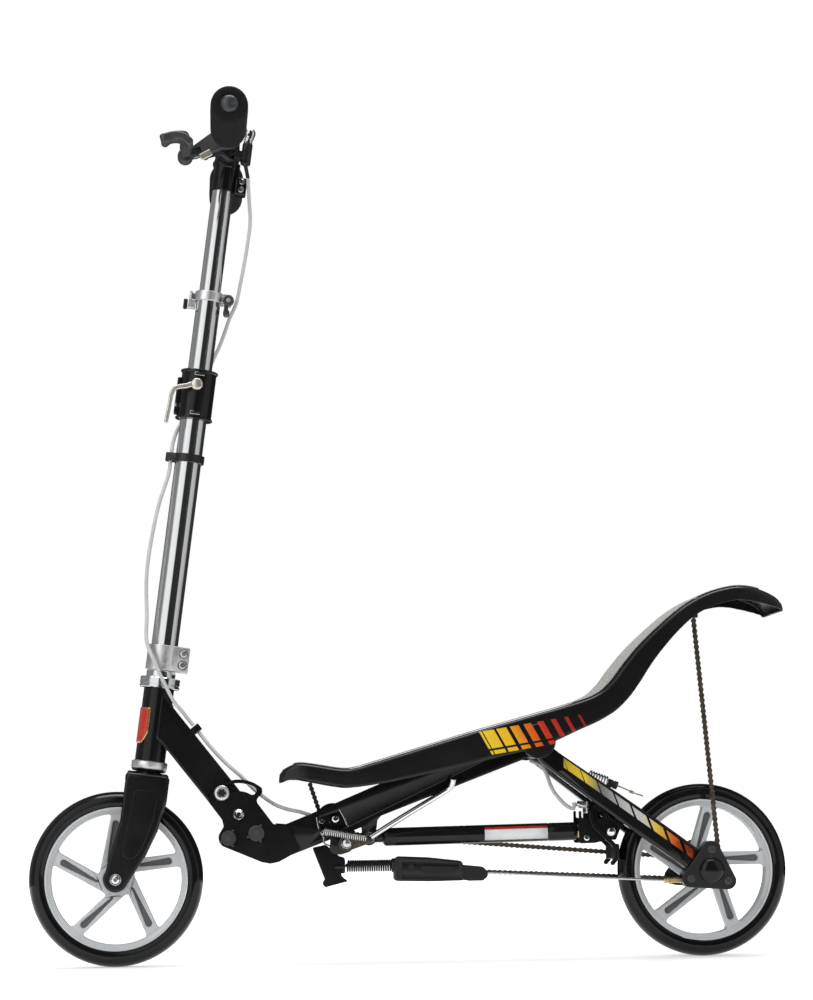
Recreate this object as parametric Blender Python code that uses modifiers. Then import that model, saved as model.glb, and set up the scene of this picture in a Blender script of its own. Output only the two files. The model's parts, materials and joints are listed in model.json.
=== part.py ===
"""Rocking-deck stepper scooter, modelled in metres with +Z up.

The scooter faces -X, its left side faces -Y, and the origin lies on the ground midway between the
wheels. Everything ahead of the fold hinge is placed from the front axle and everything behind the
pulley window from the rear axle, so the wheelbase can change without touching either end.
"""
import bpy
import bmesh
import math
from mathutils import Matrix, Vector

# Overall sizes
WHEELBASE = 0.684
WHEEL_DIAMETER = 0.200
HANDLEBAR_WIDTH = 0.450
BAR_ABOVE_AXLE = 0.8667      # along the steering axis, from the front axle's level
STEER_TILT = math.radians(7.4)
FORK_RAKE = 0.021            # front axle ahead of the steering axis

# Clearances
GAP = 0.0003                 # between pieces that touch
RUNNING_GAP = 0.0003         # round shafts and sliding tubes
PAD_GAP = 0.0016             # between the brake pad and the tyre

# Wheels
TYRE_WIDTH = 0.030
TYRE_DEPTH = 0.018
RIM_WIDTH = 0.026
RIM_BAND = 0.007
SPOKES = 5
WHEEL_STEPS = 24
SPOKE_WIDTH = 0.015
SPOKE_THICKNESS = 0.016
SPOKE_RECESS = 0.0065
SPOKE_RECESS_DEPTH = 0.003
WINDOW_CORNER = 0.003
HUB_RADIUS = 0.018
HUB_WIDTH = 0.032
AXLE_RADIUS = 0.005
FRONT_SPOKE_TURN = math.radians(17.5)
REAR_SPOKE_TURN = math.radians(12.0)

# Fork, headset and column; heights run along the steering axis from the front axle's level
FORK_INSIDE = 0.046
BLADE_THICKNESS = 0.011
CROWN_CLEARANCE = 0.011
CROWN_HEIGHT = 0.0122
CROWN_HALF = 0.025
STEERER_RADIUS = 0.0142
CUP_RADIUS = 0.0206
CUP_HEIGHT = 0.0112
HEAD_TUBE_RADIUS = 0.0175
HEAD_TUBE_WALL = 0.0022
HEAD_TUBE_LENGTH = 0.0858
LOCK_RING_RADIUS = 0.023
LOCK_RING_HEIGHT = 0.0122
LOCK_CONE_RADIUS = 0.0168
LOCK_CONE_HEIGHT = 0.0085
STEM_CLAMP_HEIGHT = 0.029
STEM_CLAMP_HALF = 0.0155
STEM_CLAMP_REACH = 0.030
STEM_CLAMP_WALL = 0.0035
LOWER_TUBE_RADIUS = 0.0155
LOWER_TUBE_WALL = 0.0009
LOWER_TUBE_LENGTH = 0.333
MIDDLE_TUBE_RADIUS = 0.0143
MIDDLE_TUBE_WALL = 0.0013
MIDDLE_TUBE_FOOT = 0.430
UPPER_TUBE_RADIUS = 0.0127
UPPER_TUBE_WALL = 0.0016
UPPER_TUBE_FOOT = 0.530
SLEEVE_HEIGHT = 0.059
SLEEVE_RADIUS = 0.0195
SLEEVE_LIP = 0.0025
STRAP_LEVEL = 0.4907
STRAP_HEIGHT = 0.0093
COLLAR_LEVEL = 0.685
COLLAR_HEIGHT = 0.012
COLLAR_RADIUS = 0.017
COLLAR_EAR_REACH = 0.029
COLLAR_EAR_WIDTH = 0.016
SKEWER_OFFSET = 0.023

# Handlebar
BAR_RADIUS = 0.0111
BAR_WALL = 0.0016
GRIP_RADIUS = 0.0213
GRIP_LENGTH = 0.120
BAR_CLAMP_RADIUS = 0.0145
BAR_CLAMP_WIDTH = 0.056
BAR_SLEEVE_RADIUS = 0.0142
BAR_SLEEVE_DROP = 0.046
LEVER_DROP = math.radians(15.5)
LEVER_AHEAD = 0.038
LEVER_BELOW = 0.020
LEVER_THICKNESS = 0.0056
PERCH_PLACE = -0.091
BELL_PLACE = -0.045

# Fold hinge and neck, from the front axle
HINGE_X = 0.141
HINGE_Z = 0.072
NECK_ANGLE = math.radians(51.7)
NECK_DEPTH = 0.036
NECK_WIDTH = 0.0334
NECK_WALL = 0.0028
HINGE_PLATE = 0.0042
HINGE_LOOP_RADIUS = 0.040
SLOT_RADIUS = 0.0314
SLOT_HALF = 0.0048
LOCK_PIN_RADIUS = 0.0042
FOLD_ANGLE = math.radians(69.0)
PIVOT_BOLT_RADIUS = 0.0045

CLIP_LENGTH = 0.0085
CLIP_PLACE = (0.0925, 0.1710)                         # cable clip, from the front axle
CLIP_TURN = Matrix.Rotation(math.radians(51.0), 4, "Y")
KNOBS = ((-0.012, -0.027), (0.020, -0.022))          # dark knobs, from the hinge

# Main beam, rear half placed from the apex
BEAM_WIDTH = 0.034
BEAM_WALL = 0.003
APEX_BEHIND = -0.198         # apex axle from the rear axle
APEX_ABOVE = 0.151
APEX_BEAM_RADIUS = 0.019
APEX_AXLE_RADIUS = 0.006

# Swing arm, from the apex and the rear axle
EYE_RADIUS = 0.017
EYE_WIDTH = 0.015
STAY_WIDTH = 0.014
STAY_CORNER = 0.004
HUB_FRAME_IN = 0.034
HUB_FRAME_OUT = 0.054
HUB_COVER = 0.0042
HUB_LOBE = 0.010
HUB_CAVITY = 0.0185

# Drive
CHAIN_PITCH = 0.00635
CHAIN_HEIGHT = 0.0058
CHAIN_WIDTH = 0.0044
SPROCKET_TEETH = 12
CHAIN_PLANE = 0.043
PULLEY_X = 0.251             # front pulley, from the front axle
PULLEY_Z = 0.064
PULLEY_CHAIN_RADIUS = 0.015
PULLEY_RADIUS = 0.0195
PULLEY_WIDTH = 0.009
PULLEY_PLANE = 0.009

RATCHET_RADIUS = 0.0100
SPRING_Y = -0.002
SPRING_Z = 0.0105            # return spring's axis, above the axles
NOSE_CHAIN_TOP = (-0.263, -0.040)                    # from the apex
TAIL_CHAIN_TOP = (0.188, 0.142)

# Deck
DECK_HALF = 0.060
DECK_WALL = 0.004
DECK_LOBE = 0.020
DECK_CORNER = 0.0055
SHEET_MARGIN = 0.008
SHEET_THICKNESS = 0.0010

# Strut
STRUT_RADIUS = 0.0105
STRUT_PLANE = -0.003
STRUT_EYE_WIDTH = 0.012
STRUT_ROD_RADIUS = 0.004
STRUT_BOLT_RADIUS = 0.004
LUG_PLATE = 0.003

# Kickstand, from the front axle
KICK_X = 0.265
KICK_Z = 0.037
KICK_PLANE = -0.0210         # outer face of its lug
KICK_PLATE = 0.0037
KICK_PIN_RADIUS = 0.0035
KICK_STUD = (0.234, 0.052)
KICK_SPRING_PLANE = -0.0302

# Rear brake and bridges
BRIDGE = (-0.109, 0.068)     # from the rear axle
BRIDGE_RADIUS = 0.0070
ANCHOR = (0.054, -0.039)     # from the apex
ANCHOR_Y = 0.005
BRAKE_PIVOT = (-0.1125, 0.046)
BRACKET_IN = 0.020
BRACKET_PLATE = 0.003
BRAKE_STRIP = 0.0032
STAY_CABLE_Y = -0.012

# Cables
CABLE_RADIUS = 0.0025
CABLE_START = Vector((-0.0246, -0.0795, -0.0223))    # from the bar's middle
CABLE_START_WAY = Vector((16, 18, -6)).normalized()

# Worked-out places
WHEEL_RADIUS = WHEEL_DIAMETER / 2
FRONT_X = -WHEELBASE / 2
REAR_X = WHEELBASE / 2
RIM_RADIUS = WHEEL_RADIUS - TYRE_DEPTH - GAP
CROWN_TOP = WHEEL_RADIUS + CROWN_CLEARANCE + CROWN_HEIGHT
CUP_LEVEL = CROWN_TOP + 0.0031
HEAD_LEVEL = CUP_LEVEL + CUP_HEIGHT
HEAD_TOP = HEAD_LEVEL + HEAD_TUBE_LENGTH
STEM_LEVEL = HEAD_TOP + GAP + LOCK_RING_HEIGHT + LOCK_CONE_HEIGHT + GAP
SLEEVE_LEVEL = 0.542
CABLE_FRONT = -0.0215        # cables ahead of the steering axis at the strap


def front(x, z, y=0.0):
    """A point measured from the front axle."""
    return Vector((FRONT_X + x, y, WHEEL_RADIUS + z))


def rear(x, z, y=0.0):
    """A point measured from the rear axle."""
    return Vector((REAR_X + x, y, WHEEL_RADIUS + z))


def apex(x, z, y=0.0):
    """A point measured from the apex axle."""
    return rear(APEX_BEHIND + x, APEX_ABOVE + z, y)


STEERING = (
    Matrix.Translation(front(FORK_RAKE * math.cos(STEER_TILT), -FORK_RAKE * math.sin(STEER_TILT)))
    @ Matrix.Rotation(STEER_TILT, 4, "Y")
)
HINGE = front(HINGE_X, HINGE_Z)
APEX = apex(0, 0)
BAR_CENTRE = STEERING @ Vector((0, 0, BAR_ABOVE_AXLE))


def steer_point(x, z, y=0.0):
    """A point given ahead-behind, up and across in the steering axis's own frame."""
    return STEERING @ Vector((x, y, z))


# Scene, materials and modelling helpers

for old in list(bpy.data.objects):
    bpy.data.objects.remove(old, do_unlink=True)

MODEL = bpy.data.collections.new("stepper_scooter")
CUTTERS = bpy.data.collections.new("cutters")
bpy.context.scene.collection.children.link(MODEL)
bpy.context.scene.collection.children.link(CUTTERS)

FINISHES = {
    "gloss_black": ((0.010, 0.010, 0.011), 0.22, 0.0),
    "satin_black": ((0.018, 0.018, 0.019), 0.45, 0.0),
    "chrome": ((0.78, 0.79, 0.80), 0.08, 1.0),
    "bright_steel": ((0.62, 0.62, 0.62), 0.25, 1.0),
    "aluminium": ((0.70, 0.70, 0.71), 0.40, 0.9),
    "brass": ((0.62, 0.52, 0.30), 0.30, 1.0),
    "dark_chain": ((0.16, 0.12, 0.08), 0.42, 0.9),
    "tyre": ((0.012, 0.012, 0.013), 0.25, 0.0),
    "rim_grey": ((0.42, 0.44, 0.46), 0.35, 0.2),
    "foam": ((0.014, 0.014, 0.015), 0.95, 0.0),
    "grey_plastic": ((0.06, 0.06, 0.065), 0.40, 0.0),
    "cable_grey": ((0.50, 0.51, 0.48), 0.40, 0.0),
    "grip_sheet": ((0.55, 0.54, 0.50), 0.90, 0.0),
}


def material(node, finish):
    colour, roughness, metallic = FINISHES[finish]
    made = bpy.data.materials.new(f"{node}_{finish}")
    made.use_nodes = True
    shader = made.node_tree.nodes["Principled BSDF"]
    shader.inputs["Base Color"].default_value = (*colour, 1.0)
    shader.inputs["Roughness"].default_value = roughness
    shader.inputs["Metallic"].default_value = metallic
    return made


def refresh():
    bpy.context.view_layer.update()


def new_object(name, data, collection=MODEL):
    made = bpy.data.objects.new(name, data)
    collection.objects.link(made)
    return made


def joint_frame(name, matrix, parent=None):
    """An empty on a joint's axis, which carries the pieces that move with it."""
    empty = new_object(name, None)
    empty.empty_display_size = 0.02
    hold(empty, parent, matrix)
    return empty


def hold(thing, parent, matrix=None):
    """Parent a thing without moving it; matrix is its place in the world."""
    refresh()
    place = matrix if matrix is not None else thing.matrix_world.copy()
    if parent is not None:
        thing.parent = parent
        thing.matrix_parent_inverse = parent.matrix_world.inverted()
    thing.matrix_basis = place
    refresh()


def mesh_from(build, name="shape"):
    """A mesh object from a function that fills a bmesh."""
    grid = bmesh.new()
    build(grid)
    mesh = bpy.data.meshes.new(name)
    grid.to_mesh(mesh)
    grid.free()
    return new_object(name, mesh)


def box(size, centre, frame=None):
    """A box of three sizes about a centre, in the world or in a frame."""
    place = (frame or Matrix.Identity(4)) @ Matrix.Translation(centre)
    scale = Matrix.Diagonal((*size, 1.0))
    return mesh_from(lambda grid: bmesh.ops.create_cube(grid, size=1.0, matrix=place @ scale))


def rod(radius, start, end, sides=8, end_radius=None):
    """A capped cylinder or cone between two points."""
    start = Vector(start)
    end = Vector(end)
    run = end - start
    place = Matrix.Translation((start + end) / 2) @ run.to_track_quat("Z", "Y").to_matrix().to_4x4()
    far = radius if end_radius is None else end_radius
    return mesh_from(lambda grid: bmesh.ops.create_cone(
        grid, cap_ends=True, segments=sides, radius1=radius, radius2=far,
        depth=run.length, matrix=place))


def turned(profile, place, steps=16):
    """A profile of (radius, height) turned about the Z axis of a placing matrix.

    A closed ring's profile runs down the outside and up the bore. A solid's starts and ends on the
    axis.
    """
    on_axis = profile[0][0] == 0.0
    mesh = bpy.data.meshes.new("turned")
    edges = [(i, i + 1) for i in range(len(profile) - 1)]
    if not on_axis:
        edges.append((len(profile) - 1, 0))
    mesh.from_pydata([(r, 0.0, h) for r, h in profile], edges, [])
    made = new_object("turned", mesh)
    screw = made.modifiers.new("Screw", "SCREW")
    screw.steps = steps
    screw.render_steps = steps
    screw.use_merge_vertices = True
    screw.merge_threshold = 0.00001
    made.matrix_world = place
    return applied(made)


def applied(thing):
    """The evaluated mesh of an object as a new object with its corners in world places."""
    refresh()
    seen = thing.evaluated_get(bpy.context.evaluated_depsgraph_get())
    mesh = bpy.data.meshes.new_from_object(seen)
    mesh.transform(thing.matrix_world)
    if thing.type == "CURVE":
        grid = bmesh.new()
        grid.from_mesh(mesh)
        bmesh.ops.remove_doubles(grid, verts=grid.verts, dist=0.000005)
        grid.to_mesh(mesh)
        grid.free()
    made = new_object(thing.name, mesh)
    bpy.data.objects.remove(thing, do_unlink=True)
    return made


def outline(loops, thickness, place):
    """A flat outline with holes, extruded along Z of a placing matrix by its thickness in all."""
    curve = bpy.data.curves.new("outline", "CURVE")
    curve.dimensions = "2D"
    curve.fill_mode = "BOTH"
    curve.extrude = thickness / 2
    for ring in loops:
        loop = [p for p, q in zip(ring, [ring[-1], *ring]) if math.dist(p[:2], q[:2]) > 0.00001]
        spline = curve.splines.new("POLY")
        spline.points.add(len(loop) - 1)
        for point, (x, y) in zip(spline.points, loop):
            point.co = (x, y, 0.0, 1.0)
        spline.use_cyclic_u = True
    made = new_object("outline", curve)
    made.matrix_world = place
    return applied(made)


def side_plate(loops, y_low, y_high, origin):
    """An outline given in X and Z from an origin, extruded between two Y planes."""
    turn = Matrix.Rotation(math.radians(90), 4, "X")
    middle = Vector((origin.x, (y_low + y_high) / 2, origin.z))
    return outline(loops, y_high - y_low, Matrix.Translation(middle) @ turn)


def pipe(points, radius, resolution=2, name="pipe", profile=None, radii=None):
    """A tube along points, as a curve with filled caps, or along them with a section of its own."""
    curve = bpy.data.curves.new(name, "CURVE")
    curve.dimensions = "3D"
    curve.use_fill_caps = True
    if profile is None:
        curve.bevel_depth = radius
        curve.bevel_resolution = resolution
    else:
        curve.bevel_mode = "OBJECT"
        curve.bevel_object = profile
    spline = curve.splines.new("POLY")
    spline.points.add(len(points) - 1)
    for index, (point, place) in enumerate(zip(spline.points, points)):
        point.co = (*place, 1.0)
        point.radius = radii[index] if radii else 1.0
    made = applied(new_object(name, curve))
    if profile is not None:
        grid = bmesh.new()
        grid.from_mesh(made.data)
        bmesh.ops.recalc_face_normals(grid, faces=grid.faces)
        grid.to_mesh(made.data)
        grid.free()
    return made


def smooth_route(points, spacing):
    """Points along a smooth curve through hand-picked ones, about one spacing apart."""
    ends = [2 * points[0] - points[1], *points, 2 * points[-1] - points[-2]]
    route = []
    for a, b, c, d in zip(ends, ends[1:], ends[2:], ends[3:]):
        steps = max(1, round((c - b).length / spacing))
        for step in range(steps):
            t = step / steps
            route.append(0.5 * (2 * b + (c - a) * t + (2 * a - 5 * b + 4 * c - d) * t**2
                                + (3 * b - a - 3 * c + d) * t**3))
    route.append(points[-1])
    return route


def arc(radius, start, end, steps, centre=(0.0, 0.0)):
    """Points of an arc in degrees."""
    return [
        (centre[0] + radius * math.cos(math.radians(start + (end - start) * i / steps)),
         centre[1] + radius * math.sin(math.radians(start + (end - start) * i / steps)))
        for i in range(steps + 1)
    ]


def circle(radius, steps=24, centre=(0.0, 0.0)):
    return arc(radius, 0, 360, steps, centre)[:-1]


def rounded(corners, radius, steps=3):
    """A closed outline with its corners rounded; a corner may carry its own radius."""
    loop = []
    count = len(corners)
    for index, corner in enumerate(corners):
        here = Vector(corner[:2])
        before = Vector(corners[index - 1][:2]) - here
        after = Vector(corners[(index + 1) % count][:2]) - here
        wanted = corner[2] if len(corner) > 2 else radius
        half = before.angle(after) / 2
        reach = min(wanted / math.tan(half), 0.49 * before.length, 0.49 * after.length)
        if wanted <= 0 or reach < 1e-5:
            loop.append(tuple(here))
            continue
        first = here + before.normalized() * reach
        last = here + after.normalized() * reach
        for step in range(steps + 1):
            t = step / steps
            point = first * (1 - t) ** 2 + here * (2 * t * (1 - t)) + last * t**2
            loop.append((point.x, point.y))
    return loop


def hull_outline(discs, steps=5):
    """The outline round a ring of discs (x, y, radius), given anticlockwise."""
    loop = []
    count = len(discs)
    angles = []
    for index in range(count):
        x0, y0, r0 = discs[index]
        x1, y1, r1 = discs[(index + 1) % count]
        run = math.hypot(x1 - x0, y1 - y0)
        angles.append(math.atan2(y1 - y0, x1 - x0) - math.acos((r0 - r1) / run))
    for index in range(count):
        x, y, r = discs[index]
        start = angles[index - 1]
        end = angles[index]
        while end < start:
            end += 2 * math.pi
        for step in range(steps + 1):
            angle = start + (end - start) * step / steps
            loop.append((x + r * math.cos(angle), y + r * math.sin(angle)))
    return loop


def boolean(thing, other, operation, solver):
    modifier = thing.modifiers.new(operation.title(), "BOOLEAN")
    modifier.operation = operation
    modifier.solver = solver
    modifier.object = other
    MODEL.objects.unlink(other)
    CUTTERS.objects.link(other)
    other.hide_render = True
    other.display_type = "WIRE"
    other.name = f"cutter_{len(CUTTERS.objects):03d}"
    return thing


def cut(thing, *cutters, solver="EXACT"):
    for cutter in cutters:
        boolean(thing, cutter, "DIFFERENCE", solver)
    return thing


def join(thing, *others, solver="EXACT"):
    for other in others:
        boolean(thing, other, "UNION", solver)
    return thing


def soften(thing, width, segments=1, angle=50):
    """A bevel on the sharp edges of a shape that is made so far."""
    thing = applied(thing)
    bevel = thing.modifiers.new("Bevel", "BEVEL")
    bevel.width = width
    bevel.segments = segments
    bevel.limit_method = "ANGLE"
    bevel.angle_limit = math.radians(angle)
    bevel.use_clamp_overlap = True
    return thing


def piece(thing, name, finish, parent=None):
    """Name a shape as one piece of the scooter, with its own material, on the body that holds it."""
    thing.name = name
    thing.data.name = name
    thing.data.materials.clear()
    thing.data.materials.append(material(name, finish))
    thing.data.shade_smooth()
    thing.data.set_sharp_from_angle(angle=math.radians(35))
    hold(thing, parent)
    return thing


def helix(start, end, radius, wire, curls, points_per_curl=8, name="spring"):
    """A coil spring as one unbroken tube whose ends run straight along its axis."""
    start = Vector(start)
    end = Vector(end)
    axis = (end - start).normalized()
    side = axis.orthogonal().normalized()
    other = axis.cross(side)
    straight = 2 * wire
    coil_start = start + axis * straight
    coil_length = (end - start).length - 2 * straight
    points = [start]
    count = curls * points_per_curl
    for index in range(count + 1):
        t = index / count
        grow = min(1.0, index / points_per_curl * 2, (count - index) / points_per_curl * 2)
        angle = 2 * math.pi * curls * t
        reach = radius * grow
        points.append(coil_start + axis * coil_length * t
                      + (side * math.cos(angle) + other * math.sin(angle)) * reach)
    points.append(end)
    apart = min(
        (points[i] - points[j]).length
        for i in range(len(points))
        for j in range(i + points_per_curl // 2 + 1, len(points))
    )
    print(f"{name}: {curls} curls, least gap to itself {1000 * (apart - 2 * wire):.2f} mm")
    return pipe(points, wire, 1, name)


def chain_strip(start, end, links_each=1):
    """A straight run of roller chain as one body: link plates drawn as a scalloped band."""
    start = Vector(start)
    end = Vector(end)
    run = end - start
    links = max(2, round(run.length / CHAIN_PITCH / links_each))
    pitch = run.length / links
    top = []
    bottom = []
    for link in range(links):
        for share, height in ((0.0, 0.27), (0.5, 0.5)):
            top.append(((link + share) * pitch, height * CHAIN_HEIGHT))
            bottom.append(((link + share) * pitch, -height * CHAIN_HEIGHT))
    top.append((run.length, 0.27 * CHAIN_HEIGHT))
    bottom.append((run.length, -0.27 * CHAIN_HEIGHT))
    along = run.normalized()
    across = Vector((0, 1, 0))
    across = (across - along * across.dot(along)).normalized()
    up = across.cross(along)
    place = Matrix.Translation(start) @ Matrix((along, -up, across)).transposed().to_4x4()
    if place.to_3x3().determinant() < 0:
        place = Matrix.Translation(start) @ Matrix((along, up, across)).transposed().to_4x4()
    return outline([bottom + top[::-1]], CHAIN_WIDTH, place)


# Wheels

def tyre_profile():
    """The tyre's closed section, down the outside and up the bore, from its middle plane."""
    inner = RIM_RADIUS + GAP
    half = TYRE_WIDTH / 2
    side = [(inner, 0.86 * half), (inner + 0.35 * TYRE_DEPTH, half), (WHEEL_RADIUS - 0.0028, 0.72 * half)]
    return [(WHEEL_RADIUS, 0.0)] + [(r, -h) for r, h in reversed(side)] + side


def wheel(name, centre, spoke_turn, frame):
    """A wheel on the Y axis: a tyre, and a moulded rim with five recessed spokes."""
    place = Matrix.Translation(centre) @ Matrix.Rotation(math.radians(-90), 4, "X")
    tyre = turned(tyre_profile(), place, WHEEL_STEPS)
    piece(tyre, f"{name}_tyre", "tyre", frame)

    band_in = RIM_RADIUS - RIM_BAND
    window_in = HUB_RADIUS + 0.003
    half = SPOKE_WIDTH / 2
    windows = []
    for spoke in range(SPOKES):
        here = spoke_turn + spoke * 2 * math.pi / SPOKES
        beyond = here + 2 * math.pi / SPOKES
        corners = []
        for reach, turn in ((window_in, 1), (band_in, 1), (band_in, -1), (window_in, -1)):
            base = here if turn > 0 else beyond
            angle = base + turn * math.asin(half / reach)
            corners.append((reach, angle))
        points = [(r * math.cos(a), r * math.sin(a), WINDOW_CORNER) for r, a in corners]
        outer = arc(band_in, math.degrees(corners[1][1]), math.degrees(corners[2][1]), 3)
        windows.append(rounded([points[0], points[1], *outer[1:-1], points[2], points[3]], 0.0, 1))
    disc = side_plate([circle(band_in + 0.002, WHEEL_STEPS), *windows], -SPOKE_THICKNESS / 2,
                      SPOKE_THICKNESS / 2, centre)
    band = turned([(RIM_RADIUS, RIM_WIDTH / 2), (RIM_RADIUS, -RIM_WIDTH / 2),
                   (band_in, -RIM_WIDTH / 2), (band_in, RIM_WIDTH / 2)], place, WHEEL_STEPS)
    hub = turned([(HUB_RADIUS, HUB_WIDTH / 2), (HUB_RADIUS, -HUB_WIDTH / 2),
                  (AXLE_RADIUS + RUNNING_GAP, -HUB_WIDTH / 2),
                  (AXLE_RADIUS + RUNNING_GAP, HUB_WIDTH / 2)], place, 14)
    cut(disc, rod(HUB_RADIUS - 0.002, centre + Vector((0, -0.05, 0)), centre + Vector((0, 0.05, 0))))
    disc = applied(disc)
    rim = applied(join(disc, band, hub, solver="MANIFOLD"))
    for spoke in range(SPOKES):
        angle = spoke_turn + spoke * 2 * math.pi / SPOKES
        slot_in = HUB_RADIUS + 0.005
        slot_out = band_in - 0.006
        middle = (slot_in + slot_out) / 2
        turn = Matrix.Rotation(-angle, 4, "Y")
        for side in (-1, 1):
            away = Vector((middle, side * SPOKE_THICKNESS / 2, 0))
            size = (slot_out - slot_in, 2 * SPOKE_RECESS_DEPTH, SPOKE_RECESS)
            recess = box(size, away, Matrix.Translation(centre) @ turn)
            cut(rim, recess, solver="MANIFOLD")
    piece(applied(rim), f"{name}_rim", "rim_grey", frame)


# Neck, fork and column

def column_ring(outer, inner, low, high, steps=16):
    """A plain tube round the steering axis."""
    return turned([(outer, high), (outer, low), (inner, low), (inner, high)], STEERING, steps)


def neck(frame):
    """The head tube with its lower cup, and the box tube welded from it to the fold hinge."""
    bore = HEAD_TUBE_RADIUS - HEAD_TUBE_WALL
    cup_bore = STEERER_RADIUS + GAP
    head = turned([(HEAD_TUBE_RADIUS, HEAD_TOP), (HEAD_TUBE_RADIUS, HEAD_LEVEL + 0.001),
                   (CUP_RADIUS, HEAD_LEVEL - 0.0005), (CUP_RADIUS, CUP_LEVEL + 0.004),
                   (CUP_RADIUS - 0.0025, CUP_LEVEL), (cup_bore, CUP_LEVEL),
                   (cup_bore, HEAD_LEVEL), (bore, HEAD_LEVEL), (bore, HEAD_TOP)], STEERING, 16)
    half = NECK_DEPTH / 2
    along = Vector((math.cos(NECK_ANGLE), -math.sin(NECK_ANGLE)))
    across = Vector((math.sin(NECK_ANGLE), math.cos(NECK_ANGLE)))
    start = -0.150 * along
    loop = [tuple(start + half * across), tuple(start - half * across)]
    round_end = math.degrees(math.atan2(-across.y, -across.x))
    loop += arc(half, round_end, round_end + 180, 7)
    tube = side_plate([loop], -NECK_WIDTH / 2, NECK_WIDTH / 2, HINGE)
    tube = applied(soften(tube, 0.002, 1))
    upward = STEERING @ Vector((0, 0, HEAD_LEVEL - 0.03))
    core = rod(HEAD_TUBE_RADIUS - 0.001, upward, STEERING @ Vector((0, 0, HEAD_TOP + 0.03)), 16)
    ahead = box((0.08, 0.08, 0.30), Vector((-0.04, 0, (HEAD_LEVEL + HEAD_TOP) / 2)), STEERING)
    cut(tube, ahead)
    tube = applied(cut(tube, core, solver="MANIFOLD"))
    inner_half = half - NECK_WALL
    top = -0.138 * along
    foot = -0.024 * along
    inner = [tuple(top + inner_half * across), tuple(top - inner_half * across),
             tuple(foot - inner_half * across), tuple(foot + inner_half * across)]
    hollow = side_plate([inner], -NECK_WIDTH / 2 + NECK_WALL, NECK_WIDTH / 2 - NECK_WALL, HINGE)
    pin_room = rod(LOCK_PIN_RADIUS + GAP, HINGE + slot_point(-0.03), HINGE + slot_point(0.002))
    bolt_room = rod(PIVOT_BOLT_RADIUS + RUNNING_GAP, HINGE + Vector((0, -0.03, 0)),
                    HINGE + Vector((0, 0.03, 0)), 20)
    cut(tube, hollow, pin_room, bolt_room, solver="MANIFOLD")
    clip = box((CLIP_LENGTH, 0.0150, 0.0110), Vector((0, 0, 0)), place_at(front(*CLIP_PLACE, -0.008)) @ CLIP_TURN)
    neck_body = applied(join(head, applied(tube), clip, solver="MANIFOLD"))
    piece(neck_body, "neck", "gloss_black", frame)


def slot_point(y):
    """The lock pin's place from the hinge: up the neck, at the fold slot's radius."""
    return Vector((-SLOT_RADIUS * math.cos(NECK_ANGLE), y, SLOT_RADIUS * math.sin(NECK_ANGLE)))


def lock_button(frame):
    """The spring pin through the bracket's slot into the neck, with its ring head outside."""
    face = BEAM_WIDTH / 2 + GAP + HINGE_PLATE + GAP
    reach = face + 0.001
    pin = LOCK_PIN_RADIUS
    profile = [(0.0, 0.0020), (0.0034, 0.0020), (0.0062, 0.0042), (0.0088, 0.0026), (0.0088, 0.0), (pin, 0.0),
               (pin, -reach), (0.0, -reach)]
    place = Matrix.Translation(HINGE + slot_point(-face)) @ Matrix.Rotation(math.radians(90), 4, "X")
    piece(turned(profile, place, 12), "lock_button", "aluminium", frame)


def fork(frame):
    """Steerer, crown and two tapered blades, with the axle bolt that they carry."""
    reach = FORK_INSIDE / 2 + BLADE_THICKNESS
    axle_x = -FORK_RAKE
    blade_loop = [
        (-0.0245, CROWN_TOP - 0.002), (-0.0245, 0.068, 0.05), (-0.0315, 0.024, 0.03),
        *arc(0.0145, 150, 345, 4, (axle_x, 0.0)),
        (0.0085, 0.029, 0.03), (0.0195, 0.0615, 0.05), (0.0248, 0.091, 0.05),
        (0.0248, CROWN_TOP - 0.002)]
    loop = rounded(blade_loop, 0.0, 1)
    blades = []
    for side in (-1, 1):
        low = side * FORK_INSIDE / 2 if side > 0 else -reach
        turn = STEERING @ Matrix.Translation((0, low + BLADE_THICKNESS / 2, 0))
        turn = turn @ Matrix.Rotation(math.radians(90), 4, "X")
        blade = outline([loop], BLADE_THICKNESS, turn)
        blades.append(applied(soften(blade, 0.0018, 1)))
    crown_size = (2 * CROWN_HALF, 2 * reach, CROWN_HEIGHT)
    crown = box(crown_size, Vector((0, 0, CROWN_TOP - CROWN_HEIGHT / 2)), STEERING)
    crown = applied(soften(crown, 0.0045, 1))
    steerer = turned([(0.0, STEM_LEVEL + STEM_CLAMP_HEIGHT), (STEERER_RADIUS, STEM_LEVEL + STEM_CLAMP_HEIGHT),
                      (STEERER_RADIUS, CUP_LEVEL - GAP), (0.0165, CUP_LEVEL - GAP),
                      (0.0165, CROWN_TOP - 0.004), (0.0, CROWN_TOP - 0.004)], STEERING, 16)
    axle_place = STEERING @ Matrix.Translation((axle_x, 0, 0)) @ Matrix.Rotation(math.radians(-90), 4, "X")
    half = reach + 0.0045
    spacer = HUB_WIDTH / 2 + RUNNING_GAP
    axle = turned([(0.0, half), (0.0048, half), (0.0068, half - 0.0018), (0.0068, spacer), (AXLE_RADIUS, spacer),
                   (AXLE_RADIUS, -spacer), (0.0068, -spacer), (0.0068, -half + 0.0018), (0.0048, -half),
                   (0.0, -half)], axle_place, 12)
    whole = applied(join(crown, *blades, steerer, axle))
    piece(whole, "fork", "gloss_black", frame)


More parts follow.
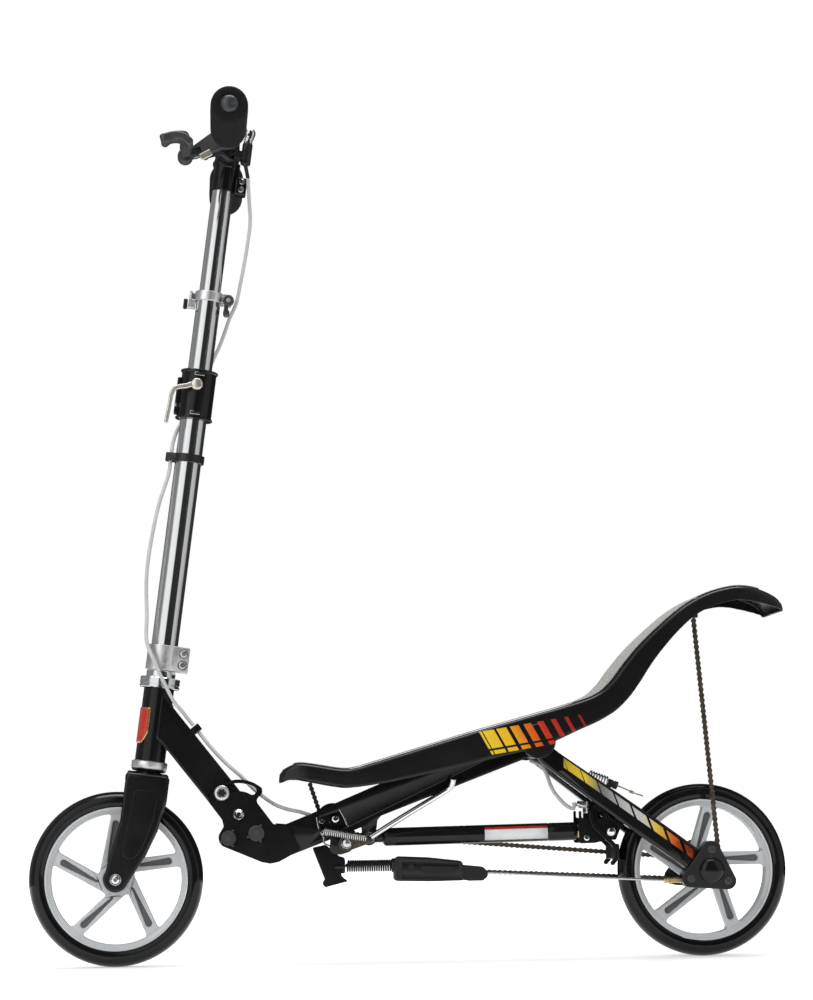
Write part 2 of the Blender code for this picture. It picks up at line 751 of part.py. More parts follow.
def headset(frame):
    """The lock ring and cone above the head tube."""
    low = HEAD_TOP + GAP
    ring_top = low + LOCK_RING_HEIGHT
    bore = STEERER_RADIUS + GAP
    top = ring_top + LOCK_CONE_HEIGHT
    ring = turned([(LOCK_CONE_RADIUS - 0.002, top), (LOCK_CONE_RADIUS, top - 0.002),
                   (LOCK_CONE_RADIUS, ring_top), (LOCK_RING_RADIUS - 0.001, ring_top),
                   (LOCK_RING_RADIUS, ring_top - 0.001), (LOCK_RING_RADIUS, low + 0.001),
                   (LOCK_RING_RADIUS - 0.001, low), (bore, low), (bore, top)], STEERING, 16)
    piece(ring, "headset_ring", "chrome", frame)


def stem_clamp(frame):
    """The aluminium block that pinches the column on to the steerer with two bolts."""
    bore = LOWER_TUBE_RADIUS + GAP
    half = STEM_CLAMP_HALF
    wall = LOWER_TUBE_RADIUS + STEM_CLAMP_WALL
    meet = math.degrees(math.asin(half / wall))
    loop = [(STEM_CLAMP_REACH, half), *arc(wall, meet, 360 - meet, 14), (STEM_CLAMP_REACH, -half),
            (STEM_CLAMP_REACH, -0.0012)]
    slit = math.asin(0.0012 / bore)
    loop += arc(bore, -math.degrees(slit), -360 + math.degrees(slit), 20)
    loop += [(STEM_CLAMP_REACH, 0.0012)]
    middle = STEM_LEVEL + STEM_CLAMP_HEIGHT / 2
    block = outline([loop], STEM_CLAMP_HEIGHT, STEERING @ Matrix.Translation((0, 0, middle)))
    for share in (0.27, 0.73):
        level = STEM_LEVEL + share * STEM_CLAMP_HEIGHT
        bolt = rod(0.0042, steer_point(0.0235, level, -half - 0.002), steer_point(0.0235, level, half + 0.002))
        block = join(block, bolt)
    piece(applied(block), "stem_clamp", "aluminium", frame)


def column_tubes(lower_frame, middle_frame, upper_frame):
    """Three chromed tubes that slide one inside the next."""
    low = STEM_LEVEL
    top = low + LOWER_TUBE_LENGTH
    lower = column_ring(LOWER_TUBE_RADIUS, LOWER_TUBE_RADIUS - LOWER_TUBE_WALL, low, top)
    piece(lower, "lower_tube", "chrome", lower_frame)
    middle_top = COLLAR_LEVEL + COLLAR_HEIGHT
    middle = column_ring(MIDDLE_TUBE_RADIUS, MIDDLE_TUBE_RADIUS - MIDDLE_TUBE_WALL, MIDDLE_TUBE_FOOT,
                         middle_top)
    piece(middle, "middle_tube", "chrome", middle_frame)
    upper = column_ring(UPPER_TUBE_RADIUS, UPPER_TUBE_RADIUS - UPPER_TUBE_WALL, UPPER_TUBE_FOOT,
                        BAR_ABOVE_AXLE - BAR_RADIUS - 2 * GAP)
    piece(upper, "upper_tube", "chrome", upper_frame)


def mid_sleeve(frame, lever_frame):
    """The plastic sleeve that clamps the middle tube, and the cam lever on its left side."""
    low = SLEEVE_LEVEL
    top = low + SLEEVE_HEIGHT
    wide = LOWER_TUBE_RADIUS + GAP
    tight = MIDDLE_TUBE_RADIUS + GAP
    step = STEM_LEVEL + LOWER_TUBE_LENGTH + 2 * GAP
    lip = SLEEVE_RADIUS + SLEEVE_LIP
    sleeve = turned([(lip, top), (lip, top - 0.004), (SLEEVE_RADIUS, top - 0.008),
                     (SLEEVE_RADIUS, low + 0.010), (lip, low + 0.005), (lip, low),
                     (wide, low), (wide, step), (tight, step), (tight, top)], STEERING, 16)
    boss_level = top - 0.016
    boss = rod(0.0075, steer_point(0.002, boss_level, 0), steer_point(0.002, boss_level, -lip))
    room = rod(wide, STEERING @ Vector((0, 0, low - 0.01)), STEERING @ Vector((0, 0, step)), 16)
    neck_room = rod(tight, STEERING @ Vector((0, 0, low)), STEERING @ Vector((0, 0, top + 0.01)), 16)
    boss = applied(cut(boss, room, neck_room))
    guide = box((0.012, 0.013, 0.044), Vector((-SLEEVE_RADIUS + 0.001, 0, low + 0.027)), STEERING)
    guide_bore = rod(wide + 0.001, STEERING @ Vector((0, 0, low - 0.01)), STEERING @ Vector((0, 0, top + 0.01)), 16)
    guide = applied(cut(guide, guide_bore))
    sleeve = applied(join(sleeve, boss, guide))
    for level in (top - 0.0055, low + 0.0065):
        slot = box((0.014, 0.006, 0.004), Vector((0.003, -lip - 0.0005, level)), STEERING)
        cut(sleeve, slot)
    piece(applied(sleeve), "mid_sleeve", "satin_black", frame)

    plane = -lip - GAP - 0.0025
    route = [(0.002, boss_level), (-0.012, boss_level + 0.001), (-0.0225, boss_level - 0.003),
             (-0.0265, boss_level - 0.014), (-0.0275, boss_level - 0.028), (-0.0315, boss_level - 0.042)]
    points = smooth_route([Vector((x, plane, z)) for x, z in route], 0.012)
    arm = pipe([STEERING @ point for point in points], 0.0024, 1, "cam_arm")
    hub = rod(0.0060, steer_point(0.002, boss_level, -lip - GAP), steer_point(0.002, boss_level, plane - 0.003), 12)
    piece(applied(join(hub, arm)), "cam_lever", "bright_steel", lever_frame)
    return steer_point(0.002, boss_level, plane)


def cable_strap(frame):
    """The rubber strap that holds both brake cables to the column."""
    bore = LOWER_TUBE_RADIUS + GAP
    wall = bore + 0.0028
    eye = CABLE_FRONT - CABLE_RADIUS - 0.0030
    outer = [*arc(wall, -145, 145, 12), (eye + 0.004, 0.0082), (eye, 0.0055), (eye, -0.0055),
             (eye + 0.004, -0.0082)]
    ahead = CABLE_FRONT - CABLE_RADIUS - 4 * GAP
    behind = -bore - 0.0008
    room = [(behind, 0.0056), (ahead, 0.0056), (ahead, -0.0056), (behind, -0.0056)]
    middle = STRAP_LEVEL + STRAP_HEIGHT / 2
    strap = outline([outer, circle(bore, 20), rounded(room, 0.0012, 2)], STRAP_HEIGHT,
                    STEERING @ Matrix.Translation((0, 0, middle)))
    piece(strap, "cable_strap", "satin_black", frame)


def height_collar(frame, lever_frame):
    """The slit collar on the middle tube with its skewer, and the lever that wraps round it."""
    bore = MIDDLE_TUBE_RADIUS + GAP
    half = COLLAR_EAR_WIDTH / 2
    meet = math.degrees(math.asin(half / COLLAR_RADIUS))
    loop = [(COLLAR_EAR_REACH, half), *arc(COLLAR_RADIUS, meet, 360 - meet, 12),
            (COLLAR_EAR_REACH, -half), (COLLAR_EAR_REACH, -0.001)]
    slit = math.degrees(math.asin(0.001 / bore))
    loop += arc(bore, -slit, -360 + slit, 20)
    loop += [(COLLAR_EAR_REACH, 0.001)]
    middle = COLLAR_LEVEL + COLLAR_HEIGHT / 2
    collar = outline([loop], COLLAR_HEIGHT - 2 * GAP, STEERING @ Matrix.Translation((0, 0, middle)))
    skewer = rod(0.0028, steer_point(SKEWER_OFFSET, middle, -0.012), steer_point(SKEWER_OFFSET, middle, 0.0086))
    nut = rod(0.0066, steer_point(SKEWER_OFFSET, middle, -0.0135), steer_point(SKEWER_OFFSET, middle, -0.0075), 12)
    piece(applied(join(collar, skewer, nut)), "height_collar", "bright_steel", frame)

    pin = Vector((SKEWER_OFFSET, 0.0125, middle))
    route = [(SKEWER_OFFSET, 0.0125), (0.012, 0.0185), (-0.002, 0.0200), (-0.014, 0.0150),
             (-0.0205, 0.0050), (-0.0215, -0.0040)]
    points = smooth_route([Vector((x, y, middle)) for x, y in route], 0.010)
    arm = pipe([STEERING @ point for point in points], 0.0024, 1, "lever_arm")
    cam = rod(0.0036, STEERING @ (pin - Vector((0, 0, 0.006))), STEERING @ (pin + Vector((0, 0, 0.006))))
    piece(applied(join(cam, arm)), "collar_lever", "grey_plastic", lever_frame)


# Handlebar

def bar_place(y):
    """A placing matrix on the handlebar's own axis, with Z pointing to the rider's right."""
    return STEERING @ Matrix.Translation((0, y, BAR_ABOVE_AXLE)) @ Matrix.Rotation(math.radians(-90), 4, "X")


def bar_tube(frame):
    """The cross tube, closed by a domed plug at each end and vented inside the clamp."""
    half = HANDLEBAR_WIDTH / 2
    plug = 0.0116
    dome = [(0.0, half + 0.0032), (0.006, half + 0.0026), (plug - 0.001, half + 0.001), (plug, half - 0.0004)]
    outer = dome + [(BAR_RADIUS, half - 0.0004), (BAR_RADIUS, -half + 0.0004)]
    tube = turned(outer + [(r, -h) for r, h in reversed(dome)], bar_place(0), 14)
    core = rod(BAR_RADIUS - BAR_WALL, bar_place(0) @ Vector((0, 0, -half + 0.02)),
               bar_place(0) @ Vector((0, 0, half - 0.02)), 12)
    vent = rod(0.003, BAR_CENTRE, steer_point(0, BAR_ABOVE_AXLE - 0.02), 10)
    piece(applied(cut(tube, applied(join(core, vent)))), "handlebar", "chrome", frame)


def grips(frame):
    """Two foam grips, which end flush with the bar."""
    half = HANDLEBAR_WIDTH / 2
    bore = BAR_RADIUS + GAP
    start = half - GRIP_LENGTH
    end = half - 0.0012
    profile = [(GRIP_RADIUS - 0.003, end), (GRIP_RADIUS, end - 0.004), (GRIP_RADIUS, start + 0.004),
               (GRIP_RADIUS - 0.003, start), (bore, start), (bore, end)]
    for name, turn in (("grip_right", 0), ("grip_left", math.pi)):
        place = bar_place(0) @ Matrix.Rotation(turn, 4, "X")
        piece(turned(profile, place, 16), name, "foam", frame)


def bar_clamp(frame):
    """The welded T: a sleeve on the upper tube, a sleeve round the bar and a pinch box behind."""
    bar_bore = BAR_RADIUS + GAP
    tube_bore = UPPER_TUBE_RADIUS + GAP
    half = BAR_CLAMP_WIDTH / 2
    low = BAR_ABOVE_AXLE - BAR_SLEEVE_DROP
    cross = rod(BAR_CLAMP_RADIUS, bar_place(0) @ Vector((0, 0, -half)), bar_place(0) @ Vector((0, 0, half)), 14)
    upright = rod(BAR_SLEEVE_RADIUS, steer_point(0, low), steer_point(0, BAR_ABOVE_AXLE), 14)
    pinch = box((0.013, 0.018, 0.027), Vector((0.0195, 0, low + 0.006)), STEERING)
    pinch = applied(soften(pinch, 0.0015, 1))
    gusset = box((0.018, 0.012, 0.018), Vector((0.009, 0, BAR_ABOVE_AXLE - 0.019)), STEERING)
    body = applied(join(cross, upright, pinch, gusset, solver="MANIFOLD"))
    bar_room = rod(bar_bore, bar_place(0) @ Vector((0, 0, -0.06)), bar_place(0) @ Vector((0, 0, 0.06)), 14)
    tube_room = rod(tube_bore, steer_point(0, low - 0.02), steer_point(0, BAR_ABOVE_AXLE - 0.0015), 16)
    body = applied(cut(body, bar_room, tube_room, solver="MANIFOLD"))
    for level in (low + 0.0005, low + 0.0115):
        bolt = rod(0.0036, steer_point(0.0205, level, -0.0115), steer_point(0.0205, level, 0.0115))
        body = join(body, bolt, solver="MANIFOLD")
    piece(applied(body), "bar_clamp", "gloss_black", frame)


def brake_lever_frame():
    """The lever's own axes at its pivot: X away from the rider, Y outboard, Z up off its plane."""
    forward = Vector((-math.cos(LEVER_DROP), 0, -math.sin(LEVER_DROP)))
    out = Vector((0, -1, 0))
    basis = Matrix((forward, out, forward.cross(out))).transposed()
    pivot = BAR_CENTRE + Vector((-LEVER_AHEAD, PERCH_PLACE + 0.003, -LEVER_BELOW))
    return Matrix.Translation(pivot) @ basis.to_4x4()


def brake_perch(frame):
    """The lever's clamp round the bar, with the forked arm that carries its pivot."""
    lever = brake_lever_frame()
    pivot = lever.translation
    bore = BAR_RADIUS + GAP
    place = bar_place(PERCH_PLACE)
    ring = turned([(0.0160, 0.0070), (0.0160, -0.0070), (bore, -0.0070), (bore, 0.0070)], place, 20)
    discs = [(pivot.x, pivot.z, 0.0062), (BAR_CENTRE.x, BAR_CENTRE.z, 0.0130)]
    middle = Vector((0, 0, 0))
    arm = side_plate([hull_outline(discs, 4)], PERCH_PLACE - 0.0045, PERCH_PLACE + 0.0070, middle)
    boss = rod(0.0078, lever @ Vector((0, 0, -0.0062)), lever @ Vector((0, 0, 0.0062)), 12)
    end = BAR_CENTRE + CABLE_START
    socket = rod(0.0056, end - 0.015 * CABLE_START_WAY, end - GAP * CABLE_START_WAY, 12)
    body = applied(join(arm, boss, socket, solver="MANIFOLD"))
    bar_room = rod(bore + 0.002, place @ Vector((0, 0, -0.05)), place @ Vector((0, 0, 0.05)), 12)
    body = applied(cut(body, bar_room, solver="MANIFOLD"))
    body = applied(join(ring, body, solver="MANIFOLD"))
    height = LEVER_THICKNESS + 2 * GAP
    slot = box((0.030, 0.040, height), Vector((0.0085, 0.012, 0)), lever)
    slot_round = rod(0.0088, lever @ Vector((0, 0, -height / 2)), lever @ Vector((0, 0, height / 2)), 12)
    body = applied(cut(body, applied(join(slot, slot_round)), solver="MANIFOLD"))
    pin = rod(0.0022, lever @ Vector((0, 0, -0.0066)), lever @ Vector((0, 0, 0.0066)), 12)
    piece(applied(join(body, pin, solver="MANIFOLD")), "brake_perch", "grey_plastic", frame)


def brake_lever(frame):
    """The blade: a flattened finger lever with a hooked tip."""
    lever = brake_lever_frame()
    route = [(-0.0045, -0.002), (0.012, 0.005), (0.0245, 0.017), (0.0325, 0.036), (0.037, 0.062),
             (0.039, 0.085), (0.0415, 0.100)]
    edge = smooth_route([Vector((x, y, 0)) for x, y in route], 0.012)
    count = len(edge) - 1
    near = []
    far = []
    for index, point in enumerate(edge):
        ahead = edge[min(index + 1, count)] - edge[max(index - 1, 0)]
        half = 0.0066 - 0.0020 * index / count
        normal = Vector((ahead.y, -ahead.x, 0)).normalized() * half
        near.append((point.x + normal.x, point.y + normal.y))
        far.append((point.x - normal.x, point.y - normal.y))
    way = math.degrees(math.atan2(*(edge[-1] - edge[-2]).yx))
    tip = arc(0.0046, way - 90, way + 90, 5, (edge[-1].x, edge[-1].y))
    blade = outline([near[:-1] + tip + far[-2::-1]], LEVER_THICKNESS, lever)
    blade = applied(soften(blade, 0.0014, 1))
    pin_room = rod(0.0022 + RUNNING_GAP, lever @ Vector((0, 0, -0.02)), lever @ Vector((0, 0, 0.02)), 12)
    piece(applied(cut(blade, pin_room)), "brake_lever", "grey_plastic", frame)


def bell(frame):
    """A small thumb bell: a band round the bar, a post behind it and a round chromed dome."""
    place = bar_place(BELL_PLACE)
    bore = BAR_RADIUS + GAP
    band = turned([(0.0142, 0.0045), (0.0142, -0.0045), (bore, -0.0045), (bore, 0.0045)], place, 20)
    post = rod(0.0062, steer_point(0.0205, BAR_ABOVE_AXLE - 0.036, BELL_PLACE),
               steer_point(0.0205, BAR_ABOVE_AXLE - 0.010, BELL_PLACE), 12)
    bridge = box((0.012, 0.008, 0.012), Vector((0.0155, BELL_PLACE, BAR_ABOVE_AXLE - 0.015)), STEERING)
    room = rod(bore + 0.001, place @ Vector((0, 0, -0.02)), place @ Vector((0, 0, 0.02)), 12)
    bridge = applied(cut(bridge, room))
    dome_low = BAR_ABOVE_AXLE - 0.0105
    tilt = STEERING @ Matrix.Translation((0.0225, BELL_PLACE, dome_low))
    dome = turned([(0.0, 0.0150), (0.0048, 0.0134), (0.0068, 0.0085), (0.0048, 0.0030), (0.0052, 0.0018),
                   (0.0052, 0.0), (0.0, 0.0)], tilt, 12)
    piece(applied(join(band, post, bridge, dome)), "bell", "chrome", frame)


# Fold hinge and main beam

def mm(points):
    """Points given in millimetres."""
    return [tuple(value / 1000 for value in point) for point in points]


def flat(*points):
    """The X and Z of points, for an outline placed from the world's own origin."""
    return [(point.x, point.z) for point in points]


WORLD = Vector((0, 0, 0))


def hinge_bracket(frame):
    """Two cheek plates and a web, with the curved slot that guides the lock pin."""
    inside = BEAM_WIDTH / 2 + GAP
    outside = inside + HINGE_PLATE
    lock_turn = 180 - math.degrees(NECK_ANGLE)
    fold_turn = lock_turn - math.degrees(FOLD_ANGLE)
    ends = [(SLOT_RADIUS * math.cos(math.radians(turn)), SLOT_RADIUS * math.sin(math.radians(turn)))
            for turn in (lock_turn, fold_turn)]
    slot = (arc(SLOT_RADIUS + SLOT_HALF, lock_turn, fold_turn, 6)
            + arc(SLOT_HALF, fold_turn, fold_turn - 180, 4, ends[1])
            + arc(SLOT_RADIUS - SLOT_HALF, fold_turn, lock_turn, 6)
            + arc(SLOT_HALF, lock_turn + 180, lock_turn, 4, ends[0]))
    hoop = arc(HINGE_LOOP_RADIUS, 44, 150, 7)
    corners = [(0.056, -0.012), (0.040, -0.012, 0.002), (0.019, 0.016, 0.006),
               (hoop[0][0] - 0.001, hoop[0][1] - 0.004, 0.006), *hoop[1:],
               *mm([(-34, 14), (-19, -6), (-17, -14), (-22, -22)]),
               *arc(0.0112, 165, 240, 4, (-0.012, -0.027)),
               *mm([(26, -55)]), (0.036, -0.057, 0.01), (0.046, -0.055, 0.01), *mm([(70, -42)]),
               *mm([(70, -40)])]
    loop = rounded(corners, 0.0, 2)
    bolt = circle(PIVOT_BOLT_RADIUS + GAP, 12)
    front_hole = circle(0.0033, 8, KNOBS[0])
    rear_hole = circle(0.0033, 8, KNOBS[1])
    left = side_plate([loop, slot, bolt, front_hole, rear_hole], -outside, -inside, HINGE)
    right = side_plate([loop, slot, bolt, front_hole, rear_hole], inside, outside, HINGE)
    web_low = mm([(-20, -33.6), (-18, -36), (26, -55), (36, -57), (46, -55), (55.5, -50.2)])
    web_high = [(x + 0.0012, z + 0.0040) for x, z in web_low]
    web = side_plate([web_low + web_high[::-1]], -inside - 0.001, inside + 0.001, HINGE)
    piece(applied(join(left, web, right)), "hinge_bracket", "gloss_black", frame)


def hinge_bolts(frame):
    """The pivot bolt and the two dark knobs below it, each through both cheeks."""
    face = BEAM_WIDTH / 2 + HINGE_PLATE + 2 * GAP
    turn = Matrix.Rotation(math.radians(90), 4, "X")
    place = Matrix.Translation(HINGE) @ turn
    r = PIVOT_BOLT_RADIUS
    bolt = turned([(0.0, face + 0.0036), (0.0050, face + 0.0036), (0.0066, face + 0.0020), (0.0066, face),
                   (r, face), (r, -face), (0.0066, -face), (0.0066, -face - 0.0040), (0.0, -face - 0.0040)],
                  place, 12)
    piece(bolt, "pivot_bolt", "chrome", frame)
    for name, (x, z), radius in zip(("knob_front", "knob_rear"), KNOBS, (0.0098, 0.0102)):
        place = Matrix.Translation(HINGE + Vector((x, 0, z))) @ turn
        knob = turned([(0.0, face + 0.0050), (radius - 0.0015, face + 0.0050), (radius, face + 0.0036),
                       (radius, face), (0.0030, face), (0.0030, -face), (0.0052, -face),
                       (0.0052, -face - 0.0035), (0.0, -face - 0.0035)], place, 12)
        piece(knob, name, "satin_black", frame)


def main_beam(frame):
    """The bent box beam from the fold hinge to the apex, with the window and its lugs."""
    half = BEAM_WIDTH / 2
    round_end = [(APEX.x + x, APEX.z + z) for x, z in arc(APEX_BEAM_RADIUS, -110, 100, 8)]
    loop = [*flat(front(0.199, beam_low(0.199)), front(0.300, 0.0615), front(0.306, 0.068), apex(-0.015, -0.021)),
            *round_end,
            *flat(apex(-0.016, 0.017), front(0.304, 0.104), front(0.232, 0.074), front(0.197, 0.060),
                  front(0.1845, 0.0610))]
    beam = side_plate([loop], -half, half, WORLD)
    wall = BEAM_WALL
    inner = flat(front(0.170, 0.010), front(0.2045, beam_low(0.2045) + 1.07 * wall), front(0.302, 0.0665),
                 front(0.308, 0.0722), apex(-0.024, -0.0210), apex(-0.024, 0.0105), front(0.305, 0.1007),
                 front(0.233, 0.0711), front(0.196, 0.0567), front(0.170, 0.0567))
    hollow = side_plate([inner], -half + wall, half - wall, WORLD)
    window = side_plate([rounded(flat(front(0.231, 0.066), front(0.240, 0.046), front(0.266, 0.056),
                                      front(0.258, 0.0745)), 0.003, 1)], -0.03, 0.0, WORLD)
    cable_hole = box((0.016, 0.013, 0.014), front(0.2205, 0.0705), None)
    slot_low = PULLEY_PLANE - PULLEY_WIDTH / 2 - 0.0006
    slot_size = PULLEY_WIDTH + 0.0012
    slot_y = slot_low + slot_size / 2
    top_slot = box((0.038, slot_size, 0.020), front(0.250, 0.081, slot_y))
    foot_slot = box((0.050, slot_size, 0.020), front(0.257, 0.047, slot_y))
    beam = applied(cut(beam, hollow))
    beam = applied(cut(beam, window, cable_hole, top_slot, foot_slot))

    head_out = PULLEY_PLANE - PULLEY_WIDTH / 2 - RUNNING_GAP
    axle = rod(0.0040, front(PULLEY_X, PULLEY_Z, head_out - 0.003), front(PULLEY_X, PULLEY_Z, half - 0.001))
    spacer = rod(0.0065, front(PULLEY_X, PULLEY_Z, head_out - 0.0035), front(PULLEY_X, PULLEY_Z, head_out), 6)
    lugs = []
    for y_low in (STRUT_PLANE - STRUT_EYE_WIDTH / 2 - GAP - LUG_PLATE, STRUT_PLANE + STRUT_EYE_WIDTH / 2 + GAP):
        lug_loop = [*arc(0.0075, 180, 360, 6, (0.292, 0.043)), (0.302, 0.064), (0.302, 0.0665),
                    (0.284, 0.0595), (0.2845, 0.050)]
        lug = side_plate([[(FRONT_X + x, WHEEL_RADIUS + z) for x, z in lug_loop]], y_low, y_low + LUG_PLATE, WORLD)
        lugs.append(lug)
    strut_bolt = rod(STRUT_BOLT_RADIUS, front(0.292, 0.043, STRUT_PLANE - 0.0115),
                     front(0.292, 0.043, STRUT_PLANE + 0.0125))
    lug_loop = mm([(245, 26), (247, 45.6), (275, 56.4), (276, 40), (270, 27.5), (258, 24)])
    kick_lug = side_plate([[(FRONT_X + x, WHEEL_RADIUS + z) for x, z in rounded(lug_loop, 0.004, 1)]],
                          KICK_PLANE, -half + 0.001, WORLD)
    kick_pin = rod(KICK_PIN_RADIUS, front(KICK_X, KICK_Z, -half), front(KICK_X, KICK_Z, KICK_PLANE - 0.0086))
    kick_head = rod(0.0046, front(KICK_X, KICK_Z, KICK_PLANE - KICK_PLATE - 2 * GAP),
                    front(KICK_X, KICK_Z, KICK_PLANE - 0.0086))
    stud = rod(0.0020, front(*KICK_STUD, -half + 0.001), front(*KICK_STUD, KICK_SPRING_PLANE - 0.0025), 10)
    beam = applied(join(beam, axle, spacer, *lugs, strut_bolt, kick_lug, kick_pin, kick_head, stud))
    bore = rod(APEX_AXLE_RADIUS + RUNNING_GAP, APEX + Vector((0, -0.05, 0)), APEX + Vector((0, 0.05, 0)), 12)
    piece(applied(cut(beam, bore)), "main_beam", "gloss_black", frame)


def beam_low(x):
    """The height of the beam's lower edge ahead of the strut lugs."""
    return 0.0236 + 0.3752 * (x - 0.199)


def spring_post(frame):
    """The slanted channel under the beam that holds the return spring's front end."""
    loop = mm([(227, 33.7), (239, -1), (236.5, -7), (238, -10.5), (241, -11.5), (269, -21), (273, -18),
               (265, -10), (256, 24), (250.5, 42.5)])
    half = 0.010
    post = side_plate([[(FRONT_X + x, WHEEL_RADIUS + z) for x, z in loop]], -half, half, WORLD)
    plug = rod(0.0085, front(0.252, SPRING_Z, SPRING_Y), front(0.264, SPRING_Z, SPRING_Y), 12)
    bolt = rod(0.0045, front(0.246, 0.013, -half - 0.0025), front(0.246, 0.013, half + 0.0025))
    post = applied(join(soften(post, 0.0015, 1), plug, bolt))
    piece(post, "spring_post", "gloss_black", frame)


def apex_axle(frame):
    reach = DECK_HALF - 0.003
    axle = rod(APEX_AXLE_RADIUS, APEX + Vector((0, -reach, 0)), APEX + Vector((0, reach, 0)), 12)
    piece(axle, "apex_axle", "bright_steel", frame)


# Swing arm

def loft(sections):
    """A closed solid through rings of equal counts, with flat ends."""
    def build(grid):
        rings = [[grid.verts.new(point) for point in section] for section in sections]
        for one, two in zip(rings, rings[1:]):
            for i in range(len(one)):
                j = (i + 1) % len(one)
                grid.faces.new((one[i], one[j], two[j], two[i]))
        grid.faces.new(rings[0][::-1])
        grid.faces.new(rings[-1])
        bmesh.ops.recalc_face_normals(grid, faces=grid.faces)
    return mesh_from(build, "loft")


def stay(side):
    """One tapered box stay from the apex eye back to the hub housing."""
    centres = [apex(0.003, -0.004, 0.0255), apex(0.015, -0.018, 0.027), apex(0.074, -0.0615, 0.036),
               rear(-0.058, 0.041, 0.046), rear(-0.010, 0.0065, 0.0455)]
    depths = (0.021, 0.022, 0.025, 0.027, 0.026)
    sections = []
    for index, (centre, depth) in enumerate(zip(centres, depths)):
        ahead = centres[min(index + 1, len(centres) - 1)] - centres[max(index - 1, 0)]
        along = Vector((ahead.x, 0, ahead.z)).normalized()
        down = Vector((along.z, 0, -along.x))
        corners = rounded([(-STAY_WIDTH / 2, -depth / 2), (STAY_WIDTH / 2, -depth / 2),
                           (STAY_WIDTH / 2, depth / 2), (-STAY_WIDTH / 2, depth / 2)], STAY_CORNER, 1)
        sections.append([Vector((centre.x, side * (centre.y + y), centre.z)) + down * d for y, d in corners])
    return loft(sections)


def hub_lobes():
    """The three rounded corners of the rear hub housings, from the rear axle."""
    return [(0.001, 0.024, HUB_LOBE), (-0.024, -0.009, HUB_LOBE), (0.019, -0.012, HUB_LOBE)]


def swing_arm(frame):
    """Apex eyes, two stays, a bridge, an anchor tube and both hub housings with the rear axle."""
    parts = []
    eye_in = BEAM_WIDTH / 2 + 2 * GAP
    for side in (-1, 1):
        eye = rod(EYE_RADIUS, APEX + Vector((0, side * eye_in, 0)),
                  APEX + Vector((0, side * (eye_in + EYE_WIDTH), 0)), 14)
        low, high = sorted((side * HUB_FRAME_IN, side * HUB_FRAME_OUT))
        housing = side_plate([hull_outline(hub_lobes())], low, high, rear(0, 0))
        parts += [eye, housing, stay(side)]
    bridge = rod(BRIDGE_RADIUS, rear(*BRIDGE, -0.040), rear(*BRIDGE, 0.040), 12)
    anchor = rod(0.0045, apex(*ANCHOR, -0.034), apex(*ANCHOR, 0.034), 12)
    arm = applied(join(parts[0], *parts[1:], bridge, anchor))
    for side in (-1, 1):
        plane = side * CHAIN_PLANE
        cavity = rod(HUB_CAVITY, rear(0, 0, side * 0.025), rear(0, 0, side * (HUB_FRAME_OUT - 0.004)), 14)
        lower = box((0.060, 0.0125, 0.0106), rear(-0.030, -0.0120, plane - side * 0.0015))
        cut(arm, cavity, lower)
        if side < 0:
            cut(arm, box((0.0110, 0.0076, 0.050), rear(0.0128, 0.035, plane)))
        else:
            cut(arm, box((0.080, 0.0125, 0.0106), rear(-0.040, 0.0148, plane - side * 0.0015)))
    arm = applied(arm)
    bore = rod(APEX_AXLE_RADIUS + RUNNING_GAP, APEX + Vector((0, -0.05, 0)), APEX + Vector((0, 0.05, 0)), 12)
    arm = applied(cut(arm, bore))
    axle_out = HUB_FRAME_OUT - 0.002
    axle = rod(AXLE_RADIUS, rear(0, 0, -axle_out), rear(0, 0, axle_out), 12)
    piece(applied(join(arm, axle)), "swing_arm", "gloss_black", frame)


def hub_covers(frame):
    """The three-cornered covers on the hub housings, each with a round dome over the axle."""
    for name, side in (("hub_cover_near", -1), ("hub_cover_far", 1)):
        low, high = sorted((side * (HUB_FRAME_OUT + GAP), side * (HUB_FRAME_OUT + GAP + HUB_COVER)))
        plate = side_plate([hull_outline(hub_lobes())], low, high, rear(0, 0))
        plate = applied(soften(plate, 0.0012, 1))
        face = HUB_FRAME_OUT + GAP + HUB_COVER
        turn = Matrix.Rotation(math.radians(-90 * side), 4, "X")
        dome = turned([(0.0, 0.0082), (0.0060, 0.0072), (0.0108, 0.0042), (0.0146, 0.0),
                       (0.0146, -0.002), (0.0, -0.002)],
                      Matrix.Translation(rear(0, 0, side * face)) @ turn, 14)
        screws = [rod(0.0034, rear(x, z, side * (face - 0.001)), rear(x, z, side * (face + 0.0018)), 6)
                  for x, z, _ in hub_lobes()]
        piece(applied(join(plate, dome, *screws)), name, "satin_black", frame)


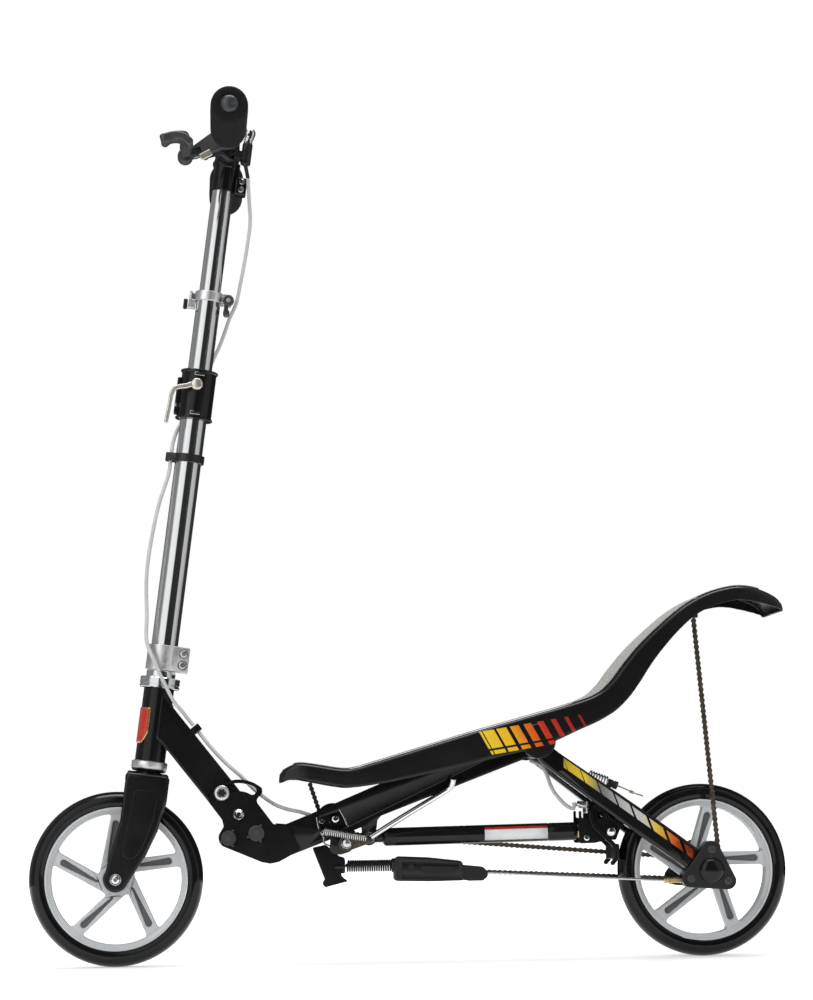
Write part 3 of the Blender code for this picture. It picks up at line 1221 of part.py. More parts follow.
def brake_bracket(frame):
    """The folded bracket on the bridge that carries the rear brake and meets the strut."""
    edge = mm([(-143, 34), (-143, 71), (-136, 74), (-118, 79), (-104, 76), (-97, 64), (-103, 47),
               (-109, 37), (-122, 32)])
    window = mm([(-134, 50), (-134, 66), (-124, 69), (-121, 56)])
    loops = [rounded(edge, 0.004, 1), rounded(window, 0.002, 1), circle(BRIDGE_RADIUS + GAP, 12, BRIDGE)]
    plates = []
    for side in (-1, 1):
        low, high = sorted((side * BRACKET_IN, side * (BRACKET_IN + BRACKET_PLATE)))
        plates.append(side_plate(loops, low, high, rear(0, 0)))
    front_plate = box((0.004, 2 * BRACKET_IN + 0.002, 0.034), rear(-0.1408, 0.0525))
    pins = []
    for side in (-1, 1):
        out = BRACKET_IN + BRACKET_PLATE
        pins.append(rod(0.0035, rear(*BRAKE_PIVOT, side * BRACKET_IN), rear(*BRAKE_PIVOT, side * (out + 0.0060))))
        pins.append(rod(0.0062, rear(*BRAKE_PIVOT, side * (out + BRAKE_STRIP + 2 * GAP)),
                        rear(*BRAKE_PIVOT, side * (out + BRAKE_STRIP + 0.0032)), 6))
        pins.append(rod(0.0030, rear(-0.135, 0.039, side * BRACKET_IN), rear(-0.135, 0.039, side * (out + 0.002)), 6))
    barrel = rod(0.0034, rear(-0.1400, 0.0765, STAY_CABLE_Y), rear(-0.1475, 0.0790, STAY_CABLE_Y), 8)
    ear = box((0.004, 0.010, 0.014), rear(-0.141, 0.0765, STAY_CABLE_Y))
    piece(applied(join(front_plate, *plates, ear, barrel, *pins, solver="MANIFOLD")), "brake_bracket", "gloss_black", frame)


def strip(points, half):
    """The outline of a bent strip of one width along points in X and Z."""
    near = []
    far = []
    count = len(points) - 1
    for index, (x, z) in enumerate(points):
        x0, z0 = points[max(index - 1, 0)]
        x1, z1 = points[min(index + 1, count)]
        way = Vector((x1 - x0, z1 - z0)).normalized() * half
        near.append((x + way.y, z - way.x))
        far.append((x - way.y, z + way.x))
    return near + far[::-1]


def brake_arm(frame):
    """Two bent strips either side of the bracket, joined by the pad behind the tyre's front."""
    inner = BRACKET_IN + BRACKET_PLATE + GAP
    outer = inner + BRAKE_STRIP
    route = mm([(-135, 67), (-134, 54), (-127, 46), (-118, 38), (-109, 29), (-105, 22), (-108, 12)])
    halves = []
    for side in (-1, 1):
        low, high = sorted((side * inner, side * outer))
        arm = side_plate([strip(route, 0.0030)], low, high, rear(0, 0))
        eye = rod(0.0078, rear(*BRAKE_PIVOT, low), rear(*BRAKE_PIVOT, high), 14)
        halves += [arm, eye]
    block = box((0.0090, 2 * outer - 0.002, 0.022), rear(-0.1050, 0.0230))
    tyre_room = rod(WHEEL_RADIUS + PAD_GAP, rear(0, 0, -0.04), rear(0, 0, 0.04), 40)
    block = applied(cut(block, tyre_room))
    arm = applied(join(block, *halves))
    for side in (-1, 1):
        cut(arm, rod(0.0035 + RUNNING_GAP, rear(*BRAKE_PIVOT, side * 0.015), rear(*BRAKE_PIVOT, side * 0.035)))
    piece(applied(arm), "brake_arm", "gloss_black", frame)


# Strut and stand

def strut(cylinder_frame, rod_frame):
    """The strut: an eye and a closed cylinder, and the rod that slides in it."""
    start = front(0.292, 0.043, STRUT_PLANE)
    end = rear(-0.1485, 0.0468, STRUT_PLANE)
    along = (end - start).normalized()
    eye = rod(0.0090, start + Vector((0, -STRUT_EYE_WIDTH / 2, 0)), start + Vector((0, STRUT_EYE_WIDTH / 2, 0)), 12)
    waist = rod(0.0060, start, start + along * 0.018)
    place = Matrix.Translation(start) @ along.to_track_quat("Z", "Y").to_matrix().to_4x4()
    run = (end - start).length
    body = turned([(0.0, run), (STRUT_RADIUS - 0.0015, run), (STRUT_RADIUS, run - 0.0015),
                   (STRUT_RADIUS, 0.0185), (STRUT_RADIUS - 0.0015, 0.017), (0.0, 0.017)], place, 14)
    body = applied(join(body, waist, eye, solver="MANIFOLD"))
    shaft_room = rod(STRUT_ROD_RADIUS + RUNNING_GAP, place @ Vector((0, 0, run - 0.037)),
                     place @ Vector((0, 0, run + 0.010)))
    bolt_room = rod(STRUT_BOLT_RADIUS + RUNNING_GAP, start + Vector((0, -0.02, 0)), start + Vector((0, 0.02, 0)))
    piece(applied(cut(body, shaft_room, bolt_room, solver="MANIFOLD")), "strut_cylinder", "gloss_black", cylinder_frame)
    shaft = rod(STRUT_ROD_RADIUS, place @ Vector((0, 0, run - 0.028)), place @ Vector((0, 0, run + 0.0048)))
    nut = rod(0.0085, place @ Vector((0, 0, run + 0.0006)), place @ Vector((0, 0, run + 0.0050)), 6)
    piece(applied(join(shaft, nut)), "strut_rod", "brass", rod_frame)


def kickstand(frame):
    """The stand folded up along the beam: a pivot plate, a bent leg and a spring peg."""
    plate_low = KICK_PLANE - GAP - KICK_PLATE
    discs = [(FRONT_X + KICK_X, WHEEL_RADIUS + KICK_Z, 0.0090), (FRONT_X + 0.291, WHEEL_RADIUS + 0.042, 0.0052)]
    plate = side_plate([hull_outline(discs)], plate_low, plate_low + KICK_PLATE, WORLD)
    route = [front(0.2925, 0.0435, -0.0255), front(0.340, 0.0720, -0.0255), front(0.382, 0.0965, -0.0258),
             front(0.3875, 0.1020, -0.0280), front(0.3890, 0.1095, -0.0325)]
    leg = pipe(smooth_route(route, 0.020), 0.00375, 2, "leg")
    peg = rod(0.0020, front(0.291, 0.042, plate_low + 0.001), front(0.291, 0.042, KICK_SPRING_PLANE - 0.0025), 10)
    stand = applied(join(plate, leg, peg))
    bore = rod(KICK_PIN_RADIUS + RUNNING_GAP, front(KICK_X, KICK_Z, -0.04), front(KICK_X, KICK_Z, -0.01))
    piece(applied(cut(stand, bore)), "kickstand", "gloss_black", frame)


# Drive

def sprockets(near_frame, far_frame):
    """A toothed sprocket on a ratchet hub each side of the rear wheel."""
    pitch_radius = CHAIN_PITCH / (2 * math.sin(math.pi / SPROCKET_TEETH))
    tip = pitch_radius + 0.0023
    root = pitch_radius - 0.0017
    loop = []
    for tooth in range(SPROCKET_TEETH):
        for share, radius in ((-0.5, root), (-0.11, tip), (0.11, tip)):
            angle = 2 * math.pi * (tooth + share) / SPROCKET_TEETH
            loop.append((radius * math.cos(angle), radius * math.sin(angle)))
    for name, side, frame in (("sprocket_near", -1, near_frame), ("sprocket_far", 1, far_frame)):
        low, high = sorted((side * (CHAIN_PLANE - 0.0012), side * (CHAIN_PLANE + 0.0012)))
        ring = side_plate([loop], low, high, rear(0, 0))
        inner = HUB_WIDTH / 2 + 2 * RUNNING_GAP
        hub = rod(RATCHET_RADIUS, rear(0, 0, side * inner), rear(0, 0, side * (CHAIN_PLANE + 0.003)), 12)
        body = applied(join(ring, hub))
        bore = rod(AXLE_RADIUS + RUNNING_GAP, rear(0, 0, -0.06), rear(0, 0, 0.06), 12)
        piece(applied(cut(body, bore)), name, "bright_steel", frame)


def front_pulley(frame):
    """The flanged wheel in the beam's window that turns the nose chain rearwards."""
    place = Matrix.Translation(front(PULLEY_X, PULLEY_Z, PULLEY_PLANE)) @ Matrix.Rotation(math.radians(-90), 4, "X")
    half = PULLEY_WIDTH / 2
    drum = PULLEY_CHAIN_RADIUS - CHAIN_HEIGHT / 2 - GAP
    bore = 0.0040 + RUNNING_GAP
    wheel_body = turned([(PULLEY_RADIUS, half), (PULLEY_RADIUS, half - 0.0015), (drum, half - 0.0016),
                         (drum, -half + 0.0016), (PULLEY_RADIUS, -half + 0.0015), (PULLEY_RADIUS, -half),
                         (bore, -half), (bore, half)], place, 14)
    piece(wheel_body, "front_pulley", "satin_black", frame)


def pulley_block(frame):
    """The sliding block between the return spring and the two rear strands."""
    body_loop = rounded(mm([(322, -6), (322, 18), (327, 21), (402, 17), (402, -5), (328, -7)]), 0.0035, 1)
    nose_loop = rounded(mm([(400, -5), (400, 13), (426, 12), (431, 7), (431, -3), (426, -7.5)]), 0.003, 1)
    spot = [(FRONT_X + x, WHEEL_RADIUS + z) for x, z in body_loop]
    body = side_plate([spot], -0.016, 0.012, WORLD)
    body = applied(soften(body, 0.0010, 1))
    nose = side_plate([[(FRONT_X + x, WHEEL_RADIUS + z) for x, z in nose_loop]], -0.014, 0.0115, WORLD)
    block = applied(join(body, applied(soften(nose, 0.0008, 1))))
    side_panel = box((0.034, 0.004, 0.012), front(0.372, 0.006, -0.0165))
    mouth = box((0.024, 0.016, 0.0095), front(0.420, 0.0022, -0.0105))
    piece(applied(cut(block, side_panel, mouth)), "pulley_block", "satin_black", frame)


def chains(deck_frame, swing_frame, slide_frame):
    """The four chain strands, each straight from where it is held to where its sprocket begins."""
    start = front(PULLEY_X, PULLEY_Z - PULLEY_CHAIN_RADIUS, PULLEY_PLANE)
    end = rear(0, 0.0123, CHAIN_PLANE)
    way = (end - start).normalized()
    strand = chain_strip(start + way * 0.016, end - way * 0.012, 2)
    piece(strand, "upper_chain", "dark_chain", swing_frame)

    block_end = front(0.431, 0.001, 0.007)
    end = rear(0, -0.0123, CHAIN_PLANE)
    way = (end - block_end).normalized()
    strand = chain_strip(block_end + way * 0.0008, end - way * 0.012, 2)
    piece(strand, "lower_chain", "dark_chain", swing_frame)

    cable_start = front(0.4083, 0.0020, -0.0085)
    connector = rear(-0.050, -0.0110, -CHAIN_PLANE)
    way = (connector - cable_start).normalized()
    cable = pipe([cable_start, cable_start.lerp(connector, 0.5), connector - way * GAP], 0.0013, 1, "cable")
    piece(cable, "drive_cable", "bright_steel", swing_frame)

    clamp = box((0.018, 0.0075, 0.0062), connector + Vector((0.009, 0, 0)))
    clamp = applied(soften(clamp, 0.0010, 1))
    stub = chain_strip(connector + Vector((0.017, 0, -0.0003)), rear(-0.012, -0.0123, -CHAIN_PLANE))
    piece(applied(join(clamp, stub)), "cable_connector", "brass", slide_frame)

    top = apex(*NOSE_CHAIN_TOP, PULLEY_PLANE)
    foot = front(0.235, 0.075, PULLEY_PLANE)
    way = (foot - top).normalized()
    piece(chain_strip(top + way * 0.0030, foot), "nose_chain", "dark_chain", deck_frame)
    top = apex(*TAIL_CHAIN_TOP, -CHAIN_PLANE)
    foot = rear(0.0123, 0.015, -CHAIN_PLANE)
    way = (foot - top).normalized()
    piece(chain_strip(top + way * GAP, foot, 2), "tail_chain", "dark_chain", deck_frame)


# Deck

DECK_LINE = mm([(-296, -34), (-291, -27), (-280, -22.5), (-265, -23), (-228, -29), (-210, -27.5), (-181, -19.5),
                (-70, 13), (27, 39), (67, 52), (86, 67), (101, 86), (121, 109),
                (149, 135), (176, 156), (203, 169), (231, 176), (250, 173.5), (266, 167), (280, 159.5),
                (286, 150)])
DECK_SKIRT = mm([(-296, 10), (-291, 14), (-280, 17.5), (-265, 18.5), (-228, 19.5), (-181, 26.5),
                 (-141, 30), (-94, 34), (-24, 37), (10, 36), (40, 31), (67, 28), (100, 27), (130, 22),
                 (150, 19), (176, 16.5), (203, 16), (264, 15.5), (280, 14), (286, 8)])
DECK_EDGE = [(-0.296, 0.66), (-0.291, 0.82), (-0.280, 0.93), (-0.265, 0.97), (-0.200, 1.0), (0.100, 1.0),
             (0.200, 0.95), (0.244, 0.92), (0.264, 0.87), (0.280, 0.76), (0.286, 0.62)]


def along_table(table, x):
    """A value read off a table of (place, value) pairs by straight lines."""
    for (x0, v0), (x1, v1) in zip(table, table[1:]):
        if x <= x1:
            return v0 + (v1 - v0) * max(0.0, (x - x0) / (x1 - x0))
    return table[-1][1]


def deck_stations():
    """The deck's stations: a point of its top line and the way up from its skirt there.

    Sections stand square to the line, and upright past the last points before each rounded end.
    """
    first = 3
    last = len(DECK_LINE) - 5
    stations = []
    for index, (x, z) in enumerate(DECK_LINE):
        here = min(max(index, first), last)
        x0, z0 = DECK_LINE[here - 1]
        x1, z1 = DECK_LINE[here + 1]
        along = Vector((x1 - x0, 0, z1 - z0)).normalized()
        stations.append((Vector((x, 0, z)), along, Vector((-along.z, 0, along.x))))
    return stations


def deck_sections(inset, extra):
    """Cross sections of the deck, drawn in by a wall and lengthened below."""
    stations = deck_stations()
    last = len(stations) - 1
    sections = []
    for index, (place, along, up) in enumerate(stations):
        if inset and index in (0, last):
            continue
        half = DECK_HALF * along_table(DECK_EDGE, place.x) - inset
        height = along_table(DECK_SKIRT, place.x) + extra
        corner = max(DECK_CORNER - 0.5 * inset, 0.002)
        profile = [(-half, -height), *[(-half + corner + u, -corner - inset + v) for u, v in arc(corner, 180, 90, 2)],
                   *[(half - corner + u, -corner - inset + v) for u, v in arc(corner, 90, 0, 2)], (half, -height)]
        centre = APEX + place
        if inset and index in (1, last - 1):
            centre += along * (inset if index == 1 else -inset) * 0.4
        sections.append([centre + up * v + Vector((0, u, 0)) for u, v in profile])
    return sections


def deck_shell(frame):
    """The curved plastic deck: an open-bottomed shell with skirts, apex lobes and chain brackets."""
    shell = cut(loft(deck_sections(0, 0)), loft(deck_sections(DECK_WALL, 0.012)), solver="MANIFOLD")
    shell = applied(shell)
    fittings = []
    for side in (-1, 1):
        outer = side * (DECK_HALF + 0.0006)
        inner = side * (BEAM_WIDTH / 2 + 2 * GAP + EYE_WIDTH + 3 * GAP)
        fittings.append(rod(DECK_LOBE, APEX + Vector((0, outer, 0)),
                            APEX + Vector((0, outer - side * (DECK_WALL + 0.0011), 0)), 18))
        fittings.append(rod(0.0115, APEX + Vector((0, outer - side * 0.001, 0)), APEX + Vector((0, inner, 0)), 12))
    nose_top = apex(*NOSE_CHAIN_TOP, PULLEY_PLANE)
    tail_top = apex(*TAIL_CHAIN_TOP, -CHAIN_PLANE)
    fittings.append(box((0.010, 0.008, 0.014), nose_top + Vector((0, 0, 0.007))))
    fittings.append(box((0.010, 0.008, 0.018), tail_top + Vector((0, 0, 0.009))))
    shell = applied(join(shell, *fittings, solver="MANIFOLD"))
    reach = DECK_HALF - 0.003 + GAP
    bore = rod(APEX_AXLE_RADIUS + RUNNING_GAP, APEX + Vector((0, -reach, 0)), APEX + Vector((0, reach, 0)), 12)
    piece(applied(cut(shell, bore, solver="MANIFOLD")), "deck_shell", "gloss_black", frame)


def grip_sheet(frame):
    """The thin rough sheet stuck along the deck's top."""
    low = 2.5 * GAP
    sections = []
    for place, _, up in deck_stations()[2:-2]:
        half = (DECK_HALF - SHEET_MARGIN) * along_table(DECK_EDGE, place.x)
        corners = [(-half, low), (half, low), (half, low + SHEET_THICKNESS), (-half, low + SHEET_THICKNESS)]
        sections.append([APEX + place + up * v + Vector((0, u, 0)) for u, v in corners])
    piece(loft(sections), "grip_sheet", "grip_sheet", frame)


# Springs and cables

def springs(frame, swing_frame):
    """The return spring, the stand's spring and the brake's spring anchor."""
    spring = helix(front(0.264 + GAP, SPRING_Z, SPRING_Y), front(0.322 - GAP, SPRING_Z, SPRING_Y),
                   0.0058, 0.0007, 14, 8, "return_spring")
    piece(spring, "return_spring", "satin_black", frame)
    stud = front(*KICK_STUD, KICK_SPRING_PLANE)
    peg = front(0.291, 0.042, KICK_SPRING_PLANE)
    way = (peg - stud).normalized()
    spring = helix(stud + way * (0.0020 + GAP), peg - way * (0.0020 + GAP), 0.0038, 0.0007, 9, 8, "kick_spring")
    piece(spring, "kickstand_spring", "bright_steel", frame)
    tube = apex(*ANCHOR, ANCHOR_Y)
    clamp = apex(0.0865, -0.0495, ANCHOR_Y)
    way = (clamp - tube).normalized()
    coil = helix(tube + way * (0.0045 + GAP), clamp - way * 0.005, 0.0052, 0.0008, 4, 8, "anchor_spring")
    block = rod(0.0048, clamp - way * 0.006, clamp + way * 0.006, 12)
    tail = pipe(smooth_route([clamp, clamp + way * 0.012, apex(0.121, -0.065, ANCHOR_Y)], 0.008), 0.0008, 1, "tail")
    ferrule = rod(0.0016, apex(0.1085, -0.0590, ANCHOR_Y), apex(0.1125, -0.0610, ANCHOR_Y), 10)
    piece(applied(join(coil, block, tail, ferrule)), "cable_anchor", "bright_steel", swing_frame)


def twin_cable(points, name, finish, frame):
    """Two cables side by side, one body, along one route."""
    section = bpy.data.curves.new("section", "CURVE")
    section.dimensions = "2D"
    spline = section.splines.new("POLY")
    r = CABLE_RADIUS
    half = arc(r, -145, 145, 4, (r * 0.97, 0.0))
    ring = half + [(-x, -y) for x, y in half]
    spline.points.add(len(ring) - 1)
    for point, (x, y) in zip(spline.points, ring):
        point.co = (x, y, 0.0, 1.0)
    spline.use_cyclic_u = True
    guide = new_object("section", section, CUTTERS)
    guide.hide_render = True
    guide.display_type = "WIRE"
    cable = pipe(smooth_route(points, 0.016), r, 1, "twin", guide)
    piece(cable, name, finish, frame)


def cables(neck_frame, steer_frame, middle_frame, bar_frame, swing_frame):
    """Both brake cables, in one stretch for each piece of the folding column that they follow."""
    start = BAR_CENTRE + CABLE_START
    route = mm([(-12.6, -66, -26.8), (1.4, -42, -23.8), (13.4, -25, -29.8), (22.4, -14.5, -49.8), (26.4, -10, -86.8),
                (20.4, -8, -127.8), (14.4, 10, -156.8), (9.4, 14, -178.8)])
    twin_cable([start, *(BAR_CENTRE + Vector(p) for p in route)], "cables_bar", "cable_grey", bar_frame)
    route = mm([(134, 17, 661), (124, 22, 633), (117, 25, 618), (104, 30, 590), (92, 30, 565), (78, 26, 540),
                (70, 12, 522), (66.3, 2, 508), (65.1, 0, 500), (64.2, 0, 493), (63.6, 0, 488.6)])
    twin_cable([front(x, z, y) for x, y, z in route], "cables_middle", "cable_grey", middle_frame)
    route = mm([(63.45, 0, 487.6), (61, 0, 470), (49, -2, 432), (39, -4, 382), (35, -4, 344), (35.5, -5, 305),
                (35.5, -18, 274), (43, -26.5, 252), (54, -29.5, 228), (66, -25, 204), (77, -14, 190.5), (83.0, -8.5, 183), (88.95, -8, 175.6)])
    twin_cable([front(x, z, y) for x, y, z in route], "cables_column", "cable_grey", steer_frame)
    route = mm([(95.5, -8, 167.2), (110, -6, 149), (128, -4, 130), (144, -2, 116), (160, 0, 100), (181, 0, 84), (198, 0, 77),
                (212, 0, 74), (221, 0, 71)])
    twin_cable([front(x, z, y) for x, y, z in route], "cables_neck", "cable_grey", neck_frame)
    route = mm([(-4.5, -21.4), (2, -24), (8, -27), (14, -35), (20, -52), (26, -62), (37, -74), (46, -78)])
    end = rear(-0.1512, 0.0803, STAY_CABLE_Y)
    cable = pipe(smooth_route([*(apex(x, z, STAY_CABLE_Y) for x, z in route), end], 0.008), CABLE_RADIUS, 2, "cable")
    piece(cable, "cables_rear", "cable_grey", swing_frame)


# Assembly on the joints' axes

def place_at(point):
    return Matrix.Translation(point)


def scooter():
    fold = joint_frame("neck_fold", place_at(HINGE))
    lock = joint_frame("lock_button_slide", place_at(HINGE + slot_point(0)), fold)
    steer = joint_frame("steer", STEERING, fold)
    front_wheel = joint_frame("front_wheel_spin", place_at(front(0, 0)), steer)
    cam = joint_frame("cam_lever_turn", place_at(steer_point(0.002, SLEEVE_LEVEL + SLEEVE_HEIGHT - 0.016)), steer)
    column = joint_frame("column_slide", STEERING, steer)
    wrap = joint_frame("collar_lever_turn", STEERING @ place_at((SKEWER_OFFSET, 0.0125, 0)), column)
    bar = joint_frame("bar_height", STEERING, column)
    lever = joint_frame("brake_lever_pull", brake_lever_frame(), bar)
    deck = joint_frame("deck_rock", place_at(APEX))
    swing = joint_frame("swing", place_at(APEX))
    pad = joint_frame("brake_arm_turn", place_at(rear(*BRAKE_PIVOT)), swing)
    rear_wheel = joint_frame("rear_wheel_spin", place_at(rear(0, 0)), swing)
    near = joint_frame("sprocket_near_turn", place_at(rear(0, 0)), swing)
    far = joint_frame("sprocket_far_turn", place_at(rear(0, 0)), swing)
    connector = joint_frame("cable_connector_slide", place_at(rear(-0.050, -0.011, -CHAIN_PLANE)), swing)
    tilt = joint_frame("strut_tilt", place_at(front(0.292, 0.043)))
    slide = joint_frame("strut_slide", place_at(rear(-0.149, 0.0468)), tilt)
    pulley = joint_frame("front_pulley_turn", place_at(front(PULLEY_X, PULLEY_Z, PULLEY_PLANE)))
    block = joint_frame("pulley_block_slide", place_at(front(0.322, 0.007)))
    stand = joint_frame("kickstand_turn", place_at(front(KICK_X, KICK_Z)))

    main_beam(None)
    hinge_bracket(None)
    hinge_bolts(None)
    spring_post(None)
    apex_axle(None)
    neck(fold)
    lock_button(lock)
    fork(steer)
    headset(steer)
    stem_clamp(steer)
    column_tubes(steer, column, bar)
    mid_sleeve(steer, cam)
    cable_strap(steer)
    height_collar(column, wrap)
    wheel("front", front(0, 0), FRONT_SPOKE_TURN, front_wheel)
    bar_tube(bar)
    grips(bar)
    bar_clamp(bar)
    brake_perch(bar)
    bell(bar)
    brake_lever(lever)
    deck_shell(deck)
    grip_sheet(deck)
    swing_arm(swing)
    hub_covers(swing)
    brake_bracket(swing)
    brake_arm(pad)
    wheel("rear", rear(0, 0), REAR_SPOKE_TURN, rear_wheel)
    sprockets(near, far)
    front_pulley(pulley)
    pulley_block(block)
    chains(deck, swing, connector)
    strut(tilt, slide)
    kickstand(stand)
    springs(None, swing)
    cables(fold, steer, column, bar, swing)


scooter()
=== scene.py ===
"""Looks of a folding stepper scooter, modelled over its fixed CAD frame, in metres."""
import json
import math

import bpy
from mathutils import Matrix, Vector


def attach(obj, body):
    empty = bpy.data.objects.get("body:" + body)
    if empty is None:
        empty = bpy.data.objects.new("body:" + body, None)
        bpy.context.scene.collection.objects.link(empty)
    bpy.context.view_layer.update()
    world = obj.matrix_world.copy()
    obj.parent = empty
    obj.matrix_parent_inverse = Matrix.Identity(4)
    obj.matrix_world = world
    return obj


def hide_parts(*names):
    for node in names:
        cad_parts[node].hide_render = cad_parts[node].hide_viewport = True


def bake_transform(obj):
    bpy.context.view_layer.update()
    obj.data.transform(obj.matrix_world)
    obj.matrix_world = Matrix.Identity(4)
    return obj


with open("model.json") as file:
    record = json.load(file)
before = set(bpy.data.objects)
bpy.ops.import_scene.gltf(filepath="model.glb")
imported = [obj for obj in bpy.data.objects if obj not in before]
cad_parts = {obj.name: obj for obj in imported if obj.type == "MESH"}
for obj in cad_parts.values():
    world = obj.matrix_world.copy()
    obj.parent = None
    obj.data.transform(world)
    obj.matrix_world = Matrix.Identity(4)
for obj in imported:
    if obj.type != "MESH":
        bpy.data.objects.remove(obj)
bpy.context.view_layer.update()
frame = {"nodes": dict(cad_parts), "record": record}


def at(point):
    return Matrix.Translation(point)


def spun(degrees, axis):
    return Matrix.Rotation(math.radians(degrees), 4, axis)


FRONT_AXLE = Vector((-0.342, 0.0, 0.1))
REAR_AXLE = Vector((0.342, 0.0, 0.1))
APEX = Vector((0.144, 0.0, 0.251))
HINGE = Vector((-0.201, 0.0, 0.172))
STEERING = at((-0.321175, 0, 0.097295)) @ spun(7.4, "Y")
BAR_LEVEL = 0.8667                      # up the steering axis
BAR = STEERING @ Vector((0, 0, BAR_LEVEL))
BODY = {node: body for body, nodes in frame["record"]["behaviour"]["bodies"].items() for node in nodes}
PAINT = {}


def ahead_point(x, z, y=0.0):
    return FRONT_AXLE + Vector((x, y, z))


def rear_point(x, z, y=0.0):
    return REAR_AXLE + Vector((x, y, z))


def apex_point(x, z, y=0.0):
    return APEX + Vector((x, y, z))


def column_point(x, level, y=0.0):
    return STEERING @ Vector((x, y, level))


def across(point):
    """A placing matrix with Z to the rider's right, at a point."""
    return at(point) @ spun(-90, "X")


def towards_viewer(point):
    """A placing matrix with Z to the rider's left, at a point."""
    return at(point) @ spun(90, "X")


def facing(side, point):
    """A placing matrix with Z to the rider's left for side -1 and to the right for side 1, at a point."""
    return towards_viewer(point) if side < 0 else across(point)


def aimed(point, way):
    """A placing matrix with Z along a way, at a point."""
    return at(point) @ way.to_track_quat("Z", "Y").to_matrix().to_4x4()


def spread_over(side, near, far):
    """Two distances on one side of the middle, the lower first."""
    return sorted((side * near, side * far))


# Nodes, camera, floor and lamps

class Nodes:
    """Shader nodes built up step by step in one tree."""

    def __init__(self, owner):
        owner.use_nodes = True
        self.tree = owner.node_tree

    def add(self, kind, **values):
        node = self.tree.nodes.new(kind)
        for name, value in values.items():
            if name in node.inputs:
                node.inputs[name].default_value = value
            else:
                setattr(node, name, value)
        return node

    def link(self, source, target):
        self.tree.links.new(source, target)

    def spread(self, source, low, high, start=0.3, end=0.7):
        node = self.add("ShaderNodeMapRange", **{"From Min": start, "From Max": end, "To Min": low, "To Max": high})
        self.link(source, node.inputs["Value"])
        return node.outputs[0]

    def math(self, operation, first, second=None):
        node = self.add("ShaderNodeMath", operation=operation)
        for index, value in enumerate((first, second)):
            if isinstance(value, (int, float)):
                node.inputs[index].default_value = value
            elif value is not None:
                self.link(value, node.inputs[index])
        return node.outputs[0]

    def ramp(self, source, first, last, *stops):
        """A colour ramp from its first to its last colour by way of (place, colour) stops."""
        node = self.add("ShaderNodeValToRGB")
        elements = node.color_ramp.elements
        elements[0].color, elements[1].color = (*first, 1), (*last, 1)
        for spot, colour in stops:
            elements.new(spot).color = (*colour, 1)
        self.link(source, node.inputs[0])
        return node.outputs[0]

    def seen_directly(self):
        """1 for what the camera, a mirror or glass shows, and 0 for light that falls on things."""
        path = self.add("ShaderNodeLightPath").outputs
        seen = path["Is Camera Ray"]
        for ray in ("Is Glossy Ray", "Is Transmission Ray"):
            seen = self.math("MAXIMUM", seen, path[ray])
        return seen


def clear():
    """Leave edit mode with nothing selected."""
    active = bpy.context.view_layer.objects.active
    if active is not None and active.mode != "OBJECT":
        bpy.ops.object.mode_set(mode="OBJECT")
    bpy.ops.object.select_all(action="DESELECT")


def photo_camera():
    """The camera at the photograph's place, turned by yaw, pitch and roll."""
    yaw, pitch, roll = 0.0828348, 0.1221435, -0.0143743
    ahead = Vector((math.sin(yaw) * math.cos(pitch), math.cos(yaw) * math.cos(pitch), math.sin(pitch)))
    right = Vector((math.cos(yaw), -math.sin(yaw), 0))
    up = right.cross(ahead)
    right, up = right * math.cos(roll) + up * math.sin(roll), up * math.cos(roll) - right * math.sin(roll)
    clear()
    bpy.ops.object.camera_add(location=(-0.2428312, -2.9259596, 0.1787116))
    camera = bpy.context.object
    camera.name = "camera"
    camera.rotation_euler = Matrix((right, up, -ahead)).transposed().to_euler()
    camera.data.sensor_width = 36
    camera.data.lens = 36 * 2493.275 / 1000
    camera.data.clip_start = 0.05
    camera.data.clip_end = 60
    bpy.context.scene.camera = camera


def set_piece(name, kind, **words):
    """A piece of the studio with a bare material of its own, and that material's nodes."""
    clear()
    kind(**words)
    piece = bpy.context.object
    piece.name = name
    paint = bpy.data.materials.new(f"{name}_finish")
    piece.data.materials.append(paint)
    nodes = Nodes(paint)
    nodes.tree.nodes.clear()
    return piece, nodes


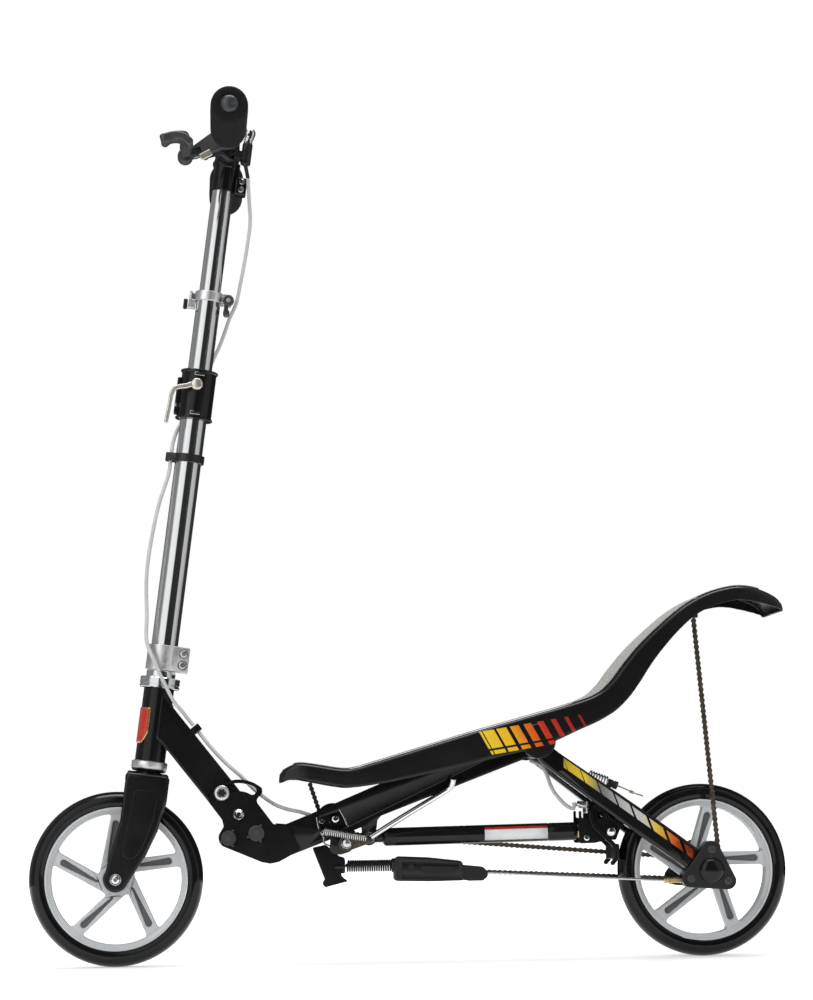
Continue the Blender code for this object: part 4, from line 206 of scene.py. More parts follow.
def floor_and_light():
    """A pale floor, a white surround, soft lamps, and a round screen of light and dark bands for the metal."""
    floor, nodes = set_piece("floor", bpy.ops.mesh.primitive_plane_add, size=40, location=(0, 0, 0))
    out = nodes.add("ShaderNodeOutputMaterial")
    matt = nodes.add("ShaderNodeBsdfDiffuse", Color=(0.8, 0.8, 0.8, 1))
    glow = nodes.add("ShaderNodeEmission")
    away = nodes.add("ShaderNodeVectorMath", operation="LENGTH")
    both = nodes.add("ShaderNodeAddShader")
    nodes.link(nodes.add("ShaderNodeTexCoord").outputs["Object"], away.inputs[0])
    lift = nodes.math("MULTIPLY", nodes.seen_directly(), nodes.spread(away.outputs["Value"], 0.38, 0.7, 0.8, 2.6))
    nodes.link(lift, glow.inputs["Strength"])
    nodes.link(matt.outputs[0], both.inputs[0])
    nodes.link(glow.outputs[0], both.inputs[1])
    nodes.link(both.outputs[0], out.inputs["Surface"])

    world = bpy.data.worlds.new("studio")
    bpy.context.scene.world = world
    nodes = Nodes(world)
    ground = nodes.tree.nodes["Background"]
    ground.inputs["Color"].default_value = (1, 1, 1, 1)
    nodes.link(nodes.spread(nodes.seen_directly(), 0.5, 1.0, 0, 1), ground.inputs["Strength"])

    lamps = (
        ("lamp_left", (-3.2, -3.0, 2.6), (1.6, 2.4), 70),
        ("lamp_right", (3.0, -3.4, 2.0), (1.2, 2.2), 38),
        ("lamp_top", (0.0, 0.4, 4.2), (3.0, 2.0), 95),
        ("lamp_back", (0.6, 3.6, 2.4), (3.0, 1.4), 45))
    for name, place, size, power in lamps:
        clear()
        bpy.ops.object.light_add(type="AREA", location=place)
        lamp = bpy.context.object
        lamp.name = name
        lamp.data.shape = "RECTANGLE"
        lamp.data.size, lamp.data.size_y = size
        lamp.data.energy = power
        lamp.rotation_euler = (Vector((0, 0, 0.35)) - Vector(place)).to_track_quat("-Z", "Y").to_euler()

    screen, nodes = set_piece("screen", bpy.ops.mesh.primitive_cylinder_add, vertices=96, radius=1.5, depth=3.2,
            end_fill_type="NOTHING", location=(0, 0, 1.59))
    for ray in ("camera", "diffuse", "shadow", "transmission"):
        setattr(screen, f"visible_{ray}", False)
    round_about = nodes.add("ShaderNodeTexGradient", gradient_type="RADIAL")
    nodes.link(nodes.add("ShaderNodeTexCoord").outputs["Object"], round_about.inputs[0])
    bands = [(spot, (grey, grey, grey)) for spot, grey in ((0.05, 0.25), (0.083, 1.0), (0.189, 1.0), (0.211, 0.03),
            (0.367, 0.03), (0.389, 0.62), (0.506, 0.5), (0.533, 0.04), (0.75, 0.03), (0.847, 0.05), (0.903, 0.3))]
    shine = nodes.add("ShaderNodeEmission")
    nodes.link(nodes.ramp(round_about.outputs["Fac"], (0.25, 0.25, 0.25), (0.25, 0.25, 0.25), *bands),
            shine.inputs["Color"])
    nodes.link(shine.outputs[0], nodes.add("ShaderNodeOutputMaterial").inputs["Surface"])
    bpy.context.scene.view_settings.view_transform = "Standard"


# Modelling

def pick(piece):
    """Select one piece alone."""
    clear()
    piece.select_set(True)
    bpy.context.view_layer.objects.active = piece


def select_all():
    bpy.ops.mesh.select_all(action="SELECT")


def settle(piece, place=None):
    """Put a piece's place into its mesh, with the object at the origin."""
    pick(piece)
    bpy.ops.object.transform_apply(location=True, rotation=True, scale=True)
    if place is not None:
        piece.matrix_world = place
        bpy.ops.object.transform_apply(location=True, rotation=True, scale=True)
    return piece


def applied(piece, kind, **settings):
    """Add a modifier with its settings and apply it."""
    pick(piece)
    modifier = piece.modifiers.new("shape", kind)
    for name, value in settings.items():
        setattr(modifier, name, value)
    bpy.ops.object.modifier_apply(modifier="shape")
    return piece


def begin(name, kind=bpy.ops.mesh.primitive_plane_add, **words):
    """Add a primitive and open it in edit mode."""
    clear()
    kind(**words)
    piece = bpy.context.object
    piece.name = name
    bpy.ops.object.mode_set(mode="EDIT")
    bpy.ops.mesh.select_mode(type="VERT")
    select_all()
    return piece


def pen(name, point):
    """One vertex at a point, to be drawn on from."""
    piece = begin(name, size=0.002)
    bpy.ops.mesh.merge(type="CENTER")
    bpy.ops.transform.translate(value=tuple(point))
    return piece


def draw(points):
    """Extrude the one selected vertex, which is at the first point, along the others."""
    for last, point in zip(points, points[1:]):
        bpy.ops.mesh.extrude_vertices_move(TRANSFORM_OT_translate={"value": tuple(point - last)})


def finished(piece, place=None, smooth=35):
    """Close doubled points, turn faces outwards, shade and set in place."""
    if piece.mode != "EDIT":
        pick(piece)
        bpy.ops.object.mode_set(mode="EDIT")
    select_all()
    bpy.ops.mesh.remove_doubles(threshold=0.000002)
    bpy.ops.mesh.normals_make_consistent(inside=False)
    bpy.ops.object.mode_set(mode="OBJECT")
    settle(piece, place)
    bpy.ops.object.shade_smooth_by_angle(angle=math.radians(smooth))
    return piece


def turned(name, profile, place=None, steps=40, smooth=35):
    """A profile of (radius, height) drawn point by point and spun round its Z axis."""
    line = [Vector((radius, 0, height)) for radius, height in profile]
    piece = pen(name, line[0])
    draw(line)
    select_all()
    bpy.ops.mesh.spin(steps=steps, angle=2 * math.pi, center=(0, 0, 0), axis=(0, 0, 1))
    return finished(piece, place, smooth)


def plate(name, loops, low, high, place=None, edge=0.0005, rounds=2, smooth=35):
    """An outline in X and Z with its holes, filled, thickened along Y and given rounded edges."""
    lines = [[Vector((x, low, z)) for x, z in (*loop, loop[0])] for loop in loops]
    piece = pen(name, lines[0][0])
    draw(lines[0])
    for before, line in zip(lines, lines[1:]):
        bpy.ops.mesh.duplicate_move(TRANSFORM_OT_translate={"value": tuple(line[0] - before[0])})
        draw(line)
    select_all()
    bpy.ops.mesh.remove_doubles(threshold=0.000002)
    select_all()
    if len(loops) == 1:
        bpy.ops.mesh.edge_face_add()
    else:
        bpy.ops.mesh.fill(use_beauty=True)
    select_all()
    bpy.ops.mesh.extrude_region_move(TRANSFORM_OT_translate={"value": (0, high - low, 0)})
    finished(piece, place, smooth)
    if edge:
        rounded_edges(piece, edge, rounds, smooth)
    return piece


def rounded_edges(piece, width, rounds=2, smooth=35, turn=32):
    """A bevel on every edge sharper than a turn."""
    applied(piece, "BEVEL", width=width, segments=rounds, limit_method="ANGLE", angle_limit=math.radians(turn),
            use_clamp_overlap=True)
    bpy.ops.object.shade_smooth_by_angle(angle=math.radians(smooth))
    return piece


def block(name, size, centre, place=None, edge=0.001, rounds=3):
    """A box with rounded edges about a centre."""
    piece = begin(name, bpy.ops.mesh.primitive_cube_add, size=1)
    bpy.ops.transform.resize(value=size)
    bpy.ops.transform.translate(value=tuple(centre))
    finished(piece, place)
    return rounded_edges(piece, edge, rounds)


def wire(name, points, radius, sides=5, loop=False):
    """A round wire along points."""
    clear()
    bpy.ops.curve.primitive_nurbs_path_add()
    line = bpy.context.object
    line.name = name
    curve = line.data
    curve.splines.clear()
    spline = curve.splines.new("POLY")
    spline.points.add(len(points) - 1)
    for spot, point in zip(spline.points, points):
        spot.co = (*point, 1)
    curve.bevel_depth = radius
    curve.bevel_resolution = sides
    spline.use_cyclic_u = loop
    curve.use_fill_caps = not loop
    bpy.ops.object.convert(target="MESH")
    return finished(bpy.context.object, None, 60)


def lofted(name, rings, place=None, smooth=40, closed=True):
    """A skin over rings of equal counts: a grid shaped to them, with its seam and ends closed."""
    around = len(rings[0])
    columns = around + (1 if closed else 0)
    piece = begin(name, bpy.ops.mesh.primitive_grid_add, x_subdivisions=columns - 1,
            y_subdivisions=len(rings) - 1, size=1)
    bpy.ops.object.mode_set(mode="OBJECT")
    for row, ring in enumerate(rings):
        for column in range(columns):
            piece.data.vertices[row * columns + column].co = ring[column % around]
    bpy.ops.object.mode_set(mode="EDIT")
    select_all()
    bpy.ops.mesh.remove_doubles(threshold=0.000002)
    if closed:
        bpy.ops.mesh.select_all(action="DESELECT")
        bpy.ops.mesh.select_mode(type="EDGE")
        bpy.ops.mesh.select_non_manifold()
        bpy.ops.mesh.fill_holes(sides=0)
        bpy.ops.mesh.select_mode(type="VERT")
    return finished(piece, place, smooth)


def open_ends_closed(shell, around):
    """Give each open end of a lofted skin a face."""
    bpy.ops.object.mode_set(mode="EDIT")
    for first in (0, len(shell.data.vertices) - around):
        bpy.ops.mesh.select_all(action="DESELECT")
        bpy.ops.object.mode_set(mode="OBJECT")
        for vertex in shell.data.vertices[first:first + around]:
            vertex.select = True
        bpy.ops.object.mode_set(mode="EDIT")
        bpy.ops.mesh.edge_face_add()
    select_all()
    bpy.ops.mesh.normals_make_consistent(inside=False)
    bpy.ops.object.mode_set(mode="OBJECT")


def joined(name, *pieces):
    """Several shapes as one piece."""
    clear()
    for piece in pieces:
        piece.select_set(True)
    bpy.context.view_layer.objects.active = pieces[0]
    bpy.ops.object.join()
    pieces[0].name = name
    return pieces[0]


def bored(piece, cutter):
    """A piece with another shape cut away from it."""
    applied(piece, "BOOLEAN", operation="DIFFERENCE", solver="EXACT", object=cutter)
    bpy.data.objects.remove(cutter, do_unlink=True)
    return piece


def refined(node, name, edge, rounds, smooth):
    """A CAD node's own shape, merged into whole faces and given rounded edges."""
    piece = bpy.data.objects.new(name, frame["nodes"][node].data.copy())
    bpy.context.scene.collection.objects.link(piece)
    piece.data.materials.clear()
    pick(piece)
    bpy.ops.object.mode_set(mode="EDIT")
    select_all()
    bpy.ops.mesh.remove_doubles(threshold=0.000005)
    bpy.ops.mesh.dissolve_limited(angle_limit=math.radians(0.6))
    bpy.ops.object.mode_set(mode="OBJECT")
    if edge:
        rounded_edges(piece, edge, rounds, smooth, 30)
    bpy.ops.object.shade_smooth_by_angle(angle=math.radians(smooth))
    return piece


def wrapped(name, radius, wall, rows, place):
    """A thin film on a round tube: rows of (level, first angle, last angle) round its Z axis."""
    rings = []
    for level, first, last in rows:
        turns = [math.radians(first + (last - first) * step / 14) for step in range(15)]
        rings.append([Vector((radius * math.cos(a), radius * math.sin(a), level)) for a in turns])
    return applied(lofted(name, rings, place, closed=False), "SOLIDIFY", thickness=wall, offset=0)


def route(points, spacing):
    """Points along a smooth curve through given ones."""
    points = [Vector(p) for p in points]
    ends = [2 * points[0] - points[1], *points, 2 * points[-1] - points[-2]]
    line = []
    for a, b, c, d in zip(ends, ends[1:], ends[2:], ends[3:]):
        steps = max(1, round((c - b).length / spacing))
        for step in range(steps):
            t = step / steps
            line.append(0.5 * (2 * b + (c - a) * t + (2 * a - 5 * b + 4 * c - d) * t**2
                    + (3 * b - a - 3 * c + d) * t**3))
    line.append(points[-1])
    return line


def polar(radius, degrees):
    return radius * math.cos(math.radians(degrees)), radius * math.sin(math.radians(degrees))


def arc(radius, start, end, steps, centre=(0.0, 0.0)):
    spots = [polar(radius, start + (end - start) * i / steps) for i in range(steps + 1)]
    return [(centre[0] + x, centre[1] + z) for x, z in spots]


def ring(radius, steps=24, centre=(0.0, 0.0)):
    return arc(radius, 0, 360, steps, centre)[:-1]


def rounded(corners, radius, steps=5):
    """A closed outline with its corners rounded; a corner may carry its own radius."""
    loop = []
    for index, corner in enumerate(corners):
        here = Vector(corner[:2])
        before = Vector(corners[index - 1][:2]) - here
        after = Vector(corners[(index + 1) % len(corners)][:2]) - here
        wanted = corner[2] if len(corner) > 2 else radius
        half = before.angle(after) / 2
        reach = min(wanted / math.tan(half), 0.49 * before.length, 0.49 * after.length)
        if wanted <= 0 or reach < 1e-5:
            loop.append(tuple(here))
            continue
        first = here + before.normalized() * reach
        last = here + after.normalized() * reach
        for step in range(steps + 1):
            t = step / steps
            point = first * (1 - t) ** 2 + here * (2 * t * (1 - t)) + last * t**2
            loop.append((point.x, point.y))
    return loop


def ribbon(spine, width):
    """The outline of a strip along a line in X and Z with round ends; width gives half its width along it."""
    count = len(spine) - 1
    near, far = [], []
    for index, point in enumerate(spine):
        way = (spine[min(index + 1, count)] - spine[max(index - 1, 0)]).normalized()
        half = width(index / count)
        near.append((point.x + way.y * half, point.y - way.x * half))
        far.append((point.x - way.y * half, point.y + way.x * half))
    ends = []
    for tip, inner, share in ((spine[0], spine[1], 0.0), (spine[-1], spine[-2], 1.0)):
        turn = math.degrees(math.atan2(tip.y - inner.y, tip.x - inner.x))
        ends.append(arc(width(share), turn - 90, turn + 90, 10, (tip.x, tip.y))[1:-1])
    return far[::-1] + ends[0] + near + ends[1]


def hull(circles, steps):
    """The outline drawn tight round circles that stand in a ring round their middle."""
    middle = sum((Vector(c[:2]) for c in circles), Vector((0, 0))) / len(circles)
    circles = sorted(circles, key=lambda c: math.atan2(c[1] - middle.y, c[0] - middle.x))

    def normal(one, other):
        dx, dz = other[0] - one[0], other[1] - one[1]
        share = (one[2] - other[2]) / math.hypot(dx, dz)
        return math.degrees(math.atan2(dz, dx) - math.acos(max(-1.0, min(1.0, share))))

    loop = []
    for before, circle, after in zip(circles[-1:] + circles[:-1], circles, circles[1:] + circles[:1]):
        start = normal(before, circle)
        loop += arc(circle[2], start, start + (normal(circle, after) - start) % 360, steps, circle[:2])
    return loop


def mm(points):
    return [tuple(value / 1000 for value in point) for point in points]


def place_part(piece, body, finish, *nodes, slot=None):
    """Give a piece its finish, let it move with its body and stand for its CAD nodes."""
    piece.data.materials.clear()
    piece.data.materials.append(PAINT[finish])
    if body is not None:
        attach(piece, body)
    if nodes:
        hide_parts(*nodes)
    return piece


def bridging(piece, finish, nodes, slot=None):
    """Place a piece that stretches between two bodies: give it its finish, let it stand for its CAD nodes and fix its
    place into its mesh, held by neither body.
    """
    place_part(piece, None, finish, *nodes, slot=slot)
    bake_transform(piece)


def socket_head(name, radius, height, place, bore=0.5):
    """A domed bolt head with a six-sided socket."""
    deep = height * 0.6
    head = turned(name, [(0, 0), (radius, 0), (radius, height * 0.62), (radius * 0.93, height * 0.86),
            (radius * 0.8, height), (radius * bore, height), (radius * bore * 0.96, height - deep),
            (0, height - deep)], None, 36)
    return settle(head, place)


# Finishes

class Finish(Nodes):
    """A node material built up step by step on one Principled shader."""

    def __init__(self, name, colour, rough, metal=0.0, specular=0.5, coat=0.0):
        self.material = bpy.data.materials.new(name)
        super().__init__(self.material)
        self.shader = self.tree.nodes["Principled BSDF"]
        for socket, value in (("Base Color", (*colour, 1)), ("Roughness", rough), ("Metallic", metal),
                ("Specular IOR Level", specular), ("Coat Weight", coat), ("Coat Roughness", 0.03)):
            self.shader.inputs[socket].default_value = value
        self.colour = colour
        self.where = self.add("ShaderNodeTexCoord").outputs["Object"]
        self.paint = None
        self.relief = None

    def noise(self, scale, detail=3.0, where=None):
        node = self.add("ShaderNodeTexNoise", Scale=scale, Detail=detail, Roughness=0.55)
        self.link(where or self.where, node.inputs["Vector"])
        return node.outputs["Fac"]

    def cells(self, scale):
        node = self.add("ShaderNodeTexVoronoi", Scale=scale)
        self.link(self.where, node.inputs["Vector"])
        return node.outputs["Distance"]

    def tint(self, share, colour):
        """Lay a colour over the paint by a share from 0 to 1."""
        node = self.add("ShaderNodeMix", data_type="RGBA")
        if self.paint is None:
            node.inputs[6].default_value = (*self.colour, 1)
        else:
            self.link(self.paint, node.inputs[6])
        if isinstance(colour, tuple):
            node.inputs[7].default_value = (*colour, 1)
        else:
            self.link(colour, node.inputs[7])
        self.link(share, node.inputs[0])
        self.paint = node.outputs[2]
        self.link(self.paint, self.shader.inputs["Base Color"])
        return self

    def vary(self, scale, colour, most, detail=3.0):
        """Cloudy patches of another shade."""
        return self.tint(self.spread(self.noise(scale, detail), 0.0, most), colour)

    def gloss(self, scale, low, high, where=None):
        """Roughness that wanders over the surface."""
        self.link(self.spread(self.noise(scale, 4.0, where), low, high), self.shader.inputs["Roughness"])
        return self

    def bump(self, height, strength, depth):
        node = self.add("ShaderNodeBump", Strength=strength, Distance=depth)
        self.link(height, node.inputs["Height"])
        if self.relief is not None:
            self.link(self.relief, node.inputs["Normal"])
        self.relief = node.outputs[0]
        self.link(self.relief, self.shader.inputs["Normal"])
        return self

    def axes(self):
        node = self.add("ShaderNodeSeparateXYZ")
        self.link(self.where, node.inputs[0])
        return node.outputs


# Each finish: name, colour, roughness, metal and specular shares, patches of another colour as
# [(scale, colour, most)], wandering roughness as (scale, low, high), relief as [(scale, detail, strength, depth)]
FINISHES = {
    "gloss_black": ("gloss_black_paint", (0.0046, 0.0046, 0.0052), 0.16, 0, 0.3, [(18, (0.011, 0.011, 0.012), 0.7)],
                    (30, 0.13, 0.22), [(420, 2, 0.05, 0.0004), (60, 2, 0.03, 0.001)]),
    "deck_black": ("deck_moulding", (0.0055, 0.0055, 0.006), 0.24, 0, 0.34, [(9, (0.009, 0.009, 0.01), 0.8)],
                   (14, 0.2, 0.3), [(900, 3, 0.1, 0.0003), (24, 2, 0.04, 0.002)]),
    "satin_black": ("satin_black_plastic", (0.009, 0.009, 0.01), 0.36, 0, 0.32, [(45, (0.016, 0.016, 0.017), 0.6)],
                    (80, 0.33, 0.46), [(1600, 3, 0.18, 0.0003)]),
    "black_steel": ("black_coated_steel", (0.012, 0.012, 0.013), 0.3, 0, 0.5, [(60, (0.028, 0.027, 0.026), 0.6)],
                    (120, 0.25, 0.38), [(700, 3, 0.12, 0.0003)]),
    "rim_grey": ("silver_grey_moulding", (0.53, 0.55, 0.565), 0.32, 0, 0.45,
                 [(40, (0.6, 0.615, 0.625), 0.8), (260, (0.49, 0.51, 0.53), 0.45)], (90, 0.3, 0.42),
                 [(1500, 2, 0.1, 0.0003)]),
    # painted shade: the dark grey of the plates laid in the rim's spoke grooves, where shade falls
    "painted_groove_shade": ("painted_groove_shade", (0.085, 0.09, 0.095), 0.42, 0, 0.3, [(60, (0.13, 0.135, 0.14), 0.8)],
                    (90, 0.36, 0.5), [(900, 2, 0.1, 0.0003)]),
    "tyre": ("cast_tyre", (0.0045, 0.0045, 0.005), 0.1, 0, 0.28, [(30, (0.01, 0.01, 0.011), 0.7)],
             (45, 0.07, 0.13), [(40, 2, 0.05, 0.001), (1100, 2, 0.05, 0.0002)]),
    "chrome": ("mirror_chrome", (0.8, 0.81, 0.82), 0.05, 1, 0.5, [(14, (0.7, 0.71, 0.73), 0.5)], None, []),
    "aluminium": ("bead_blasted_aluminium", (0.66, 0.66, 0.67), 0.36, 0.9, 0.5, [(120, (0.56, 0.56, 0.575), 0.6)],
                  (300, 0.3, 0.45), [(2200, 2, 0.2, 0.0002)]),
    "lever_silver": ("lever_silver", (0.7, 0.66, 0.59), 0.28, 0.85, 0.5, [(150, (0.6, 0.56, 0.5), 0.6)],
                     (240, 0.22, 0.36), [(1500, 2, 0.12, 0.0002)]),
    "bright_steel": ("zinc_plated_steel", (0.62, 0.62, 0.625), 0.22, 1, 0.5, [(160, (0.5, 0.51, 0.54), 0.7)],
                     (220, 0.15, 0.32), [(900, 3, 0.1, 0.0002)]),
    "dark_chain": ("browned_chain_steel", (0.085, 0.066, 0.048), 0.38, 0.8, 0.5,
                   [(420, (0.2, 0.165, 0.125), 0.8), (160, (0.035, 0.028, 0.023), 0.7)], (500, 0.28, 0.52),
                   [(1600, 3, 0.25, 0.0002)]),
    "brass": ("turned_brass", (0.63, 0.5, 0.27), 0.27, 1, 0.5, [(150, (0.5, 0.38, 0.2), 0.6)],
              (300, 0.2, 0.38), [(1200, 2, 0.12, 0.0002)]),
    "foam": ("grip_foam", (0.006, 0.006, 0.0064), 0.92, 0, 0.18, [(900, (0.015, 0.015, 0.016), 0.9, 4)], None, []),
    "grey_plastic": ("grained_grey_plastic", (0.034, 0.034, 0.036), 0.36, 0, 0.45, [(70, (0.05, 0.05, 0.052), 0.7)],
                     (160, 0.3, 0.45), [(1500, 3, 0.3, 0.0003)]),
    "plug": ("bar_end_plug", (0.028, 0.031, 0.034), 0.26, 0, 0.5, [(200, (0.04, 0.044, 0.047), 0.7)],
             (200, 0.22, 0.32), [(1400, 2, 0.15, 0.0002)]),
    "cable_grey": ("cable_sleeve", (0.5, 0.51, 0.5), 0.3, 0, 0.5, [(60, (0.6, 0.61, 0.6), 0.8)],
                   (120, 0.24, 0.38), [(500, 2, 0.08, 0.0003)]),
    "grip_sheet": ("grit_sheet", (0.34, 0.335, 0.315), 0.85, 0, 0.35,
                   [(1800, (0.6, 0.59, 0.56), 0.9, 2), (700, (0.16, 0.155, 0.145), 0.6)], None, []),
    "badge_red": ("badge_red", (0.42, 0.022, 0.012), 0.2, 0, 0.5, [(90, (0.56, 0.05, 0.02), 0.7)],
                  (60, 0.16, 0.26), [(500, 2, 0.05, 0.0002)]),
    "badge_edge": ("badge_edge", (0.7, 0.52, 0.22), 0.25, 0.8, 0.5, [(200, (0.55, 0.38, 0.14), 0.6)],
                   (200, 0.2, 0.32), [(800, 2, 0.05, 0.0002)]),
    # the stays' black paint carries their graphic, whose silver blocks are a painted sheen
    "stay_paint_and_sheen": ("stay_paint_and_sheen", (0.005, 0.005, 0.0056), 0.18, 0, 0.4, [(18, (0.011, 0.011, 0.012), 0.7)],
                   (30, 0.13, 0.22), [(420, 2, 0.05, 0.0004)]),
    "label_film": ("bare_label_film", (0.74, 0.745, 0.75), 0.34, 0, 0.5, [(50, (0.8, 0.805, 0.81), 0.8)],
                   (60, 0.25, 0.36), [(400, 2, 0.05, 0.0002)]),
}


def make_finishes():
    """Every finish on the scooter, with what a few of them have beyond their row."""
    made = {}
    for key, (name, colour, rough, metal, specular, patches, gloss, relief) in FINISHES.items():
        made[key] = finish = Finish(name, colour, rough, metal, specular, 0.4 if key == "badge_red" else 0.0)
        for patch in patches:
            finish.vary(*patch)
        if gloss:
            finish.gloss(*gloss)
        for scale, detail, strength, depth in relief:
            finish.bump(finish.noise(scale, detail), strength, depth)
        PAINT[key] = finish.material

    chrome, foam, grit = made["chrome"], made["foam"], made["grip_sheet"]
    drawn = chrome.add("ShaderNodeMapping", Scale=(1, 1, 0.04))
    chrome.link(chrome.where, drawn.inputs["Vector"])
    chrome.gloss(500, 0.035, 0.1, drawn.outputs[0])
    chrome.bump(chrome.noise(900, 2.0, drawn.outputs[0]), 0.02, 0.0002)
    pores = foam.cells(1500)
    foam.bump(pores, 0.75, 0.0006).bump(foam.noise(260, 4.0), 0.35, 0.001)
    foam.tint(foam.spread(pores, 0.55, 0.0, 0.05, 0.35), (0.003, 0.003, 0.003))
    grains = grit.cells(2300)
    grit.tint(grit.spread(grains, 0.6, 0.0, 0.1, 0.5), (0.12, 0.118, 0.11))
    grit.bump(grains, 0.6, 0.0004).bump(grit.noise(600, 3.0), 0.4, 0.0006)
    deck_graphic(made["deck_black"])
    stay_graphic_with_painted_sheen(made["stay_paint_and_sheen"])


def between(finish, value, low, high, soft):
    """A share that is 1 where a value lies between two limits."""
    up = finish.spread(value, 0.0, 1.0, low - soft, low + soft)
    return finish.math("MULTIPLY", up, finish.spread(value, 1.0, 0.0, high - soft, high + soft))


def slanted_bars(finish, run, span, side, bars, mask, grain, *colours):
    """Lay a ramp of colours, read along a run, over the slanted bars of one band on both outer faces."""
    ramp = finish.ramp(finish.spread(run, 0.0, 1.0, *span), *colours)
    outer = finish.math("GREATER_THAN", finish.math("ABSOLUTE", finish.axes()[1]), side)
    shown = finish.math("MULTIPLY", finish.math("MULTIPLY", outer, bars), mask)
    finish.tint(finish.math("MULTIPLY", shown, finish.spread(finish.noise(grain[0], 2.0), grain[1], 1.0)), ramp)


def deck_graphic(deck):
    """Slanted speed bars on both skirts, shading from yellow through orange to red."""
    x, _, z = deck.axes()
    along = deck.math("ADD", x, deck.math("MULTIPLY", deck.math("SUBTRACT", z, 0.25), 0.55))
    bars = deck.math("LESS_THAN", deck.math("FRACT", deck.math("MULTIPLY", along, 58.0)),
            deck.spread(along, 0.93, 0.16, 0.082, 0.215))
    rise = deck.math("SUBTRACT", z, deck.math("MULTIPLY", deck.math("SUBTRACT", x, 0.08), 0.16))
    rows = deck.math("MAXIMUM", between(deck, rise, 0.2415, 0.263, 0.0004),
            between(deck, rise, 0.2345, 0.239, 0.0004))
    mask = deck.math("MULTIPLY", rows, between(deck, along, 0.082, 0.222, 0.0006))
    slanted_bars(deck, along, (0.082, 0.222), 0.0575, bars, mask, (1400, 0.86), (0.86, 0.6, 0.03),
            (0.22, 0.008, 0.006), (0.22, (0.86, 0.5, 0.02)), (0.36, (0.74, 0.19, 0.012)), (0.55, (0.56, 0.028, 0.01)))


def stay_graphic_with_painted_sheen(stay):
    """A tapered band of slanting blocks on the stays' outer faces: yellow, then silver that is a painted sheen, then
    yellow to red.
    """
    x, _, z = stay.axes()
    fall = stay.math("ADD", z, stay.math("MULTIPLY", stay.math("SUBTRACT", x, 0.19), 0.735))
    slant = stay.math("ADD", x, stay.math("MULTIPLY", z, 0.35))
    bars = stay.math("LESS_THAN", stay.math("FRACT", stay.math("MULTIPLY", slant, 70.0)),
            stay.spread(x, 0.96, 0.72, 0.176, 0.33))
    mask = stay.math("MULTIPLY", between(stay, fall, 0.2105, 0.2215, 0.0004), between(stay, x, 0.176, 0.322, 0.0005))
    # the two silver stops, at 0.45 and 0.58, are a painted sheen standing in for a reflection on the stays
    slanted_bars(stay, x, (0.176, 0.33), 0.0325, bars, mask, (1300, 0.8), (0.72, 0.5, 0.03), (0.3, 0.012, 0.01),
            (0.16, (0.78, 0.58, 0.05)), (0.27, (0.16, 0.16, 0.16)), (0.45, (0.52, 0.52, 0.5)),
            (0.58, (0.6, 0.58, 0.52)), (0.68, (0.74, 0.52, 0.05)), (0.8, (0.62, 0.12, 0.02)))


# Wheels

TYRE_OUT = 0.1
RIM_OUT = 0.0817
BAND_IN = 0.0747
HUB_OUT = 0.018
HUB_HALF = 0.016


